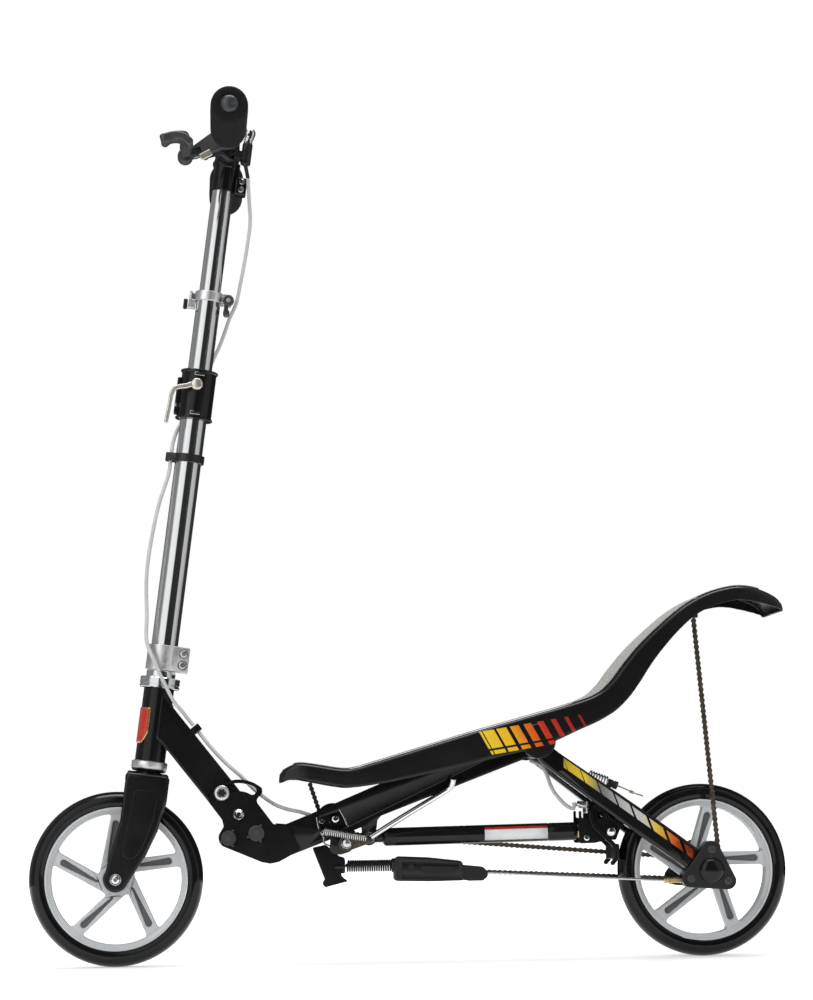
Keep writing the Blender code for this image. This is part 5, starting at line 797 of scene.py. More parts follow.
def wheel(name, centre, turn, body):
    """A cast tyre on a moulded rim whose five grooved spokes run past the hub's middle, with dark plates of painted
    shade in the grooves, and with its bearings.
    """
    place = across(centre)
    side = mm([(82, 12.9), (84, 14.1), (87.2, 14.85), (90.5, 14.7), (93.8, 13.4), (96.2, 11.2), (98.1, 8), (99.5, 4)])
    profile = [(r, -h) for r, h in side] + [(TYRE_OUT, -0.0008),
            (TYRE_OUT, 0.0008)] + side[::-1] + [(side[0][0], -side[0][1])]
    tyre = turned(f"{name}_cast_tyre", profile, place, 96, 60)
    place_part(tyre, body, "tyre", f"{name}_tyre")

    lip = [(RIM_OUT, 0.0129), (0.0805, 0.0132), (0.0793, 0.0129), (0.0789, 0.0112), (0.0772, 0.0106),
            (0.0762, 0.0098), (BAND_IN, 0.0088)]
    profile = lip + [(r, -h) for r, h in reversed(lip)] + [lip[0]]
    band = turned(f"{name}_band", profile, place, 96, 30)

    offset, half, outer, inner = 0.0127, 0.0075, BAND_IN + 0.0004, 0.0215

    def edge_point(spoke, off, reach):
        angle = turn + spoke * 2 * math.pi / 5
        along = math.sqrt(reach**2 - off**2)
        return (along * math.cos(angle) - off * math.sin(angle), along * math.sin(angle) + off * math.cos(angle))

    windows = []
    for spoke in range(5):
        first, last = edge_point(spoke, offset + half, outer), edge_point(spoke + 1, offset - half, outer)
        start = math.degrees(math.atan2(first[1], first[0]))
        run = (math.degrees(math.atan2(last[1], last[0])) - start) % 360
        along_band = arc(outer, start, start + run, 14)
        windows.append(rounded([(*edge_point(spoke, offset + half, inner), 0.003), (*first, 0.007), *along_band[2:-2],
                (*last, 0.007), (*edge_point(spoke + 1, offset - half, inner), 0.003)], 0.0, 5))
    disc = plate(f"{name}_disc", [ring(BAND_IN + 0.0022, 96), *windows], -0.008, 0.008, None, 0.0, 1)
    # Dark grey plates laid just above each groove's floor: painted shade in the grooves.
    groove_shade_plates = []
    for spoke in range(5):
        lay = Matrix.Rotation(-(turn + spoke * 2 * math.pi / 5), 4, "Y")
        loop = arc(0.0015, 90, 270, 8, (0.018, offset)) + arc(0.0042, -90, 90, 8, (0.0618, offset))
        for level in (-0.008, 0.008):
            bored(disc, plate("groove", [loop], level - 0.003, level + 0.003, lay, 0.0))
        groove_shade_plates.append(plate("floor", [loop], -0.0052, 0.0052, at(centre) @ lay, 0.0))
    rounded_edges(disc, 0.0009, 3, 35, 40)
    settle(disc, at(centre))
    hub = turned(f"{name}_hub", [(HUB_OUT - 0.001, HUB_HALF), (HUB_OUT, HUB_HALF - 0.001),
            (HUB_OUT, -HUB_HALF + 0.001), (HUB_OUT - 0.001, -HUB_HALF), (0.0125, -HUB_HALF),
            (0.012, -HUB_HALF + 0.001), (0.0053, -HUB_HALF + 0.001), (0.0053, HUB_HALF - 0.001),
            (0.012, HUB_HALF - 0.001), (0.0125, HUB_HALF), (HUB_OUT - 0.001, HUB_HALF)], place, 64)
    rim = joined(f"{name}_moulded_rim", disc, band, hub)
    place_part(rim, body, "rim_grey", f"{name}_rim")
    place_part(joined(f"{name}_groove_painted_shade", *groove_shade_plates), body, "painted_groove_shade", slot="rim_grey")
    races = []
    for side_way in (-1, 1):
        level = side_way * (HUB_HALF - 0.0006)
        races.append(turned("race", [(0.0118, level - side_way * 0.0012), (0.0118, level), (0.01, level),
                (0.0098, level - side_way * 0.0004), (0.0074, level - side_way * 0.0004), (0.0072, level),
                (0.0054, level), (0.0054, level - side_way * 0.0012), (0.0118, level - side_way * 0.0012)], place,
                40))
    place_part(joined(f"{name}_bearings", *races), body, "bright_steel")


# Fork, neck and badge

def fork():
    """The forked blades, their notched crown, the steerer and the axle with its dome nuts."""
    inside, thick = 0.046, 0.011
    reach = inside / 2 + thick
    loop = rounded([(-0.0245, 0.119), (-0.0245, 0.068, 0.05), (-0.0315, 0.024, 0.03),
            *arc(0.0145, 150, 345, 22, (-0.021, 0.0)), (0.0085, 0.029, 0.03), (0.0195, 0.0615, 0.05),
            (0.0248, 0.091, 0.05), (0.0248, 0.119)], 0.0, 6)
    panel = rounded(mm([(-13, 104), (12, 105), (14.5, 95), (13.9, 73), (4.7, 37.5), (-2, 27), (-8, 24), (-15, 26),
            (-18, 32), (-16, 60)]), 0.006, 5)
    blades = []
    for side in (-1, 1):
        low, high = spread_over(side, inside / 2, reach)
        blade = plate("blade", [loop], low, high, STEERING, 0.0028, 4)
        face = side * reach
        low, high = sorted((face - side * 0.002, face + side * 0.0009))
        blades += [blade, plate("panel", [panel], low, high, STEERING, 0.0009, 3)]
    crown = block("crown", (0.05, 2 * reach, 0.0122), (0, 0, 0.1171), STEERING, 0.0045, 5)
    race = turned("race", mm([(0, 124), (18, 122.6), (18, 125), (16.5, 125.7), (0, 126)]), STEERING, 40)
    steerer = turned("steerer", mm([(0, 273), (14.2, 273), (14.2, 125.5), (0, 125.5)]), STEERING, 40)
    lugs = [block("lug", (0.0075, 2 * reach - 0.006, 0.005), (x, 0, 0.1226), STEERING, 0.0018, 3)
            for x in (-0.0195, 0.0195)]
    whole = joined("fork_blades", crown, *blades, *lugs, race, steerer)
    place_part(whole, "steer", "gloss_black", "fork")
    nuts = []
    axle = STEERING @ Vector((-0.021, 0, 0))
    for side in (-1, 1):
        spot = facing(side, axle + Vector((0, side * reach, 0)))
        nuts.append(turned("washer", mm([(0, 0), (6.4, 0), (6.4, 0.9), (6, 1.2), (0, 1.2)]), spot, 40))
        nuts.append(turned("nut",
                mm([(0, 4.6), (1.6, 4.6), (2.2, 3.4), (3, 4.4), (4.2, 4), (5.1, 2.8), (5.1, 0), (0, 0)]), spot, 36,
                50))
    shank = turned("shank", mm([(0, 22.5), (6.2, 22.5), (6.2, 16.4), (4.9, 16.4), (4.9, -16.4), (6.2, -16.4),
            (6.2, -22.5), (0, -22.5)]), across(axle), 32)
    place_part(joined("front_axle_nuts", shank, *nuts), "steer", "chrome", slot="bright_steel")


def neck():
    """The head tube with its cup, the box tube down to the hinge and the cable clip."""
    head = turned("head", mm([(17.5, 223.3), (17.5, 139), (20.6, 137.2), (20.6, 130.3), (19.6, 127.2), (18.1, 126.3),
            (14.5, 126.3), (14.5, 137.5), (15.3, 137.5), (15.3, 223.3), (17.5, 223.3)]), STEERING, 56)
    along = Vector((math.cos(math.radians(51.7)), -math.sin(math.radians(51.7))))
    square = Vector((-along.y, along.x))
    half, wall = 0.018, 0.0167
    axis_at = STEERING @ Vector((0.004, 0, 0))
    lean = STEERING.to_3x3() @ Vector((0, 0, 1))

    def meet(offset):
        start = square * offset
        dx = axis_at.x - HINGE.x - start.x
        dz = axis_at.z - HINGE.z - start.y
        return tuple(start + along * ((dx * lean.z - dz * lean.x) / (along.x * lean.z - along.y * lean.x)))

    turn = math.degrees(math.atan2(-square.y, -square.x))
    tube = plate("tube", [[meet(half), meet(-half), *arc(half, turn, turn + 180, 28)]], -wall, wall,
            at(HINGE), 0.0022, 4)
    clip = block("clip", (0.0085, 0.015, 0.011), (0, 0, 0), at(ahead_point(0.0925, 0.171, -0.008))
            @ spun(51, "Y"), 0.0012, 3)
    place_part(joined("neck_tube", head, tube, clip), "neck", "gloss_black", "neck")

    face = Vector((square.x, 0, square.y))
    rearward = STEERING.to_3x3() @ Vector((1, 0, 0))

    def weld(y, offset):
        out = math.sqrt(0.0176**2 - y**2)
        level = (offset - (STEERING.to_translation() + rearward * out - HINGE).dot(face)) / lean.dot(face)
        return column_point(out, level, y)

    rim = []
    corners = [(-wall, half, 12), (wall, half, 8), (wall, -half, 12), (-wall, -half, 8)]
    for (y, offset, steps), (next_y, next_offset, _) in zip(corners, corners[1:] + corners[:1]):
        rim += [weld(y + (next_y - y) * step / steps, offset + (next_offset - offset) * step / steps)
                for step in range(steps)]
    place_part(wire("weld_bead", rim, 0.0018, 4, loop=True), "neck", "gloss_black")
    cup = turned("lower_cup",
            mm([(20.7, 130), (20.8, 136.8), (20.4, 137.6), (17.8, 138.8), (17.6, 138), (20.5, 129.6), (20.7, 130)]),
            STEERING, 56)
    place_part(cup, "neck", "aluminium", slot="chrome")


def badge():
    """The bare red shield on the head tube's front, in its gold edge."""
    radius, rows = 0.0175, 16
    layers = (
        ("badge_edge", 0.001, 0.00045, "badge_edge"),
        ("badge_face", 0.0, 0.00085, "badge_red"))
    for name, grow, out, finish in layers:
        outline = []
        for row in range(rows + 1):
            share = row / rows
            half = 66 * (0.62 + 0.38 * min(1.0, share / 0.3) ** 0.6) + math.degrees(grow / radius)
            level = 0.159 + 0.0395 * share + (grow if row == rows else -grow if row == 0 else 0)
            outline.append((level, 180 - half, 180 + half))
        place_part(wrapped(name, radius + out, 0.0006, outline, STEERING), "neck", finish, slot="gloss_black")


def headset():
    """The chromed lock ring, the adjusting nut and the cone."""
    low = 0.2236
    ringed = turned("ring", [(0.0224, low), (0.023, low + 0.0006), (0.023, low + 0.003), (0.0219, low + 0.0034),
            (0.0219, low + 0.0042), (0.023, low + 0.0046), (0.023, low + 0.0114), (0.0222, low + 0.0122),
            (0.0172, low + 0.0122), (0.0168, low + 0.0128), (0.0168, low + 0.019), (0.016, low + 0.0205),
            (0.0146, low + 0.0206), (0.0146, low), (0.0224, low)], STEERING, 64, 30)
    place_part(ringed, "steer", "chrome", "headset_ring")


def stem_clamp():
    """The aluminium pinch block with its slit and two socket bolts."""
    bore, wall, half = 0.0158, 0.019, 0.0155
    meet = math.degrees(math.asin(half / wall))
    loop = [(0.03, half), *arc(wall, meet, 360 - meet, 40), (0.03, -half), (0.03, -0.0012)]
    slit = math.degrees(math.asin(0.0012 / bore))
    loop += arc(bore, -slit, -360 + slit, 48) + [(0.03, 0.0012)]
    lay = STEERING @ spun(90, "X")
    low, high = 0.2446, 0.2446 + 0.029
    body = plate("stem_pinch_block", [[(x, -y) for x, y in loop]], low, high, lay, 0.0007, 3)
    place_part(body, "steer", "aluminium", "stem_clamp")
    bolts = []
    for share in (0.27, 0.73):
        level = low + share * 0.029
        for side, turn in ((-1, 90), (1, -90)):
            spot = STEERING @ at((0.0235, side * half, level)) @ spun(turn, "X")
            bolts.append(turned("washer", mm([(0, 0), (5.6, 0), (5.6, 0.5), (0, 0.5)]), spot, 28))
            bolts.append(socket_head("bolt", 0.0042, 0.002, spot, 0.5))
    place_part(joined("stem_bolts", *bolts), "steer", "bright_steel")


# Column

def column():
    """Three chromed tubes, the clamping sleeve with its cam lever, the collar with its lever, and the strap."""
    tubes = (
        ("lower_column", "lower_tube", "steer", 0.0155, 0.0146, 0.2446, 0.5776),
        ("middle_column", "middle_tube", "middle", 0.0143, 0.013, 0.43, 0.697),
        ("upper_column", "upper_tube", "bar", 0.0127, 0.0111, 0.53, 0.855))
    for name, node, body, outer, inner, low, high in tubes:
        tube = turned(name, [(outer, low), (outer, high - 0.0006), (outer - 0.0005, high), (inner, high),
                (inner, low), (outer, low)], STEERING, 64)
        place_part(tube, body, "chrome", node)

    low, top = 0.542, 0.601
    lip, wide, tight, step = 0.022, 0.0158, 0.0146, 0.5782
    sleeve = turned("sleeve", [(lip - 0.0006, top), (lip, top - 0.0006), (lip, top - 0.0022), (0.0207, top - 0.0032),
            (0.0204, top - 0.005), (0.0204, low + 0.005), (0.0207, low + 0.0032), (lip, low + 0.0022),
            (lip, low + 0.0006), (lip - 0.0006, low), (wide, low), (wide, step), (tight, step), (tight, top),
            (lip - 0.0006, top)], STEERING, 56)
    guide = block("guide", (0.006, 0.013, 0.044), (-0.0215, 0, low + 0.027), STEERING, 0.0016, 3)
    place_part(joined("clamping_sleeve", sleeve, guide), "steer", "gloss_black", "mid_sleeve", slot="satin_black")
    facing = spun(90, "X")
    pivot = at((-0.0008, 0, 0.5819))
    boss = turned("lever_boss", mm([(0, 22.6), (5.2, 22.6), (5.8, 22), (5.8, 15), (0, 15)]),
            STEERING @ pivot @ facing, 36)
    place_part(boss, "steer", "satin_black")
    slots = [block("slot", (0.012, 0.0024, 0.004), (0.001, -0.02, level), STEERING, 0.0005, 2)
            for level in (0.5953, 0.5486)]
    rivet = turned("rivet", mm([(0, 1.2), (2.2, 1), (2.8, 0), (2.8, -1), (0, -1)]),
            STEERING @ at((-0.0218, -0.0065, 0.5577)) @ facing, 28)
    place_part(joined("sleeve_slots", *slots, rivet), "steer", "chrome")

    plane = -lip - 0.0028
    spine = route(mm([(-0.8, 581.9), (-7.7, 580.4), (-13.2, 577.9), (-21.2, 575.9), (-26.6, 572.6), (-28.9, 566.3),
            (-29.4, 556.6), (-30.2, 544.5), (-31.0, 533.5)]), 0.0015)
    lever = plate("lever", [ribbon(spine, lambda t: 0.0034 - 0.0011 * min(1.0, t * 1.6))], plane - 0.0021,
            plane + 0.0021, STEERING, 0.0014, 3)
    hub = turned("hub", mm([(0, 3.6), (5, 3.4), (6.4, 2.6), (7, 1.4), (7, -2.4), (0, -2.4)]),
            STEERING @ pivot @ at((0, plane, 0)) @ facing, 40)
    place_part(joined("cam_lever_arm", lever, hub), "cam", "lever_silver", "cam_lever", slot="aluminium")

    strap_mid = 0.49535
    bore, wall, eye = 0.0158, 0.0186, -0.027
    outer = [*arc(wall, -145, 145, 40), (eye + 0.004, 0.0082), (eye + 0.001, 0.0074), (eye, 0.0055), (eye, -0.0055),
            (eye + 0.001, -0.0074), (eye + 0.004, -0.0082)]
    room = rounded(mm([(-16.6, 5.6), (-25.2, 5.6), (-25.2, -5.6), (-16.6, -5.6)]), 0.0012, 3)
    lay = STEERING @ facing
    strap = plate("rubber_strap", [[(x, -y) for x, y in outer], ring(bore, 44), [(x, -y) for x, y in room]],
            strap_mid - 0.00465, strap_mid + 0.00465, lay, 0.0006, 2)
    place_part(strap, "steer", "satin_black", "cable_strap")

    middle = 0.691
    bore, wall, half = 0.0146, 0.017, 0.008
    meet = math.degrees(math.asin(half / wall))
    loop = [(0.026, half), *arc(wall, meet, 360 - meet, 44), (0.026, -half), (0.026, -0.001)]
    slit = math.degrees(math.asin(0.001 / bore))
    loop += arc(bore, -slit, -360 + slit, 48) + [(0.026, 0.001)]
    collar = plate("collar", [[(x, -y) for x, y in loop]], middle - 0.0057, middle + 0.0057, lay, 0.0008, 3)
    skewer = turned("skewer", mm([(0, 14.5), (2.6, 14.2), (3, 13), (3, -8.4), (0, -8.4)]),
            STEERING @ at((0.0233, 0, 0.6885)) @ facing, 24)
    place_part(joined("height_clamp", collar, skewer), "middle", "aluminium", "height_collar", slot="bright_steel")
    nut = turned("nut", mm([(3.1, 13.6), (5, 13.8), (6.2, 13), (6.6, 11.8), (6.6, 8.8), (6, 8.2), (3.1, 8.2),
            (3.1, 13.6)]), STEERING @ at((0.0233, 0, 0.6885)) @ facing, 40)
    stop = turned("stop", mm([(0, 10.5), (3, 10.2), (3.8, 9), (3.8, -4), (0, -4)]),
            STEERING @ at((0.0224, 0, 0.6745)) @ facing, 30)
    link = block("link", (0.005, 0.006, 0.014), (0.0215, -0.004, 0.68), STEERING, 0.0012, 2)
    place_part(joined("height_nut", nut, stop, link), "middle", "grey_plastic")

    pin = (0.023, 0.0125)
    spine = route(mm([(24.5, 12.5), (12, 18.8), (-2, 20.4), (-14, 15.4), (-20.8, 5.2), (-21.8, -5)]), 0.0016)
    outline = ribbon(spine, lambda t: 0.0014 + 0.0012 * math.exp(-(t * 7) ** 2))
    arm = plate("arm", [[(x, -y) for x, y in outline]], middle - 0.0052, middle + 0.0052, lay, 0.0009, 3)
    cam = turned("cam", mm([(0, 6), (3, 6), (3.6, 5.4), (3.6, -5.4), (3, -6), (0, -6)]),
            STEERING @ at((pin[0], pin[1], middle)), 28)
    thumb = block("thumb", (0.01, 0.0085, 0.0112), (-0.02, -0.0005, 0.6808), STEERING, 0.0014, 3)
    place_part(joined("wrap_lever", arm, cam, thumb), "wrap", "aluminium", "collar_lever", slot="bright_steel")
    tip = block("thumb_tip", (0.0048, 0.009, 0.0116), (-0.027, -0.0005, 0.68), STEERING, 0.0014, 3)
    place_part(tip, "wrap", "satin_black")


# Handlebar

def bar_place(y):
    return STEERING @ at((0, y, BAR_LEVEL)) @ spun(-90, "X")


def handlebar():
    """The chromed bar, its foam grips with end plugs, and the welded T with its pinch box."""
    half, radius = 0.225, 0.0111
    bar = turned("bar_tube", [(0, half - 0.004), (radius, half - 0.004), (radius, -half + 0.004), (0, -half + 0.004)],
            bar_place(0), 48)
    place_part(bar, "bar", "chrome", "handlebar")
    for name, side in (("grip_right", 1), ("grip_left", -1)):
        start, end = half - 0.12, half - 0.0012
        body = [(0.0114, end - 0.001), (0.015, end), (0.0186, end - 0.0006), (0.0204, end - 0.003),
                (0.021, end - 0.008), (0.0213, end - 0.03), (0.021, start + 0.04), (0.0208, start + 0.01),
                (0.02, start + 0.003), (0.018, start), (0.0114, start + 0.0004), (0.0114, end - 0.001)]
        place = bar_place(0) @ spun(0 if side > 0 else 180, "X")
        grip = turned(f"foam_{name}", body, place, 64, 60)
        place_part(grip, "bar", "foam", name)
        plug = turned(f"end_plug_{name[5:]}", [(0, half + 0.003), (0.0036, half + 0.0027), (0.0068, half + 0.0016),
                (0.0092, half - 0.0002), (0.0106, half - 0.0024), (0.011, half - 0.0045), (0, half - 0.004)], place,
                48, 60)
        place_part(plug, "bar", "plug", slot="grey_plastic")

    low = BAR_LEVEL - 0.046
    cross = turned("cross", mm([(11.4, 28), (13.9, 28), (14.5, 27.2), (14.5, -27.2), (13.9, -28), (11.4, -28),
            (11.4, 28)]), bar_place(0), 48)
    upright = turned("upright", [(0.013, low), (0.0138, low), (0.0142, low + 0.0008), (0.0142, BAR_LEVEL),
            (0.013, BAR_LEVEL), (0.013, low)], STEERING, 48)
    collar = turned("bead", [(0.0142, BAR_LEVEL - 0.018), (0.0156, BAR_LEVEL - 0.0155), (0.0162, BAR_LEVEL - 0.012),
            (0.0142, BAR_LEVEL - 0.008), (0.0142, BAR_LEVEL - 0.018)], STEERING, 48, 60)
    pinch = block("pinch", (0.014, 0.018, 0.021), (0.0205, 0, low + 0.0085), STEERING, 0.0022, 3)
    gusset = block("gusset", (0.016, 0.01, 0.018), (0.009, 0, BAR_LEVEL - 0.019), STEERING, 0.0012, 3)
    whole = joined("bar_tee", upright, cross, collar, pinch, gusset)
    place_part(whole, "bar", "gloss_black", "bar_clamp")
    bolts = []
    for level in (low + 0.004, low + 0.0135):
        for side, turn in ((-1, 90), (1, -90)):
            spot = STEERING @ at((0.0215, side * 0.009, level)) @ spun(turn, "X")
            bolts.append(socket_head("bolt", 0.0036, 0.0024, spot, 0.5))
    place_part(joined("tee_bolts", *bolts), "bar", "bright_steel")


def lever_frame():
    """The brake lever's own axes: X away from the rider, Y outboard, Z up off its plane."""
    drop = math.radians(15.5)
    forward = Vector((-math.cos(drop), 0, -math.sin(drop)))
    out = Vector((0, -1, 0))
    basis = Matrix((forward, out, forward.cross(out))).transposed()
    return at(BAR + Vector((-0.038, -0.088, -0.02))) @ basis.to_4x4()


def brake_lever():
    """The perch, the finger lever with its broad hooked tip, and the pivot screw."""
    perch = refined("brake_perch", "lever_perch", 0.0006, 2, 40)
    place_part(perch, "bar", "grey_plastic", "brake_perch")
    lay = lever_frame() @ spun(-90, "X")
    spine = route(mm([(-4.5, -2), (8.5, 4), (12, 18), (12, 45), (11.5, 68), (14, 84), (24, 93.5), (36, 96)]), 0.002)
    blade = plate("blade", [ribbon(spine, lambda t: 0.0062 - 0.0014 * t)], -0.0052, 0.0056, lay, 0.0032, 5, 50)
    pad = route(mm([(-72, -31), (-68, -27.8), (-60, -26.2), (-51, -28.2), (-45, -33)]), 0.002)
    tip = plate("tip", [ribbon(pad, lambda t: 0.0046)], -0.188, -0.164, at(BAR), 0.0026, 4, 50)
    eye = turned("eye", mm([(0, 7.5), (7, 7.2), (8.6, 5.8), (8.8, 4), (8.8, -6), (0, -6)]),
            towards_viewer(BAR + Vector((-0.05, -0.088, -0.0255))), 44)
    place_part(joined("finger_lever", blade, tip, eye), "lever", "grey_plastic", "brake_lever")
    screws = [socket_head("screw", 0.0042, 0.0012, lever_frame() @ at((0, 0, 0.0062)), 0.5)]
    under = lever_frame() @ at((0, 0, -0.0062)) @ spun(180, "X")
    screws.append(socket_head("screw", 0.0036, 0.001, under, 0.5))
    place_part(joined("perch_screw", *screws), "bar", "bright_steel")
    lens = block("clamp_cap", (0.015, 0.003, 0.008), (0, 0, 0), at(BAR + Vector((-0.026, -0.0965, -0.025)))
            @ spun(-28, "Y"), 0.0014, 3)
    place_part(lens, "bar", "lever_silver", slot="bright_steel")


def bell():
    """A small bell: a band round the bar, a black post behind it, a chrome ring and a polished dome."""
    y = -0.045
    band = turned("band", mm([(11.4, 4.5), (13.8, 4.5), (14.2, 4), (14.2, -4), (13.8, -4.5), (11.4, -4.5),
            (11.4, 4.5)]), bar_place(y), 44)
    stand = STEERING @ at((0.0232, y, BAR_LEVEL))
    post = turned("post", mm([(0, -21), (5.2, -21), (6, -20), (6, 4), (5.4, 5), (0, 5)]), stand, 36)
    bridge = block("bridge", (0.014, 0.008, 0.01), (0.016, y, BAR_LEVEL - 0.01), STEERING, 0.001, 2)
    place_part(joined("bell_mount", post, band, bridge), "bar", "satin_black")
    dome = turned("bell_dome", mm([(0, 0), (5, 0), (5.6, 1.6), (5.2, 2.4), (6.2, 4.2), (6.7, 7), (6.3, 10), (4.8, 12),
            (2.6, 12.9), (0, 13.1)]), stand @ at((0.001, 0, 0.0102)), 44, 60)
    place_part(dome, "bar", "chrome", "bell")
    collar = turned("bell_ring", mm([(0, 4.8), (4.8, 4.8), (5.2, 5.4), (5.2, 9.8), (4.8, 10.4), (0, 10.4)]), stand,
            36)
    place_part(collar, "bar", "chrome")


# Fold hinge and main beam

def hinge():
    """The folding bracket's two slotted cheeks with their web, the pivot bolt, both knobs and the lock button."""
    inside = 0.0173
    outside = inside + 0.0042
    lock_turn = 180 - 51.7
    fold_turn = lock_turn - 69.0
    radius, half = 0.0314, 0.0048
    ends = [polar(radius, turn) for turn in (lock_turn, fold_turn)]
    slot = (arc(radius + half, lock_turn, fold_turn, 24) + arc(half, fold_turn, fold_turn - 180, 12, ends[1])[1:]
            + arc(radius - half, fold_turn, lock_turn, 24)[1:] + arc(half, lock_turn + 180, lock_turn,
            12, ends[0])[1:-1])
    hoop = arc(0.04, 44, 150, 26)
    loop = rounded([(0.056, -0.012, 0.002), (0.04, -0.012, 0.004), (0.019, 0.016, 0.008),
            (hoop[0][0] - 0.001, hoop[0][1] - 0.004, 0.006), *hoop[1:],
            *mm([(-34, 14, 6), (-19, -6, 6), (-17, -14, 4), (-22, -22, 2)]),
            *arc(0.0112, 165, 240, 10, (-0.012, -0.027)),
            *mm([(26, -55, 4), (36, -57, 10), (46, -55, 10), (70, -42, 1), (70, -40, 1)])], 0.0, 5)
    lay = at(HINGE)
    holes = [slot, ring(0.0048, 28), ring(0.0033, 20, (-0.012, -0.027)), ring(0.0033, 20, (0.02, -0.022))]
    cheeks = [plate("cheek", [loop, *holes], low, high, lay, 0.0009, 3) for low,
            high in ((-outside, -inside), (inside, outside))]
    low_edge = mm([(-20, -33.6), (-18, -36), (26, -55), (36, -57), (46, -55), (55.5, -50.2)])
    web = plate("web", [low_edge + [(x + 0.0012, z + 0.004) for x, z in low_edge][::-1]], -inside - 0.001,
            inside + 0.001, lay, 0.0)
    place_part(joined("folding_bracket", *cheeks, web), BODY["hinge_bracket"], "gloss_black", "hinge_bracket")

    face = outside + 0.0003
    bolt = turned("fold_pivot", [(0, face + 0.0026), (0.0026, face + 0.0026), (0.003, face + 0.0034),
            (0.0052, face + 0.0036), (0.0064, face + 0.0026), (0.0068, face + 0.0012), (0.0068, face), (0.0045, face),
            (0.0045, -face), (0.0068, -face), (0.0068, -face - 0.0012), (0.006, -face - 0.0036),
            (0.003, -face - 0.004), (0, -face - 0.004)], towards_viewer(HINGE), 40)
    place_part(bolt, BODY["pivot_bolt"], "chrome", "pivot_bolt")
    for name, (x, z), wide in (("knob_front", (-0.012, -0.027), 0.01), ("knob_rear", (0.02, -0.022), 0.0104)):
        spot = towards_viewer(HINGE + Vector((x, 0, z)))
        lay = at(HINGE + Vector((x, 0, z)))
        cap = plate("cap", [ring(wide - 0.0012, 72)], -face - 0.0036, -face, lay, 0.0011, 3)
        crown = turned("crown", [(0, face + 0.003), (0.004, face + 0.003), (0.0044, face + 0.0044),
                (0.0052, face + 0.0044), (0.0058, face + 0.0034), (0.0074, face + 0.0034), (0.0079, face + 0.0042),
                (0.0084, face + 0.003), (0, face + 0.0026)], spot, 44)
        tabs = [block("tab", (0.003, 0.0024, 0.0024), (wide * math.cos(a), -face - 0.002, wide * math.sin(a)), lay,
                0.0006, 2) for a in (1.05, 3.55, 5.2)]
        shank = turned("shank", [(0, face), (0.003, face), (0.003, -face), (0.0052, -face), (0.0052, -face - 0.0035),
                (0, -face - 0.0035)], spot, 6)
        place_part(joined(f"clamp_{name}", cap, crown, shank, *tabs), BODY[name], "grey_plastic", name,
                slot="satin_black")

    x, z = ends[0]
    lock_spot = towards_viewer(HINGE + Vector((x, -face, z)))
    button = turned("lock_plunger",
            mm([(0, 1.6), (3, 1.6), (3.4, 2.2), (4.6, 2.2), (5.2, 3.6), (6.2, 4.4), (7.8, 4), (8.8, 2.6), (8.8, 0),
            (4.2, 0), (4.2, -24), (0, -24)]), lock_spot, 48)
    place_part(button, "lock", "aluminium", "lock_button")
    heart = turned("plunger_centre", mm([(0, 4), (1.8, 4), (2, 3.2), (4.4, 3.2), (4.8, 2), (0, 2)]), lock_spot, 6)
    place_part(heart, "lock", "satin_black")


def beam():
    """The bent box beam with its window, lugs and spring post."""
    tube = refined("main_beam", "box_beam", 0.001, 3, 36)
    place_part(tube, BODY["main_beam"], "gloss_black", "main_beam")
    outline = rounded(mm([(226.7, 32.1), (240.8, -4.8), (239.0, -7.0), (238.4, -10.5), (240.7, -13.4), (266.8, -6.9),
            (265.7, -5.2), (262.8, -3.4), (259.9, -0.5), (258.8, 4.1), (261.1, 5.2), (262.3, 8.6), (263.4, 20.6),
            (257.8, 21.9), (241.8, 35.3)]), 0.0018, 3)
    hanger = plate("hanger", [outline], -0.01, 0.01, at(FRONT_AXLE), 0.0012, 3)
    peg = turned("peg", mm([(0, -12), (8.5, -12), (8.5, -1), (7.8, 0), (0, 0)]),
            at(ahead_point(0.264, 0.0105, -0.002)) @ spun(90, "Y"), 40)
    post = joined("spring_hanger", hanger, peg)
    place_part(post, BODY["spring_post"], "gloss_black", "spring_post")
    bolts = []
    for side in (-1, 1):
        bolts.append(turned("washer", mm([(0, 0), (6.8, 0), (6.8, 0.8), (0, 0.8)]),
                facing(side, ahead_point(0.292, 0.043, -0.003 + side * 0.0095)), 32))
        bolts.append(socket_head("head", 0.0052, 0.003, facing(side, ahead_point(0.292, 0.043, -0.003 + side * 0.01)),
                0.45))
    bolts.append(socket_head("head", 0.005, 0.0028, towards_viewer(ahead_point(0.251, 0.064, 0.0035)), 0.45))
    bolts.append(turned("pin_cap", mm([(0, 1.2), (3, 1), (4.6, 0), (4.6, -1), (0, -1)]),
            towards_viewer(ahead_point(0.265, 0.037, -0.0296)), 32))
    place_part(joined("beam_bolts", *bolts), BODY["main_beam"], "bright_steel")
    axle = turned("apex_pin", mm([(0, 56.6), (5.6, 56.6), (6, 56.2), (6, -56.2), (5.6, -56.6), (0, -56.6)]),
            across(APEX), 36)
    place_part(axle, BODY["apex_axle"], "bright_steel", "apex_axle")


def window_trim():
    """The bright edges of the bracket behind the beam's window, and its small bolts."""
    lay = at(FRONT_AXLE)
    trims = []
    edges = (
        [(231.4, 66.5), (233.6, 55.0), (239.3, 43.4), (239.2, 37.7), (246.1, 34.2)],
        [(258.2, 75.3), (262.7, 67.2), (267.2, 56.8)])
    for line in edges:
        spine = route(mm(line), 0.002)
        trims.append(plate("trim", [ribbon(spine, lambda t: 0.001)], -0.0176, -0.0146, lay, 0.0004, 2))
    heads = (
        (0.2371, 0.063, 0.0036),
        (0.2528, 0.065, 0.0044),
        (0.2428, 0.0491, 0.0034),
        (0.2509, 0.049, 0.003))
    for x, z, radius in heads:
        trims.append(socket_head("head", radius, 0.0026, towards_viewer(ahead_point(x, z, -0.015)), 0.45))
    place_part(joined("window_trim", *trims), BODY["main_beam"], "chrome", slot="bright_steel")


# Rear arm

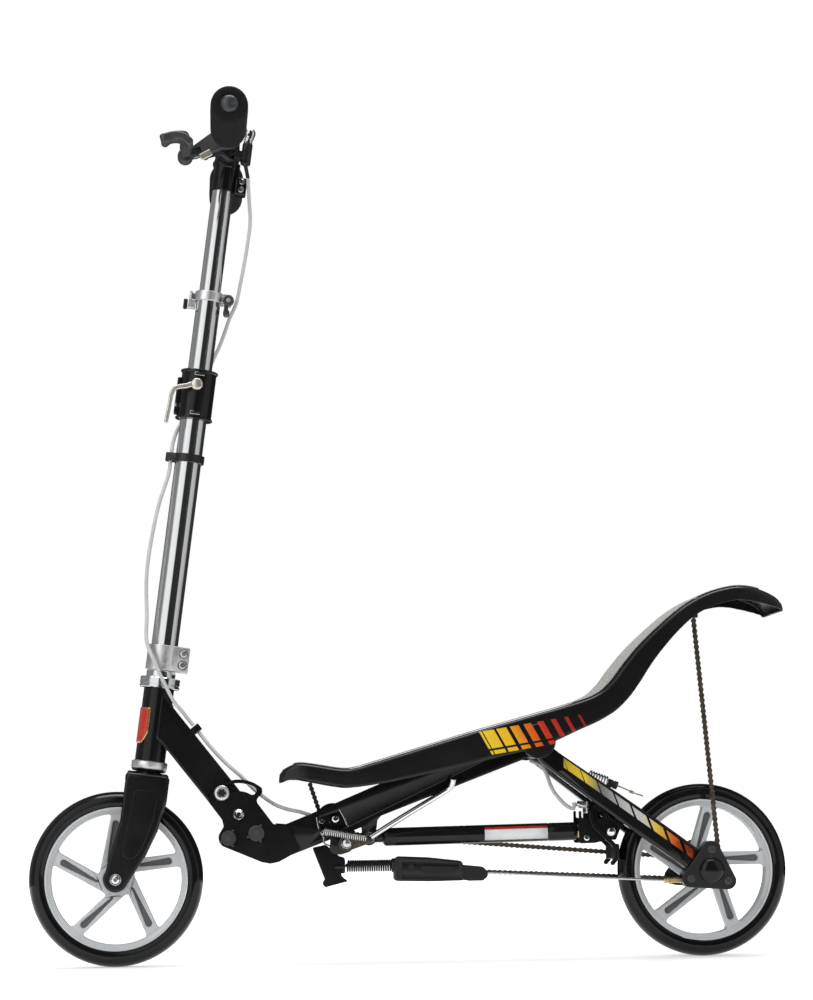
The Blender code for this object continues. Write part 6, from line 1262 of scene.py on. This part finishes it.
def swing_arm():
    """Apex eyes, tapered box stays, bridge, anchor tube and the three-cornered hub plates."""
    centres = [apex_point(0.003, -0.004, 0.0255), apex_point(0.015, -0.018, 0.027), apex_point(0.074, -0.0615, 0.036),
            rear_point(-0.058, 0.041, 0.046), rear_point(-0.01, 0.0065, 0.0455)]
    depths = (0.021, 0.022, 0.025, 0.027, 0.026)
    line = []
    for index in range(len(centres) - 1):
        for t in (step / 6 for step in range(6)):
            line.append((centres[index].lerp(centres[index + 1], t),
                    depths[index] + (depths[index + 1] - depths[index]) * t))
    line.append((centres[-1], depths[-1]))
    last = len(line) - 1
    smoothed = []
    for index, (_, depth) in enumerate(line):
        reach = min(2, index, last - index)
        group = [line[k][0] for k in range(index - reach, index + reach + 1)]
        smoothed.append((sum(group, Vector((0, 0, 0))) / len(group), depth))
    for side, hand in ((-1, "left"), (1, "right")):
        rings = []
        for index, (centre, depth) in enumerate(smoothed):
            ahead = smoothed[min(index + 1, last)][0] - smoothed[max(index - 1, 0)][0]
            along = Vector((ahead.x, 0, ahead.z)).normalized()
            down = Vector((along.z, 0, -along.x))
            corners = rounded([(-0.007, -depth / 2), (0.007, -depth / 2), (0.007, depth / 2), (-0.007, depth / 2)],
                    0.0036)
            rings.append([Vector((centre.x, side * (centre.y + y), centre.z)) + down * d for y, d in corners])
        place_part(lofted(f"stay_{hand}", rings), "swing", "stay_paint_and_sheen", slot="gloss_black")
    place_part(refined("swing_arm", "arm_frame", 0, 1, 36), "swing", "stay_paint_and_sheen", "swing_arm", slot="gloss_black")
    eyes = []
    for low, high in ((-0.0326, -0.0176), (0.0176, 0.0326)):
        eyes.append(turned("eye", [(0.0063, low), (0.0168, low), (0.0171, low + 0.0004), (0.0171, high - 0.0004),
                (0.0168, high), (0.0063, high), (0.0063, low)], across(APEX), 48))
    bridge = turned("bridge", mm([(0, -40), (7.1, -40), (7.1, 40), (0, 40)]), across(rear_point(-0.109, 0.068)), 36)
    anchor = turned("anchor", mm([(0, -34), (4.6, -34), (4.6, 34), (0, 34)]), across(apex_point(0.054, -0.039)), 28)
    place_part(joined("arm_tubes", *eyes, bridge, anchor), "swing", "gloss_black")

    lobes = [(0.001, 0.024, 0.01), (-0.024, -0.009, 0.01), (0.019, -0.012, 0.01)]
    shrunk = [(x * 0.94, z * 0.94, radius - 0.0026) for x, z, radius in lobes]
    for name, side in (("hub_cover_near", -1), ("hub_cover_far", 1)):
        cover = plate("cover", [hull(lobes, 14)], *spread_over(side, 0.0543, 0.0585), at(REAR_AXLE), 0.0014, 4)
        inset = plate("inset", [hull(shrunk, 14)], *spread_over(side, 0.058, 0.059), at(REAR_AXLE), 0.0003, 2)
        place_part(joined(f"{name}_plate", cover, inset), "swing", "satin_black", name)
        outer = REAR_AXLE + Vector((0, side * 0.0588, 0))
        dome = turned(f"{name}_dome",
                mm([(15.8, -1), (15.8, 0.6), (15, 1), (14.6, 1.8), (13.6, 3.6), (11.8, 5.6), (9, 7.3), (5.5, 8.2),
                (0, 8.5)]), facing(side, outer), 56, 60)
        place_part(dome, "swing", "gloss_black")
        screws = [socket_head("screw", 0.0044, 0.0012, facing(side, outer + Vector((x, 0, z)))) for x, z, _ in lobes]
        place_part(joined(f"{name}_screws", *screws), "swing", "grey_plastic", slot="black_steel")


def rear_brake():
    """The folded bracket, the curved arm with its pad, and their screws."""
    outline = rounded(mm([(-147.3, 70.2), (-144.4, 70.1), (-144.6, 62), (-135.2, 61.9), (-132.6, 70), (-130.1, 75.7),
            (-123, 80.2), (-109, 75.4), (-97.4, 64.8), (-91.8, 55.5), (-99, 49.8), (-104.6, 36.1), (-117, 36.8),
            (-119.3, 35.1), (-130, 33), (-147.6, 32.7)]), 0.0025, 4)
    window = rounded(mm([(-125.8, 60.6), (-119.7, 60.6), (-119.7, 68.6), (-125.8, 68.6)]), 0.002, 3)
    spine = route(mm([(-132.7, 68.8), (-132.8, 61.9), (-129.5, 52.6), (-121.5, 44.4), (-114.6, 37.4), (-107.7, 30.3),
            (-104.4, 23.4), (-105.1, 15.3), (-109.4, 9.6)]), 0.002)
    strip = ribbon(spine, lambda t: 0.0026)
    lay = at(REAR_AXLE)
    bridge = ring(0.0074, 32, (-0.109, 0.068))
    plates, strips = [], []
    for side in (-1, 1):
        plates.append(plate("cheek", [outline, window, bridge], *spread_over(side, 0.02, 0.0228), lay, 0.0006, 2))
        strips.append(plate("strip", [strip], *spread_over(side, 0.0232, 0.0262), lay, 0.0008, 2))
    plates.append(block("front_plate", (0.0028, 0.042, 0.02), (-0.1424, 0, 0.048), lay, 0.0006, 2))
    place_part(joined("brake_plates", *plates), "swing", "gloss_black", "brake_bracket", slot="black_steel")
    pad_rest = block("pad_rest", (0.008, 0.052, 0.018), (-0.1052, 0, 0.0225), lay, 0.0012, 3)
    place_part(joined("brake_strips", pad_rest, *strips), "pad", "gloss_black", "brake_arm", slot="black_steel")
    heads = []
    for side in (-1, 1):
        heads.append(turned("dome", mm([(5.8, -4), (5.8, 0.4), (5, 2.2), (3, 3.4), (0, 3.7)]),
                facing(side, rear_point(-0.1106, 0.046, side * 0.0264)), 40, 60))
        heads.append(socket_head("small", 0.0034, 0.002, facing(side, rear_point(-0.139, 0.039, side * 0.0228)), 0.5))
    place_part(joined("brake_screws", *heads), "swing", "chrome")
    barrel_way = (rear_point(-0.1475, 0.079, 0) - rear_point(-0.14, 0.0765, 0)).normalized()
    lay = aimed(rear_point(-0.14, 0.0765, -0.012), barrel_way)
    barrel = turned("cable_barrel",
            mm([(0, -2), (3.6, -2), (3.6, 2), (4.2, 2.4), (4.2, 5), (3.4, 5.6), (3.4, 8), (3, 8.4), (0, 8.4)]), lay,
            6 * 5)
    rest = block("barrel_rest", (0.003, 0.028, 0.014), rear_point(-0.1372, 0.0745, -0.008), None, 0.0008, 2)
    place_part(joined("cable_barrel", barrel, rest), "swing", "bright_steel")


# Strut, stand and springs

def strut():
    """The closed cylinder with its eye and ring seam, its near side's bare film, and the brass nut on the rod."""
    start = ahead_point(0.292, 0.043, -0.003)
    end = rear_point(-0.1485, 0.0468, -0.003)
    along = (end - start).normalized()
    run = (end - start).length
    place = aimed(start, along)
    r = 0.0105
    body = turned("body", [(0, run), (0.0088, run), (0.0101, run - 0.0008), (r, run - 0.002), (r, 0.2118),
            (0.0101, 0.2112), (0.0101, 0.2102), (r, 0.2096), (r, 0.1128), (0.0102, 0.1124), (0.0102, 0.1116),
            (r, 0.1112), (r, 0.0205), (0.0096, 0.0182), (0.0082, 0.017), (0.0062, 0.016), (0, 0.016)], place, 52)
    waist = turned("waist", mm([(0, 6), (6, 6), (6, 17.5), (0, 17.5)]), place, 40)
    eye = turned("eye", mm([(4.4, -6), (8.4, -6), (9, -5.4), (9, 5.4), (8.4, 6), (4.4, 6), (4.4, -6)]),
            across(start), 40)
    place_part(joined("strut_tube", body, waist, eye), "cylinder", "gloss_black", "strut_cylinder")
    towards = place.to_3x3().inverted() @ Vector((0, -1, 0))
    middle = math.degrees(math.atan2(towards.y, towards.x))
    up = place.to_3x3().inverted() @ Vector((0, 0, 1))
    way = 1 if math.sin(math.radians(math.degrees(math.atan2(up.y, up.x)) - middle)) > 0 else -1
    for name, low, high, finish in (("strut_film", -44, 28, "label_film"), ("strut_band", 28, 46, "badge_red")):
        patch = wrapped(name, r + 0.0001, 0.0003,
                [(t, middle + way * low, middle + way * high) for t in (0.135, 0.16, 0.185, 0.209)], place)
        place_part(patch, "cylinder", finish, slot="satin_black")
    shaft = turned("shaft", [(0, run - 0.028), (0.004, run - 0.028), (0.004, run + 0.0048), (0, run + 0.0048)], place,
            28)
    nut = turned("nut", [(0, run + 0.0006), (0.0078, run + 0.0006), (0.0085, run + 0.0012), (0.0085, run + 0.0044),
            (0.0078, run + 0.005), (0, run + 0.005)], place, 6, 20)
    place_part(joined("strut_shaft", shaft, nut), "rod", "brass", "strut_rod")


def kickstand():
    """The stand folded up along the beam: its pivot plate, its leg with a bent foot, its spring peg and a washer."""
    plane = -0.021 - 0.0003 - 0.0037
    discs = [(FRONT_AXLE.x + 0.265, FRONT_AXLE.z + 0.037, 0.009),
            (FRONT_AXLE.x + 0.291, FRONT_AXLE.z + 0.042, 0.0052)]
    pivot = plate("stand_plate", [hull(discs, 22), ring(0.0038, 24, discs[0][:2])], plane, plane + 0.0037,
            None, 0.0007, 3)
    place_part(pivot, "stand", "dark_chain", slot="bright_steel")
    way = [ahead_point(0.2925, 0.0435, -0.0255), ahead_point(0.34, 0.072, -0.0255),
            ahead_point(0.382, 0.0965, -0.0258), ahead_point(0.3875, 0.102, -0.028),
            ahead_point(0.389, 0.1095, -0.0325)]
    leg = wire("leg", route(way, 0.003), 0.0033, 6)
    peg = turned("peg", mm([(0, 0), (2.6, 0), (2.6, 0.8), (2, 1.2), (2, 8), (0, 8)]),
            across(ahead_point(0.291, 0.042, -0.033)), 28)
    washer = turned("washer", mm([(4, 0), (6, 0), (6, 1), (5.6, 1.4), (4, 1.4), (4, 0)]),
            towards_viewer(ahead_point(0.265, 0.037, plane)), 36)
    place_part(joined("stand_leg", leg, peg, washer), "stand", "chrome", "kickstand", slot="bright_steel")


def coil(name, start, end, radius, thick, curls):
    """A coil spring with drawn-in ends between two points."""
    axis = (end - start).normalized()
    side = axis.orthogonal().normalized()
    other = axis.cross(side)
    count = curls * 20
    points = [start]
    for index in range(count + 1):
        t = index / count
        reach = radius * min(1.0, index / 10, (count - index) / 10)
        angle = 2 * math.pi * curls * t
        points.append(start + (end - start) * (0.02 + 0.96 * t)
                + (side * math.cos(angle) + other * math.sin(angle)) * reach)
    return wire(name, [*points, end], thick, 3)


def springs():
    """The return spring, the stand's spring and the cable anchor's spring with its clamp and tail."""
    start, end = ahead_point(0.2643, 0.0105, -0.002), ahead_point(0.3217, 0.0105, -0.002)
    bridging(coil("return_coil", start, end, 0.006, 0.00105, 21), "satin_black", ("return_spring",),
            "black_steel")
    stud, peg = ahead_point(0.234, 0.052, -0.0302), ahead_point(0.291, 0.042, -0.0302)
    hook = (peg - stud).normalized() * 0.0023
    bridging(coil("stand_coil", stud + hook, peg - hook, 0.0038, 0.0007, 22), "bright_steel", ("kickstand_spring",))
    tube, clamp = apex_point(0.06, -0.0368, 0.005), apex_point(0.0955, -0.05, 0.005)
    way = (clamp - tube).normalized()
    spring = coil("anchor_coil", tube + way * 0.0048, clamp - way * 0.005, 0.006, 0.0009, 8)
    bend, stop = apex_point(0.1209, -0.0608, 0.005), apex_point(0.1315, -0.0644, 0.005)
    tail = wire("tail", route([clamp, clamp + way * 0.012, bend, stop], 0.003), 0.0008, 4)
    place_part(joined("anchor_spring", spring, tail), "swing", "bright_steel", "cable_anchor")
    grip = turned("anchor_clamp",
            mm([(0, -6), (4.4, -6), (4.8, -5.4), (4.8, -1), (4.2, -0.4), (4.2, 1.4), (4.8, 2), (4.8, 5.4), (4.4, 6),
            (0, 6)]), aimed(clamp, way), 36)
    place_part(grip, "swing", "black_steel")
    crimp = turned("tail_crimp", mm([(0, -2.4), (1.6, -2.4), (1.7, -2), (1.7, 2), (1.6, 2.4), (0, 2.4)]),
            aimed(apex_point(0.118, -0.0596, 0.005), bend - apex_point(0.108, -0.0558, 0.005)), 24)
    place_part(crimp, "swing", "brass")


# Drive

PITCH = 0.00635


def link_pair(name):
    """Two pitches of roller chain along X: outer plates, inner plates and three rollers' worth of pins."""
    half, waist = 0.0029, 0.0018

    def figure(start):
        return [*arc(half, 90, 270, 4, (start, 0)), (start + PITCH / 2, -waist),
                *arc(half, -90, 90, 4, (start + PITCH, 0)), (start + PITCH / 2, waist)]

    parts = []
    for side in (-1, 1):
        parts.append(plate("outer", [figure(0.0)], *spread_over(side, 0.0023, 0.0016), None, 0.0))
        parts.append(plate("inner", [figure(PITCH)], *spread_over(side, 0.0014, 0.0008), None, 0.0))
    for spot in (0.0, PITCH):
        for radius, reach in ((0.0011, 0.0026), (0.0021, 0.0007)):
            parts.append(turned("pin", [(0, reach), (radius, reach), (radius, -reach), (0, -reach)],
                    across(Vector((spot, 0, 0))), 8))
    return joined(name, *parts)


def chain_run(name, start, end):
    """A straight strand of links from one point to another."""
    run = end - start
    pairs = max(1, round(run.length / (2 * PITCH)))
    pitch = run.length / (2 * pairs)
    strand = link_pair(name)
    strand.scale = (pitch / PITCH, 1, 1)
    settle(strand)
    applied(strand, "ARRAY", count=pairs, use_relative_offset=False, use_constant_offset=True,
            constant_offset_displace=(2 * pitch, 0, 0))
    along = run.normalized()
    side = Vector((0, 1, 0))
    side = (side - along * side.dot(along)).normalized()
    return settle(strand, at(start) @ Matrix((along, side, along.cross(side))).transposed().to_4x4())


def sliding_block():
    """The rounded block between the return spring and the two rear strands, its side panel and its forked nose."""
    body = rounded(mm([(321, -7), (321, 17, 4), (326, 20.8, 5), (362, 19, 20), (400, 14.5, 5), (402, 3), (401.5, -8),
            (362, -8.5, 20), (327, -7.5, 5)]), 0.003, 6)
    lay = at(FRONT_AXLE)
    case = plate("case", [body], -0.016, 0.012, lay, 0.0042, 5, 50)
    for low, high, first, last in ((12.2, 14.0, 330, 396), (-4.4, -2.4, 330, 398)):
        groove = rounded(mm([(first, low), (first, high), (last, high - 2.6), (last, low - 2.6)]), 0.0008, 2)
        bored(case, plate("groove", [groove], -0.018, -0.0145, lay, 0.0))
    panel = plate("panel", [rounded(mm([(352, 1), (352, 10), (389, 8.5), (389, 0)]), 0.003, 4)], -0.0166,
            -0.012, lay, 0.0006, 3)
    nose = rounded(mm([(398, -7), (399, 10), (409, 9), (424, 7.5, 5), (430, 2, 5), (429.5, -4, 4), (424, -8.6, 4),
            (408, -8.6)]), 0.002, 5)
    cheeks = [plate("cheek", [nose], low, high, lay, 0.0012, 3) for low,
            high in ((-0.014, -0.0106), (-0.0064, 0.0115))]
    seam = turned("seam", mm([(0, 0), (4.5, 0), (4.5, 2), (0, 2)]),
            towards_viewer(ahead_point(0.34, 0.007, -0.015)), 28)
    collar = turned("collar", mm([(0, -4), (7.5, -4), (8.2, -3), (8.2, 2), (0, 2)]),
            at(ahead_point(0.3225, 0.0105, -0.002)) @ spun(90, "Y"), 36)
    place_part(joined("sliding_block", case, panel, seam, collar, *cheeks), "block", "satin_black", "pulley_block")


def drive():
    """Chains, the drive cable with its connector, sprockets, the front pulley and the sliding block."""
    plane = 0.043
    runs = (
        ("upper", ahead_point(0.251, 0.049, 0.009), rear_point(0, 0.0123, plane), 0.016, 0.016),
        ("lower", ahead_point(0.431, 0.001, 0.007), rear_point(0, -0.0123, plane), 0.003, 0.0))
    for name, front, rear, first, hold in runs:
        way = (rear - front).normalized()
        bridging(chain_run(f"chain_{name}", front + way * first, rear - way * 0.012), "dark_chain",
                (f"{name}_chain",))
    strands = (
        ("nose", apex_point(-0.263, -0.04, 0.009), ahead_point(0.235, 0.075, 0.009), 0.006, "black_steel"),
        ("tail", apex_point(0.188, 0.142, -plane), rear_point(0.0123, 0.015, -plane), 0.003, "dark_chain"))
    for name, top, foot, first, finish in strands:
        way = (foot - top).normalized()
        bridging(chain_run(f"chain_{name}", top + way * first, foot), finish, (f"{name}_chain",),
                "dark_chain")

    cable_start = ahead_point(0.4083, 0.002, -0.0085)
    connector = rear_point(-0.05, -0.011, -plane)
    line = wire("steel_drive_cable", route([cable_start, cable_start.lerp(connector, 0.5), connector],
            0.02), 0.0015, 4)
    bridging(line, "bright_steel", ("drive_cable",))
    clamp = block("clamp", (0.018, 0.0072, 0.006), connector + Vector((0.009, 0, 0)), None, 0.0012, 3)
    ferrule = turned("ferrule", mm([(0, -3), (2.4, -3), (2.8, -2.4), (2.8, 3.5), (0, 3.5)]),
            at(connector) @ spun(90, "Y"), 28)
    place_part(joined("cable_clamp", clamp, ferrule), "connector", "brass", "cable_connector")
    stub = chain_run("chain_stub", connector + Vector((0.0185, 0, -0.0003)), rear_point(-0.012, -0.0123, -plane))
    place_part(stub, "connector", "dark_chain")

    teeth = 12
    pitch_radius = PITCH / (2 * math.sin(math.pi / teeth))
    flank = ((-15, -0.0019), (-11, -0.0015), (-8, -0.0002), (-5.5, 0.0014), (-3.2, 0.0023), (3.2, 0.0023),
            (5.5, 0.0014), (8, -0.0002), (11, -0.0015))
    loop = [polar(pitch_radius + out, 360 / teeth * tooth + turn) for tooth in range(teeth) for turn, out in flank]
    for node, side, body in (("sprocket_near", -1, "near_sprocket"), ("sprocket_far", 1, "far_sprocket")):
        gear = plate("gear", [loop, ring(0.0053, 28)], *spread_over(side, plane - 0.0012, plane + 0.0012),
                at(REAR_AXLE), 0.0003, 2)
        low, high = spread_over(side, 0.0166, plane + 0.003)
        hub = turned("hub", [(0.0053, low), (0.0098, low), (0.01, low + 0.0003), (0.01, high - 0.0003),
                (0.0098, high), (0.0053, high), (0.0053, low)], across(REAR_AXLE), 40)
        place_part(joined(f"{node}_gear", gear, hub), body, "bright_steel", node)

    half, drum, bore = 0.0045, 0.0118, 0.0043
    flange = [(drum, half - 0.0022), (0.0186, half - 0.0018), (0.0195, half - 0.0014), (0.0195, half - 0.0006),
            (0.0188, half), (bore, half)]
    pulley = turned("nose_pulley", flange[::-1] + [(radius, -level) for radius, level in flange] + [(bore, half)],
            across(ahead_point(0.251, 0.064, 0.009)), 52)
    place_part(pulley, "pulley", "satin_black", "front_pulley")
    sliding_block()


# Deck: its top line and its side's depth as (ahead of the apex, height) in mm, and its width's share along it

DECK_LINE = mm([(-296.5, -40), (-295.6, -33), (-291, -27), (-280, -22.5), (-265, -23), (-228, -29), (-210, -27.5),
                (-181, -19.5), (-70, 13), (27, 39), (67, 52), (86, 67), (101, 86), (121, 109), (149, 135), (176, 156),
                (203, 170), (231, 177.5), (250, 178), (266, 174.5), (280, 168.5), (288, 163), (292.5, 157),
                (294, 151.5)])
DECK_SKIRT = mm([(-296.5, 3.5), (-295.6, 10), (-291, 14), (-280, 17.5), (-265, 18.5), (-228, 19.5), (-181, 26.5),
                 (-141, 30), (-94, 34), (-24, 37), (10, 36), (40, 31), (67, 28), (100, 27), (130, 22), (150, 19),
                 (176, 16.5), (203, 16), (250, 16.5), (266, 16), (280, 13.5), (288, 10.5), (292.5, 6), (294, 3.2)])
DECK_EDGE = [(-0.2965, 0.76), (-0.2956, 0.82), (-0.291, 0.88), (-0.28, 0.94), (-0.265, 0.97), (-0.2, 1.0), (0.1, 1.0),
             (0.2, 0.96), (0.25, 0.93), (0.266, 0.92), (0.28, 0.9), (0.288, 0.88), (0.2925, 0.86), (0.294, 0.82)]
DECK_HALF = 0.06


def along_table(table, x):
    for (x0, v0), (x1, v1) in zip(table, table[1:]):
        if x <= x1:
            return v0 + (v1 - v0) * max(0.0, (x - x0) / (x1 - x0))
    return table[-1][1]


def deck_stations():
    """Stations along the deck's top line, each with the way up from its skirt, smoothed between the drawn ones."""
    first, last = 3, len(DECK_LINE) - 5
    drawn = []
    for index, (x, z) in enumerate(DECK_LINE):
        here = min(max(index, first), last)
        x0, z0 = DECK_LINE[here - 1]
        x1, z1 = DECK_LINE[here + 1]
        way = Vector((x1 - x0, 0, z1 - z0)).normalized()
        drawn.append((Vector((x, 0, z)), way))
    stations = []
    count = len(drawn)
    for index in range(count - 1):
        a, b = drawn[max(index - 1, 0)][0], drawn[index][0]
        c, d = drawn[index + 1][0], drawn[min(index + 2, count - 1)][0]
        steps = max(1, round((c - b).length / 0.006))
        for step in range(steps):
            t = step / steps
            place = 0.5 * (2 * b + (c - a) * t + (2 * a - 5 * b + 4 * c - d) * t**2 + (3 * b - a - 3 * c + d) * t**3)
            if (c - b).length > 0.05 or index in (0, count - 2):
                place = b.lerp(c, t)
            way = drawn[index][1].lerp(drawn[index + 1][1], t).normalized()
            stations.append((place, Vector((-way.z, 0, way.x))))
    stations.append((drawn[-1][0], Vector((-drawn[-1][1].z, 0, drawn[-1][1].x))))
    return stations


def deck():
    """The curved moulded deck with rounded shoulders, side lobes at the apex, and its grit sheet."""
    rings = []
    for place, up in deck_stations():
        half = DECK_HALF * along_table(DECK_EDGE, place.x)
        height = along_table(DECK_SKIRT, place.x)
        corner = min(0.0055, height * 0.7)
        section = [(-half, -height), (-half, -height * 0.85), (-half, -(height + corner) / 2)]
        section += [(-half + corner + u, -corner + v) for u, v in arc(corner, 180, 90, 7)]
        section += [(-half * 0.5, 0.0), (0.0, 0.0), (half * 0.5, 0.0)]
        section += [(half - corner + u, -corner + v) for u, v in arc(corner, 90, 0, 7)]
        section += [(half, -(height + corner) / 2), (half, -height * 0.85), (half, -height)]
        rings.append([APEX + place + up * v + Vector((0, u, 0)) for u, v in section])
    shell = lofted("moulded_deck", rings, closed=False, smooth=60)
    open_ends_closed(shell, len(rings[0]))
    applied(shell, "SOLIDIFY", thickness=0.0028, offset=-1)
    rounded_edges(shell, 0.0006, 2, 45, 60)
    lobes = []
    for side in (-1, 1):
        lobes.append(turned("lobe",
                mm([(6.2, 55.3), (19.2, 55.3), (20, 56), (20, 59.8), (19.2, 60.6), (15, 60.8), (0, 60.8)]),
                facing(side, APEX), 56))
        lobes.append(turned("boss", mm([(6.2, 33.6), (11.5, 33.6), (11.5, 57), (6.2, 57)]), facing(side, APEX), 36))
    nose_top, tail_top = apex_point(-0.263, -0.04, 0.009), apex_point(0.188, 0.142, -0.043)
    lobes.append(block("nose_ear", (0.01, 0.008, 0.014), nose_top + Vector((0, 0, 0.007)), None, 0.0012, 2))
    lobes.append(block("tail_ear", (0.01, 0.008, 0.018), tail_top + Vector((0, 0, 0.009)), None, 0.0012, 2))
    place_part(joined("deck_moulding", shell, *lobes), "deck", "deck_black", "deck_shell")

    rings = []
    low, thick = 0.00075, 0.001
    for place, up in [(p, u) for p, u in deck_stations() if -0.2801 <= p.x <= 0.2661]:
        half = (DECK_HALF - 0.008) * along_table(DECK_EDGE, place.x)
        section = [(-half, low), (-half, low + thick * 0.7), (-half + 0.0006, low + thick), (0, low + thick),
                (half - 0.0006, low + thick), (half, low + thick * 0.7), (half, low), (0, low)]
        rings.append([APEX + place + up * v + Vector((0, u, 0)) for u, v in section])
    sheet = lofted("grit_strip", rings)
    place_part(sheet, "deck", "grip_sheet", "grip_sheet")


# Cables

def twin(name, points, nodes, finish="cable_grey"):
    """Two round cables side by side along one route between two bodies, fixed in place."""
    line = route(points, 0.006)
    pair = []
    for side in (-1, 1):
        track = []
        for index, point in enumerate(line):
            along = (line[min(index + 1, len(line) - 1)] - line[max(index - 1, 0)]).normalized()
            track.append(point + (Vector((0, 1, 0)) - along * along.y).normalized() * side * 0.00215)
        pair.append(wire("cable", track, 0.0021, 5))
    bridging(joined(name, *pair), finish, nodes, "cable_grey")


def cables():
    """Both brake cables: from the lever, along the column, over the neck and through the beam to the rear brake."""
    drops = mm([(-24.6, -79.5, -22.3), (-9, -62, -15), (2, -45, -17), (12, -34, -13.5), (20, -24, -16),
            (24, -16, -32), (25.5, -11, -60), (26.4, -10, -86.8), (20.4, -8, -127.8), (14.4, 10, -156.8),
            (9.4, 14, -178.8), (1.55, 17, -195.8)])
    points = [BAR + Vector(p) for p in drops]
    twin("lever_cables", points[:6], (), "satin_black")
    twin("bar_cables", points[5:], ("cables_bar",))
    stretches = (
        ("middle", "steer", "middle", 2,
         [(134, 661, 17), (124, 633, 22), (117, 618, 25), (104, 590, 30), (92, 565, 30), (78, 540, 26),
         (70, 522, 12), (66.3, 508, 2), (65.1, 500, 0), (64.2, 493, 0), (63.6, 488.6, 0)]),
        ("column", "neck", "steer", 5,
         [(63.45, 487.6, 0), (61, 470, 0), (49, 432, -2), (39, 382, -4), (35, 344, -4), (35.5, 305, -5),
         (35.5, 274, -18), (43, 252, -26.5), (54, 228, -29.5), (66, 204, -25), (77, 190.5, -14), (83.0, 183, -8.5),
         (88.95, 175.6, -8)]),
        ("neck", "frame", "neck", 1,
         [(95.5, 167.2, -8), (110, 149, -6), (128, 130, -4), (144, 116, -2), (160, 100, 0), (181, 84, 0),
         (198, 77, 0), (212, 74, 0), (221, 71, 0), (229, 68.5, 0)]))
    for stretch, first, second, held, line in stretches:
        points = [ahead_point(*p) for p in mm(line)]
        twin(f"{stretch}_cables", points, (f"cables_{stretch}",))
    steps = mm([(-4.5, -21.4), (2, -24), (8, -27), (14, -35), (20, -52), (26, -62), (37, -74), (46, -78)])
    points = [apex_point(x, z, -0.012) for x, z in steps] + [rear_point(-0.1512, 0.0803, -0.012)]
    bridging(wire("rear_cable", route(points, 0.004), 0.0022, 5), "cable_grey", ("cables_rear",))


def main():
    photo_camera()
    floor_and_light()
    make_finishes()
    wheel("front", FRONT_AXLE, math.radians(6.5), "front_wheel")
    wheel("rear", REAR_AXLE, 0.0, "rear_wheel")
    for build in (fork, neck, badge, headset, stem_clamp, column, handlebar, brake_lever, bell, hinge, beam,
                  window_trim, swing_arm, rear_brake, strut, kickstand, springs, drive, deck, cables):
        build()


main()
